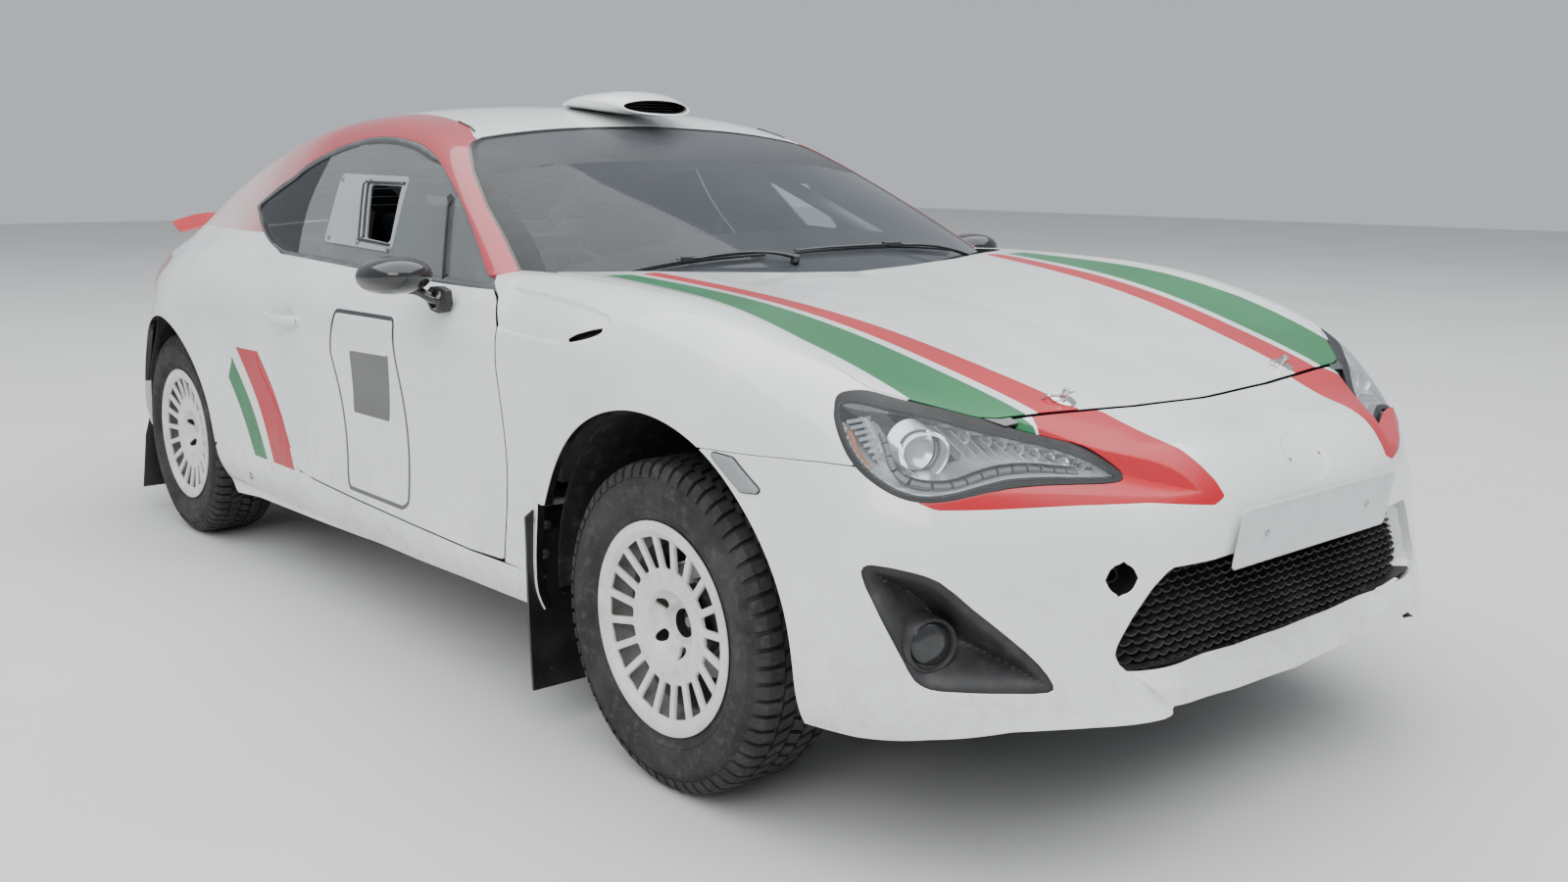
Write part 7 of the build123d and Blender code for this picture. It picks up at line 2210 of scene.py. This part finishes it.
pa = pa.paint(1, lambda x, y, z: 0.012 - dlo_in(x, y, z))
pa = hemmed(pa.refit(lifted(house, -0.0052), 2), 0.0008, 0.003)
sheet_object("quarter_window_glass", both_sides(pa), [M["dark_glass"], M["frit"]], "body", ["quarter_glass"], "tinted_glass")
# hatch plate with its opening, rails and screws
plate_skin = lifted(house, -0.0008)
pa = base_pa.keep(hatch, lambda x, y, z: -hatch_open(x, y, z))
pa = hemmed(pa.refit(plate_skin, 2), 0.0010, 0.0022)
for side, sheet in (("right", pa), ("left", pa.mirrored())):
    sheet_object("hatch_plate_" + side, sheet, [M["hatch"]], "door_" + side, [], "clear_glass")


def on_house(y, z, lift=0.0):
    """Places on the right-hand side window's surface."""
    y, z = np.atleast_1d(np.asarray(y, float)), np.atleast_1d(np.asarray(z, float))
    o = np.stack([np.full(len(y), -0.30), y, z], 1)
    d = np.tile([-1.0, 0, 0], (len(y), 1))
    t = solve(house, o, d, 0.05, 0.62, 30)
    p = o + d * t[:, None]
    return p + gradient(house, p) * lift


def strip_on(shape, line, width, lift, thick, m=0, n=14):
    """A flat strip laid on the side window along a line of (y, z)."""
    line = np.asarray(line, float)
    s = np.concatenate([[0], np.cumsum(np.linalg.norm(np.diff(line, axis=0), axis=1))])
    q = np.linspace(0, s[-1], n)
    yy, zz = np.interp(q, s, line[:, 0]), np.interp(q, s, line[:, 1])
    t = np.stack([np.gradient(yy), np.gradient(zz)], 1)
    t /= np.linalg.norm(t, axis=1, keepdims=True)
    c = np.stack([-t[:, 1], t[:, 0]], 1) * width / 2
    a, b = on_house(yy + c[:, 0], zz + c[:, 1], lift), on_house(yy - c[:, 0], zz - c[:, 1], lift)
    a2, b2 = on_house(yy + c[:, 0] * .8, zz + c[:, 1] * .8, lift + thick), on_house(yy - c[:, 0] * .8, zz - c[:, 1] * .8, lift + thick)
    shape.loft([[tuple(a[i]), tuple(a2[i]), tuple(b2[i]), tuple(b[i])] for i in range(n)], m)


for side in ("right", "left"):
    fit = Shape()
    strip_on(fit, mm([(-246, 1088), (-372, 917)]), 0.021, -0.004, 0.0055, 0)
    strip_on(fit, mm([(-250, 1080), (-371, 917)]), 0.0045, 0.001, 0.0012, 1)
    cap = on_house(*mm([(-258, -232, -243, -262), (1072, 1092, 1099, 1084)]), 0.0015)
    fit.slab([tuple(q) for q in cap], tuple((gradient(house, cap)[0] * 0.004)), 0)
    for shift, wide, m in ((0.008, 0.006, 2), (0.020, 0.009, 3), (0.034, 0.007, 2)):
        strip_on(fit, [(0.217 + shift, 1.117), (0.110 + shift, 0.986)], wide, -0.001, 0.0045, m)
    strip_on(fit, [(0.250, 1.122), (0.020, 1.121)], 0.007, -0.001, 0.003, 2)
    strip_on(fit, [(0.150, 0.980), (-0.040, 0.973)], 0.007, -0.001, 0.003, 2)
    for y, z in ((0.395, 1.128), (0.222, 1.128), (0.038, 1.124), (0.322, 0.978), (0.140, 0.972), (-0.040, 0.964)):
        q = on_house(y, z, 0.0005)
        ax = gradient(house, q)[0]
        fit.revolve([(-.002, .0062), (.0012, .0062), (.0030, .0046), (.0036, .0024), (.0026, .0)], tuple(q[0]), tuple(ax), segments=20, m=4)
    if side == "left":
        fit = fit.mirrored()
    fit.object("window_fittings_" + side, [M["plastic"], M["dark"], M["plastic"], M["hatch"], M["steel"]], "door_" + side, [], "gloss_black", angle=35)

# black tab where the rail meets the roof
tab = Shape()
for sx in (-1, 1):
    pts = [(sx * x, y, float(house_top(np.array([y]), np.array([x]))[0]) + 0.0012) for x, y in ((0.517, -0.046), (0.514, -0.034), (0.511, -0.022), (0.508, -0.010), (0.503, 0.060))]
    tab.tube(pts, 0.0030, 8, m=0)
tab.object("roof_joint_strips", [M["gloss"]], "body", [], "gloss_black")

# ------------------------------------------------------------------ door mirrors
C_HEAD, AX = Vector((-0.934, -0.425, 0.930)), Vector((0.16, 1.0, 0.0)).normalized()
for side in ("right", "left"):
    mir = Shape()
    prof = [(-.1130, .0), (-.1115, .016), (-.104, .034), (-.088, .052), (-.064, .066), (-.034, .0745), (0, .0775), (.030, .0770), (.052, .0745), (.062, .0725), (.066, .070),
            (.0665, .067), (.064, .0645), (.058, .063)]
    head = Shape()
    head.revolve([(u, r) for u, r in prof], (0, 0, 0), (0, 1, 0), segments=56, m=0)
    head.revolve([(.058, .063), (.057, .035), (.0575, .0)], (0, 0, 0), (0, 1, 0), segments=56, m=1)
    turn = Matrix.Translation(C_HEAD) @ Matrix.Rotation(math.radians(9), 4, "Z") @ Matrix.Rotation(math.radians(-4), 4, "X") @ Matrix.Diagonal((0.97, 0.76, 0.545, 1))
    mir.absorb(head, turn)
    arm = Spline([0, 1, 2, 3], [(-0.905, -0.440, 0.903), (-0.888, -0.452, 0.893), (-0.872, -0.463, 0.882), (-0.852, -0.474, 0.876)])
    line = arm(np.linspace(0, 3, 14))
    mir.tube([tuple(q) for q in line], [0.019, .0165, .0145, .0135, .013, .0128, .0128, .013, .0135, .0142, .0155, .0175, .020, .022], 18, m=0, flat=0.85)
    foot_c = Vector((-0.8590, -0.4750, 0.8760))
    outline = [(-.036, .026), (-.010, .033), (.022, .031), (.034, .022), (.037, -.010), (.024, -.027), (-.004, -.032), (-.028, -.026), (-.040, -.006)]
    outline = round_loop([(a * 1.15, b * 0.92) for a, b in outline], 0.006)
    for h0, h1, k0, k1 in ((-0.012, 0.004, 1.0, 1.0), (0.004, 0.0075, 1.0, 0.90)):
        a = [(foot_c.x - h0, foot_c.y + u * k0, foot_c.z + v * k0) for u, v in outline]
        b = [(foot_c.x - h1, foot_c.y + u * k1, foot_c.z + v * k1) for u, v in outline]
        mir.loft([a, b], 2)
    mir.revolve([(0, .0062), (.004, .0062), (.0052, .0045), (.0052, .0)], (foot_c.x - 0.0070, foot_c.y - 0.026, foot_c.z + 0.014), (-1, 0, 0), segments=6, m=3)
    mir.revolve([(-.006, .026), (.003, .0235), (.009, .018)], (foot_c.x - 0.004, foot_c.y, foot_c.z), (-1, 0, 0), segments=28, m=0)
    if side == "left":
        mir = mir.mirrored()
    mir.object("door_mirror_" + side, [M["gloss"], M["chrome"], M["plastic"], M["satin"]], "door_" + side, ["mirror_" + side], "gloss_black", angle=45)

# ------------------------------------------------------------------ door handles
for side in ("right", "left"):
    hd = Shape()
    GRIP = [(0.303, 0.7655), (0.330, 0.7630), (0.370, 0.7610), (0.410, 0.7620), (0.450, 0.7640), (0.480, 0.7655), (0.496, 0.7650)]
    LIFT = [-.006, .010, .0195, .0225, .0205, .012, -.006]
    HALF = [.0105, .0125, .0125, .0115, .0110, .0105, .0090]
    rings = []
    g = Spline(range(7), [(a[0], a[1], l, h) for a, l, h in zip(GRIP, LIFT, HALF)])(np.linspace(0, 6, 26))
    for y, z, l, h in g:
        xs = -float(side_sheet(np.array([y]), np.array([z]))[0]) - l
        ring = []
        for k in range(14):
            t = 2 * math.pi * k / 14
            ring.append((xs - 0.0068 * math.cos(t), y, z + h * math.sin(t)))
        rings.append(ring)
    hd.loft(rings[::-1], 0)
    xs = -float(side_sheet(np.array([0.318]), np.array([0.764]))[0])
    hd.revolve([(-.004, .0125), (.0035, .0122), (.0050, .0105), (.0052, .0)], (xs, 0.300, 0.764), (-1, 0, 0), segments=28, m=0)
    hd.revolve([(.0052, .0052), (.0060, .0048), (.0050, .0)], (xs, 0.300, 0.764), (-1, 0, 0), segments=18, m=1)
    if side == "left":
        hd = hd.mirrored()
    hd.object("door_handle_" + side, [M["white"], M["satin"]], "door_" + side, [], "white_paint", angle=50)

# ------------------------------------------------------------------ roof scoop
sc = Shape()
SC = [(-0.160, 0.112, 1.2990, 1.3460), (-0.135, 0.121, 1.2985, 1.3530), (-0.100, 0.130, 1.2990, 1.3600), (-0.040, 0.140, 1.3030, 1.3670), (0.030, 0.145, 1.3090, 1.3685),
      (0.100, 0.142, 1.3160, 1.3640), (0.160, 0.122, 1.3200, 1.3560), (0.210, 0.086, 1.3240, 1.3470), (0.235, 0.040, 1.3290, 1.3400)]
scs = Spline([r[0] for r in SC], [r[1:] for r in SC])
NS = 56


def scoop_ring(y, shrink=0.0, plan=None):
    w, z0, z1 = scs(np.array([y]))[0] if plan is None else plan
    zc, h = (z0 + z1) / 2, (z1 - z0) / 2
    ring = []
    for k in range(NS):
        t = 2 * math.pi * k / NS
        cx, cz = math.cos(t), math.sin(t)
        power = 0.78
        bx = math.copysign(abs(cx) ** 0.92, cx) * (w - shrink)
        bz = math.copysign(abs(cz) ** (1.10 if cz > 0 else 0.9), cz) * (h - shrink * 0.8)
        ring.append((bx, y - 0.055 * (1 - (bx / 0.15) ** 2) * max(0, (-y - 0.02) / 0.14) * 0.0, zc + bz))
    return ring


outer = [scoop_ring(y) for y in np.linspace(-0.160, 0.234, 34)]
outer[0] = [(x, y + 0.0, z) for x, y, z in outer[0]]


def lean(ring, amount):
    """The mouth leans back at the top and is swept at the ends."""
    out = []
    for x, y, z in ring:
        out.append((x, y + amount * (0.030 * (z - 1.303) / 0.03 + 0.030 * (x / 0.11) ** 2), z))
    return out


def mouth_mix(y):
    return max(0.0, min(1.0, (-y - 0.02) / 0.14)) ** 1.3


outer = [lean(r, mouth_mix(y)) for r, y in zip(outer, np.linspace(-0.160, 0.234, 34))]
inner = [lean(scoop_ring(y, 0.0075), mouth_mix(y)) for y in np.linspace(-0.158, 0.10, 20)]
lip = [[tuple((Vector(a) * (1 - f) + Vector(b) * f) + Vector((0, -0.0032 * math.sin(math.pi * f), 0))) for a, b in zip(outer[0], inner[0])] for f in (0.2, 0.4, 0.6, 0.8)]
sc.loft((outer[::-1] + lip + inner[:4]), 0, caps=False)
# the duct's inside takes the near-black finish: painted shade
sc.loft(inner[3:], 1, caps=False)
sc.add(inner[-1], [tuple(range(NS))[::-1]], 1)
sc.add(outer[-1], [tuple(range(NS))], 0)
for k in range(5):
    z = 1.309 + 0.0075 * k
    half = 0.086 - 0.004 * abs(k - 1.5)
    sc.slab([(-half, -0.085 + 0.004 * k, z), (half, -0.085 + 0.004 * k, z), (half, -0.055, z + 0.004), (-half, -0.055, z + 0.004)], (0, 0, 0.0012), 2)
for x, y in ((-0.128, -0.045), (-0.130, 0.085), (0.128, -0.045), (0.130, 0.085)):
    sc.revolve([(0, .0042), (.0016, .0038), (.0022, .0)], (x * 0.98, y, 1.3285), (math.copysign(0.86, x), 0, 0.5), segments=14, m=3)
sc.object("roof_scoop", [M["white"], M["dark"], M["plastic"], M["satin"]], "body", ["roof_vent"], "white_composite", angle=50)

# ------------------------------------------------------------------ wipers
def screen_z(x, y, lift):
    return float(house_top(np.array([y]), np.array([abs(x)]))[0]) + lift


wp = Shape()
BLADES = [([(-0.640, -0.752), (-0.500, -0.762), (-0.350, -0.776), (-0.180, -0.790)], [(-0.120, -0.828), (-0.200, -0.812), (-0.330, -0.786), (-0.420, -0.768)]),
          ([(-0.090, -0.792), (0.080, -0.786), (0.280, -0.772), (0.500, -0.745)], [(0.560, -0.796), (0.450, -0.790), (0.330, -0.780), (0.220, -0.774)])]
for blade, arm in BLADES:
    q = np.array(blade)
    s = Spline(range(len(q)), q)(np.linspace(0, len(q) - 1, 26))
    wp.tube([(x, y, screen_z(x, y, 0.0030)) for x, y in s], 0.0030, 6, m=1, flat=0.9)
    wp.tube([(x, y, screen_z(x, y, 0.0095)) for x, y in s], [0.0045 + 0.0025 * math.sin(math.pi * i / 25) for i in range(26)], 8, m=0, flat=0.55)
    q = np.array(arm)
    s = Spline(range(len(q)), q)(np.linspace(0, len(q) - 1, 18))
    wp.tube([(x, y, screen_z(x, y, 0.013 + 0.010 * math.sin(math.pi * min(1, i / 13)))) for i, (x, y) in enumerate(s)], [0.0095 - 0.0040 * min(1, i / 9) for i in range(18)], 10, m=0, flat=0.6)
    x, y = arm[0]
    wp.revolve([(-.030, .011), (.008, .011), (.0115, .009), (.0125, .0)], (x, y, screen_z(x, y, 0.008)), (0, -0.35, 0.93), segments=24, m=0)
    x, y = s[15]
    wp.box((x - 0.020, y - 0.006, screen_z(x, y, 0.006)), (x + 0.020, y + 0.006, screen_z(x, y, 0.017)), 0)
wp.object("wiper_arms", [M["gloss"], M["flap"]], "body", ["wipers"], "black_plastic", bevel=0.0008, angle=35)

# cowl cover between bonnet and windscreen
gx, gy = grid(-0.76, 0.76, -0.96, -0.66, 0.013)
cowl_shape = lambda x, y, z: smin(body(x, y, z) + 0.016, house(x, y, z) + 0.010, 0.012)
pa = cast(cowl_shape, *rays_along(2, 1, 0.70, gx, gy), 0.05, 0.40, 24)
pa = pa.keep(lambda x, y, z: -bonnet_in(x, y, z) + 0.030, lambda x, y, z: 0.020 - house(x, y, z) + 0.0 * z, lambda x, y, z: 0.752 - np.abs(x))
sheet_object("cowl_cover", pa, [M["plastic"]], "body", [], "black_plastic")

# ------------------------------------------------------------------ fixings on the mud flaps
fx = Shape()
for sx in (-1, 1):
    for x, z in ((0.845, 0.440), (0.862, 0.455), (0.850, 0.380)):
        fx.revolve([(0, .011), (.0016, .011), (.0018, .0065), (.0058, .006), (.0062, .0)], (sx * x, -0.880 - 0.0, z), (0, -1, 0.07), segments=18)
    for x in (0.70, 0.76, 0.82):
        fx.revolve([(0, .011), (.0016, .011), (.0018, .0065), (.0058, .006), (.0062, .0)], (sx * x, 1.709, 0.440), (0, 1, 0.14), segments=18)
fx.object("flap_bolts", [M["satin"]], "body", [], "forged_steel")


# ------------------------------------------------------------------ CAD pieces that stay, with their finishes
KEPT = {"floor_pan": "under", "transmission_tunnel": "under", "sill_beams": "under", "rear_floor": "under", "boot_floor": "under", "front_rails": "under",
        "bulkheads": "under", "wheel_houses": "liner", "front_knuckle_left": "cast", "front_knuckle_right": "cast", "front_subframe": "arm",
        "rear_suspension": "arm", "engine_block": "cast", "propshaft": "arm", "exhaust": "exhaust", "roll_cage": "cage", "dashboard": "dash"}
for node, key in KEPT.items():
    for slot_ in bpy.data.objects[node].material_slots:
        slot_.material = M[key]

# ------------------------------------------------------------------ mudflaps: rubber sheets with a clamp strip and bolts
flaps = Shape()


def flap(outline, y0, z_axis, lean, thick, bolts, bow):
    """A hanging sheet, leant about its top edge and bowed a little along its height."""
    turn_ = Matrix.Rotation(math.radians(lean), 4, "X")

    def at_(x, z, dy=0.0):
        b = bow * math.sin(math.pi * min(max((z_axis - z) / 0.40, 0.0), 1.0))
        q = turn_ @ Vector((0, dy + b, z - z_axis))
        return (x, y0 + q.y, z_axis + q.z)

    loop_ = list(outline)
    fine = []
    for a, b in zip(loop_, loop_[1:] + loop_[:1]):
        n_ = max(1, int(math.hypot(a[0] - b[0], a[1] - b[1]) / 0.03))
        fine += [(a[0] + (b[0] - a[0]) * k / n_, a[1] + (b[1] - a[1]) * k / n_) for k in range(n_)]
    count_ = len(fine)
    cx = sum(a for a, b in fine) / count_
    rings_ = []
    for s_, dy in ((0.0, thick), (0.55, thick), (0.985, thick), (1.0, thick - 0.001), (1.0, 0.001), (0.985, 0.0), (0.55, 0.0), (0.0, 0.0)):
        rings_.append([at_(cx + (a - cx) * max(s_, 0.02), b, dy) for a, b in fine])
    flaps.loft(rings_, 0, closed=True, caps=True)
    for bx, bz in bolts:
        c_ = Vector(at_(bx, bz, 0.0))
        flaps.revolve([(-0.001, 0.0085), (0.0012, 0.0085), (0.0022, 0.0060), (0.0045, 0.0052), (0.0055, 0.0030), (0.0055, 0.0)], c_, (0, -1, 0), segments=16, m=1)


flap([(0.640, 0.095), (0.893, 0.095), (0.891, 0.300), (0.887, 0.462), (0.868, 0.474), (0.838, 0.476), (0.805, 0.335), (0.640, 0.335)],
     -0.870, 0.400, -4, -0.005, [(0.866, 0.440), (0.866, 0.405), (0.851, 0.330), (0.760, 0.310), (0.680, 0.310)], 0.004)
flap([(0.650, 0.060), (0.848, 0.060), (0.836, 0.250), (0.800, 0.400), (0.650, 0.400)], 1.700, 0.470, 8, 0.005, [(0.790, 0.370), (0.730, 0.370), (0.670, 0.370)], -0.004)
flaps.absorb(flaps.mirrored())
flaps.object("mudflap_sheets", [M["flap"], M["steel"]], "body", ["mudflaps"], "flap_rubber", angle=40)

# ------------------------------------------------------------------ bucket seats
SECTION = [(-0.055, 0.335), (0.020, 0.322), (0.200, 0.312), (0.400, 0.312), (0.460, 0.350), (0.520, 0.470), (0.575, 0.650), (0.618, 0.850), (0.600, 1.045)]
for side, x0 in (("right", -0.370), ("left", 0.370)):
    sh = Shape()
    spine = Spline(range(len(SECTION)), SECTION)(np.linspace(0, len(SECTION) - 1, 46))
    tang = np.gradient(spine, axis=0)
    tang /= np.linalg.norm(tang, axis=1, keepdims=True)
    wing_h = np.interp(np.linspace(0, 1, 46), [0, .08, .30, .50, .62, .74, .82, .92, 1.0], [.035, .085, .105, .115, .130, .125, .055, .090, .060])
    half_w = np.interp(np.linspace(0, 1, 46), [0, .1, .45, .60, .76, .84, .92, 1.0], [.205, .238, .240, .238, .242, .170, .180, .150])
    rows_in, rows_out = [], []
    for i in range(46):
        up = Vector((0, -tang[i][1], tang[i][0]))
        if up.z < 0 and i < 8:
            up = -up
        nrm = Vector((0, -tang[i][1], tang[i][0]))
        nrm = nrm if nrm.dot(Vector((0, -0.6, 0.8))) > 0 else -nrm
        c = Vector((x0, spine[i][0], spine[i][1]))
        ins, outs = [], []
        for k in range(25):
            u = -1 + 2 * k / 24
            lift = wing_h[i] * max(0.0, (abs(u) - 0.60) / 0.40) ** 1.7
            x = half_w[i] * math.copysign(min(abs(u) * 1.10, 1.0), u)
            ins.append(tuple(c + Vector((x, 0, 0)) + nrm * lift))
            outs.append(tuple(c + Vector((x * 1.0 + math.copysign(0.004, u) * (abs(u) > .6), 0, 0)) + nrm * (lift - 0.007)))
        rows_in.append(ins)
        rows_out.append(outs)
    sh.loft([a + b[::-1] for a, b in zip(rows_in, rows_out)], 0)
    for sx in (-1, 1):
        sh.box((x0 + sx * 0.160 - 0.018, 0.060, 0.2625), (x0 + sx * 0.160 + 0.018, 0.400, 0.318), 1)
    sh.object("seat_shell_" + side, [M["shell"], M["arm"]], "body", ["seats"] if side == "right" else [], "seat_fabric", angle=40)

    def pad(name, i0, i1, width, thick, u_mid=0.0, crown=1.0):
        """A stuffed pad lying on the shell, with piped edges and a pinched middle seam."""
        ps = Shape()
        n_along, n_across = 22, 17
        top = []
        for a in range(n_along):
            q = i0 + (i1 - i0) * a / (n_along - 1)
            s0 = np.array([np.interp(q, np.arange(46), spine[:, 0]), np.interp(q, np.arange(46), spine[:, 1])])
            t0 = np.array([np.interp(q, np.arange(46), tang[:, 0]), np.interp(q, np.arange(46), tang[:, 1])])
            nrm = Vector((0, -t0[1], t0[0])).normalized()
            nrm = nrm if nrm.dot(Vector((0, -0.6, 0.8))) > 0 else -nrm
            row = []
            for b in range(n_across):
                u = -1 + 2 * b / (n_across - 1)
                ea = max(0.0, 1 - abs(2 * a / (n_along - 1) - 1) ** 6)
                eb = max(0.0, 1 - abs(u) ** 6)
                dip = 0.18 * math.exp(-(u / 0.10) ** 2) + 0.12 * math.exp(-((a / (n_along - 1) - 0.5) / 0.06) ** 2)
                h = thick * (0.12 + 0.88 * (ea * eb) ** 0.5) * (1 - dip)
                row.append(tuple(Vector((x0 + u_mid + width * u, s0[0], s0[1])) + nrm * (0.001 + h)))
            top.append(row)
        bottom = []
        for a in range(n_along):
            q = i0 + (i1 - i0) * a / (n_along - 1)
            s0 = (np.interp(q, np.arange(46), spine[:, 0]), np.interp(q, np.arange(46), spine[:, 1]))
            t0 = (np.interp(q, np.arange(46), tang[:, 0]), np.interp(q, np.arange(46), tang[:, 1]))
            nrm = Vector((0, -t0[1], t0[0])).normalized()
            nrm = nrm if nrm.dot(Vector((0, -0.6, 0.8))) > 0 else -nrm
            bottom.append([tuple(Vector((x0 + u_mid + width * (-1 + 2 * b / (n_across - 1)), s0[0], s0[1])) + nrm * 0.0012) for b in range(n_across)])
        ps.loft([r + s[::-1] for r, s in zip(top, bottom)], 0)
        ob = ps.object(name, [M["seat_cloth"]], "body", [], "seat_fabric", angle=60, subdivide=1)
        return ob

    pad("seat_squab_" + side, 5, 20, 0.140, 0.030)
    pad("seat_back_pad_" + side, 25, 35, 0.135, 0.028)
    pad("seat_head_pad_" + side, 39, 44.5, 0.100, 0.024)
    # harness: shoulder straps, lap straps and buckle, laid along the seat
    hs = Shape()
    for sx in (-1, 1):
        path = []
        for q in np.linspace(42, 21, 22):
            s0 = np.array([np.interp(q, np.arange(46), spine[:, 0]), np.interp(q, np.arange(46), spine[:, 1])])
            t0 = np.array([np.interp(q, np.arange(46), tang[:, 0]), np.interp(q, np.arange(46), tang[:, 1])])
            nrm = Vector((0, -t0[1], t0[0])).normalized()
            nrm = nrm if nrm.dot(Vector((0, -0.6, 0.8))) > 0 else -nrm
            spread = 0.058 - 0.030 * (42 - q) / 21
            path.append(Vector((x0 + sx * spread, s0[0], s0[1])) + nrm * 0.036)
        rings = []
        for q in path:
            rings.append([tuple(q + Vector((-0.025, 0, 0))), tuple(q + Vector((0.025, 0, 0))), tuple(q + Vector((0.025, -0.0022, 0.0010))), tuple(q + Vector((-0.025, -0.0022, 0.0010)))])
        hs.loft(rings, 0)
        lap = [Vector((x0 + sx * 0.215, 0.440, 0.400)), Vector((x0 + sx * 0.165, 0.400, 0.410)), Vector((x0 + sx * 0.090, 0.370, 0.402)), Vector((x0 + sx * 0.02, 0.360, 0.396))]
        rings = [[tuple(q + Vector((0, -0.022, -0.004))), tuple(q + Vector((0, 0.022, 0.008))), tuple(q + Vector((0, 0.022, 0.0104))), tuple(q + Vector((0, -0.022, -0.0016)))] for q in lap]
        hs.loft(rings, 0)
    hs.revolve([(0, .034), (.012, .034), (.018, .030), (.019, .0)], (x0, 0.368, 0.400), (0, -0.35, 0.93), segments=32, m=1)
    hs.object("harness_" + side, [M["belt_cloth"], M["satin"]], "body", [], "seat_fabric", bevel=0.0006, angle=40)

# ------------------------------------------------------------------ steering wheel
sw = Shape()
ring = [(0.165 * math.cos(t), 0.165 * math.sin(t), 0) for t in np.linspace(0, 2 * math.pi, 72, endpoint=False)]
sw.tube(ring, [0.0140 + 0.0012 * math.cos(6 * t) for t in np.linspace(0, 2 * math.pi, 72, endpoint=False)], 14, m=0, closed=True)
for a in (0, math.pi, -math.pi / 2):
    ca, sa = math.cos(a), math.sin(a)
    prof = [(0.030, 0.026), (0.060, 0.018), (0.110, 0.015), (0.155, 0.018)]
    top = [(r * ca - w * sa, r * sa + w * ca, -0.010 + 0.004 * i) for i, (r, w) in enumerate(prof)]
    low = [(r * ca + w * sa, r * sa - w * ca, -0.010 + 0.004 * i) for i, (r, w) in enumerate(prof)]
    sw.slab(top + low[::-1], (0, 0, 0.004), 1)
sw.revolve([(-.012, .0), (-.012, .042), (-.002, .044), (.002, .040), (.004, .030), (.004, .0)], (0, 0, 0), (0, 0, 1), segments=40, m=1)
sw.revolve([(-.090, .0), (-.090, .026), (-.012, .026)], (0, 0, 0), (0, 0, 1), segments=32, m=2)
sw.tube([(0, 0, -0.060), (0, 0.005, -0.13), (0.0, 0.01, -0.185)], 0.020, 20, m=2)
for k in range(6):
    t = math.pi / 3 * k
    sw.revolve([(0, .0045), (.0025, .004), (.003, 0)], (0.034 * math.cos(t), 0.034 * math.sin(t), 0.003), (0, 0, 1), segments=12, m=3)
steer = Shape()
steer.absorb(sw, Matrix.Translation((-0.370, -0.170, 0.800)) @ Matrix.Rotation(math.radians(-68), 4, "X"))
steer.object("steering_wheel_rim", [M["suede"], M["gloss"], M["arm"], M["satin"]], "body", ["steering_wheel"], "black_plastic", bevel=0.0006, angle=40)

# dash details: instrument hood, switch panel, plain round dials
dd = Shape()
for x in (-0.430, -0.310):
    dd.revolve([(0, .046), (.010, .046), (.012, .043), (.006, .041), (.006, .0)], (x, -0.312, 0.800), (0, 0.95, 0.18), segments=36, m=0)
    dd.revolve([(.0065, .040), (.0066, .0)], (x, -0.312, 0.800), (0, 0.95, 0.18), segments=36, m=1)
for row in range(2):
    for col in range(5):
        x, z = -0.075 + 0.038 * col, 0.735 + 0.030 * row
        dd.revolve([(0, .007), (.004, .007), (.005, .003), (.020, .0024), (.021, 0)], (x, -0.300 + 0.018 * row, z), (0, 0.9, 0.25), segments=12, m=2)
dd.object("dash_dials", [M["plastic"], M["gloss"], M["satin"]], "body", [], "black_plastic")


# ------------------------------------------------------------------ floor, light and camera
def make_floor():
    me = bpy.data.meshes.new("studio_floor")
    n, size = 40, 26.0
    a, b = np.meshgrid(np.linspace(-size, size, n), np.linspace(-size, size, n), indexing="ij")
    fill_mesh(me, np.stack([a.ravel(), b.ravel(), np.zeros(a.size)], 1), faces_of_grid(n, n), np.zeros((n - 1) ** 2 * 2, int))
    f = Finish("floor_paint")
    f.colour(f.blend(f.ramp(f.noise(0.8, 4), 0.3, 0.7), (0.62, 0.62, 0.61), (0.66, 0.66, 0.65))).rough(0.75, 0.85, 2)
    me.materials.append(f.mat)
    o = bpy.data.objects.new("studio_floor", me)
    bpy.context.scene.collection.objects.link(o)


make_floor()


def area(name, place, target, size, power, tone=(1, 1, 1)):
    data = bpy.data.lights.new(name, "AREA")
    data.shape, data.size, data.size_y = "RECTANGLE", size[0], size[1]
    data.energy, data.color = power, tone
    o = bpy.data.objects.new(name, data)
    bpy.context.scene.collection.objects.link(o)
    o.location = place
    o.rotation_euler = (Vector(target) - Vector(place)).to_track_quat("-Z", "Y").to_euler()


area("overhead", (-0.5, -1.0, 9.0), (0, 0, 0), (18.0, 18.0), 2500, (0.97, 0.985, 1.0))
area("camera_side", (-6.5, -5.5, 4.6), (0, -0.3, 0.6), (5.0, 3.0), 190, (1.0, 0.99, 0.97))
world = bpy.data.worlds.new("studio")
world.use_nodes = True
world.node_tree.nodes["Background"].inputs["Color"].default_value = (0.80, 0.84, 0.90, 1)
world.node_tree.nodes["Background"].inputs["Strength"].default_value = 0.66
bpy.context.scene.world = world

cam = bpy.data.cameras.new("camera")
cam.sensor_fit, cam.sensor_width, cam.lens = "HORIZONTAL", 36.0, 1481.564 * 36 / 1600
eye = bpy.data.objects.new("camera", cam)
bpy.context.scene.collection.objects.link(eye)
az, el, roll = math.radians(-40.7928), math.radians(10.8752), math.radians(0.30138)
back = Vector((math.sin(az) * math.cos(el), -math.cos(az) * math.cos(el), math.sin(el)))
right = (-back).cross(Vector((0, 0, 1))).normalized()
up = right.cross(-back)
r2 = right * math.cos(roll) + up * math.sin(roll)
u2 = -right * math.sin(roll) + up * math.cos(roll)
m = Matrix((r2, u2, back)).transposed().to_4x4()
m.translation = (-2.37515, -3.40396, 1.17917)
eye.matrix_world = m
cam.clip_end = 200
bpy.context.scene.camera = eye

import json
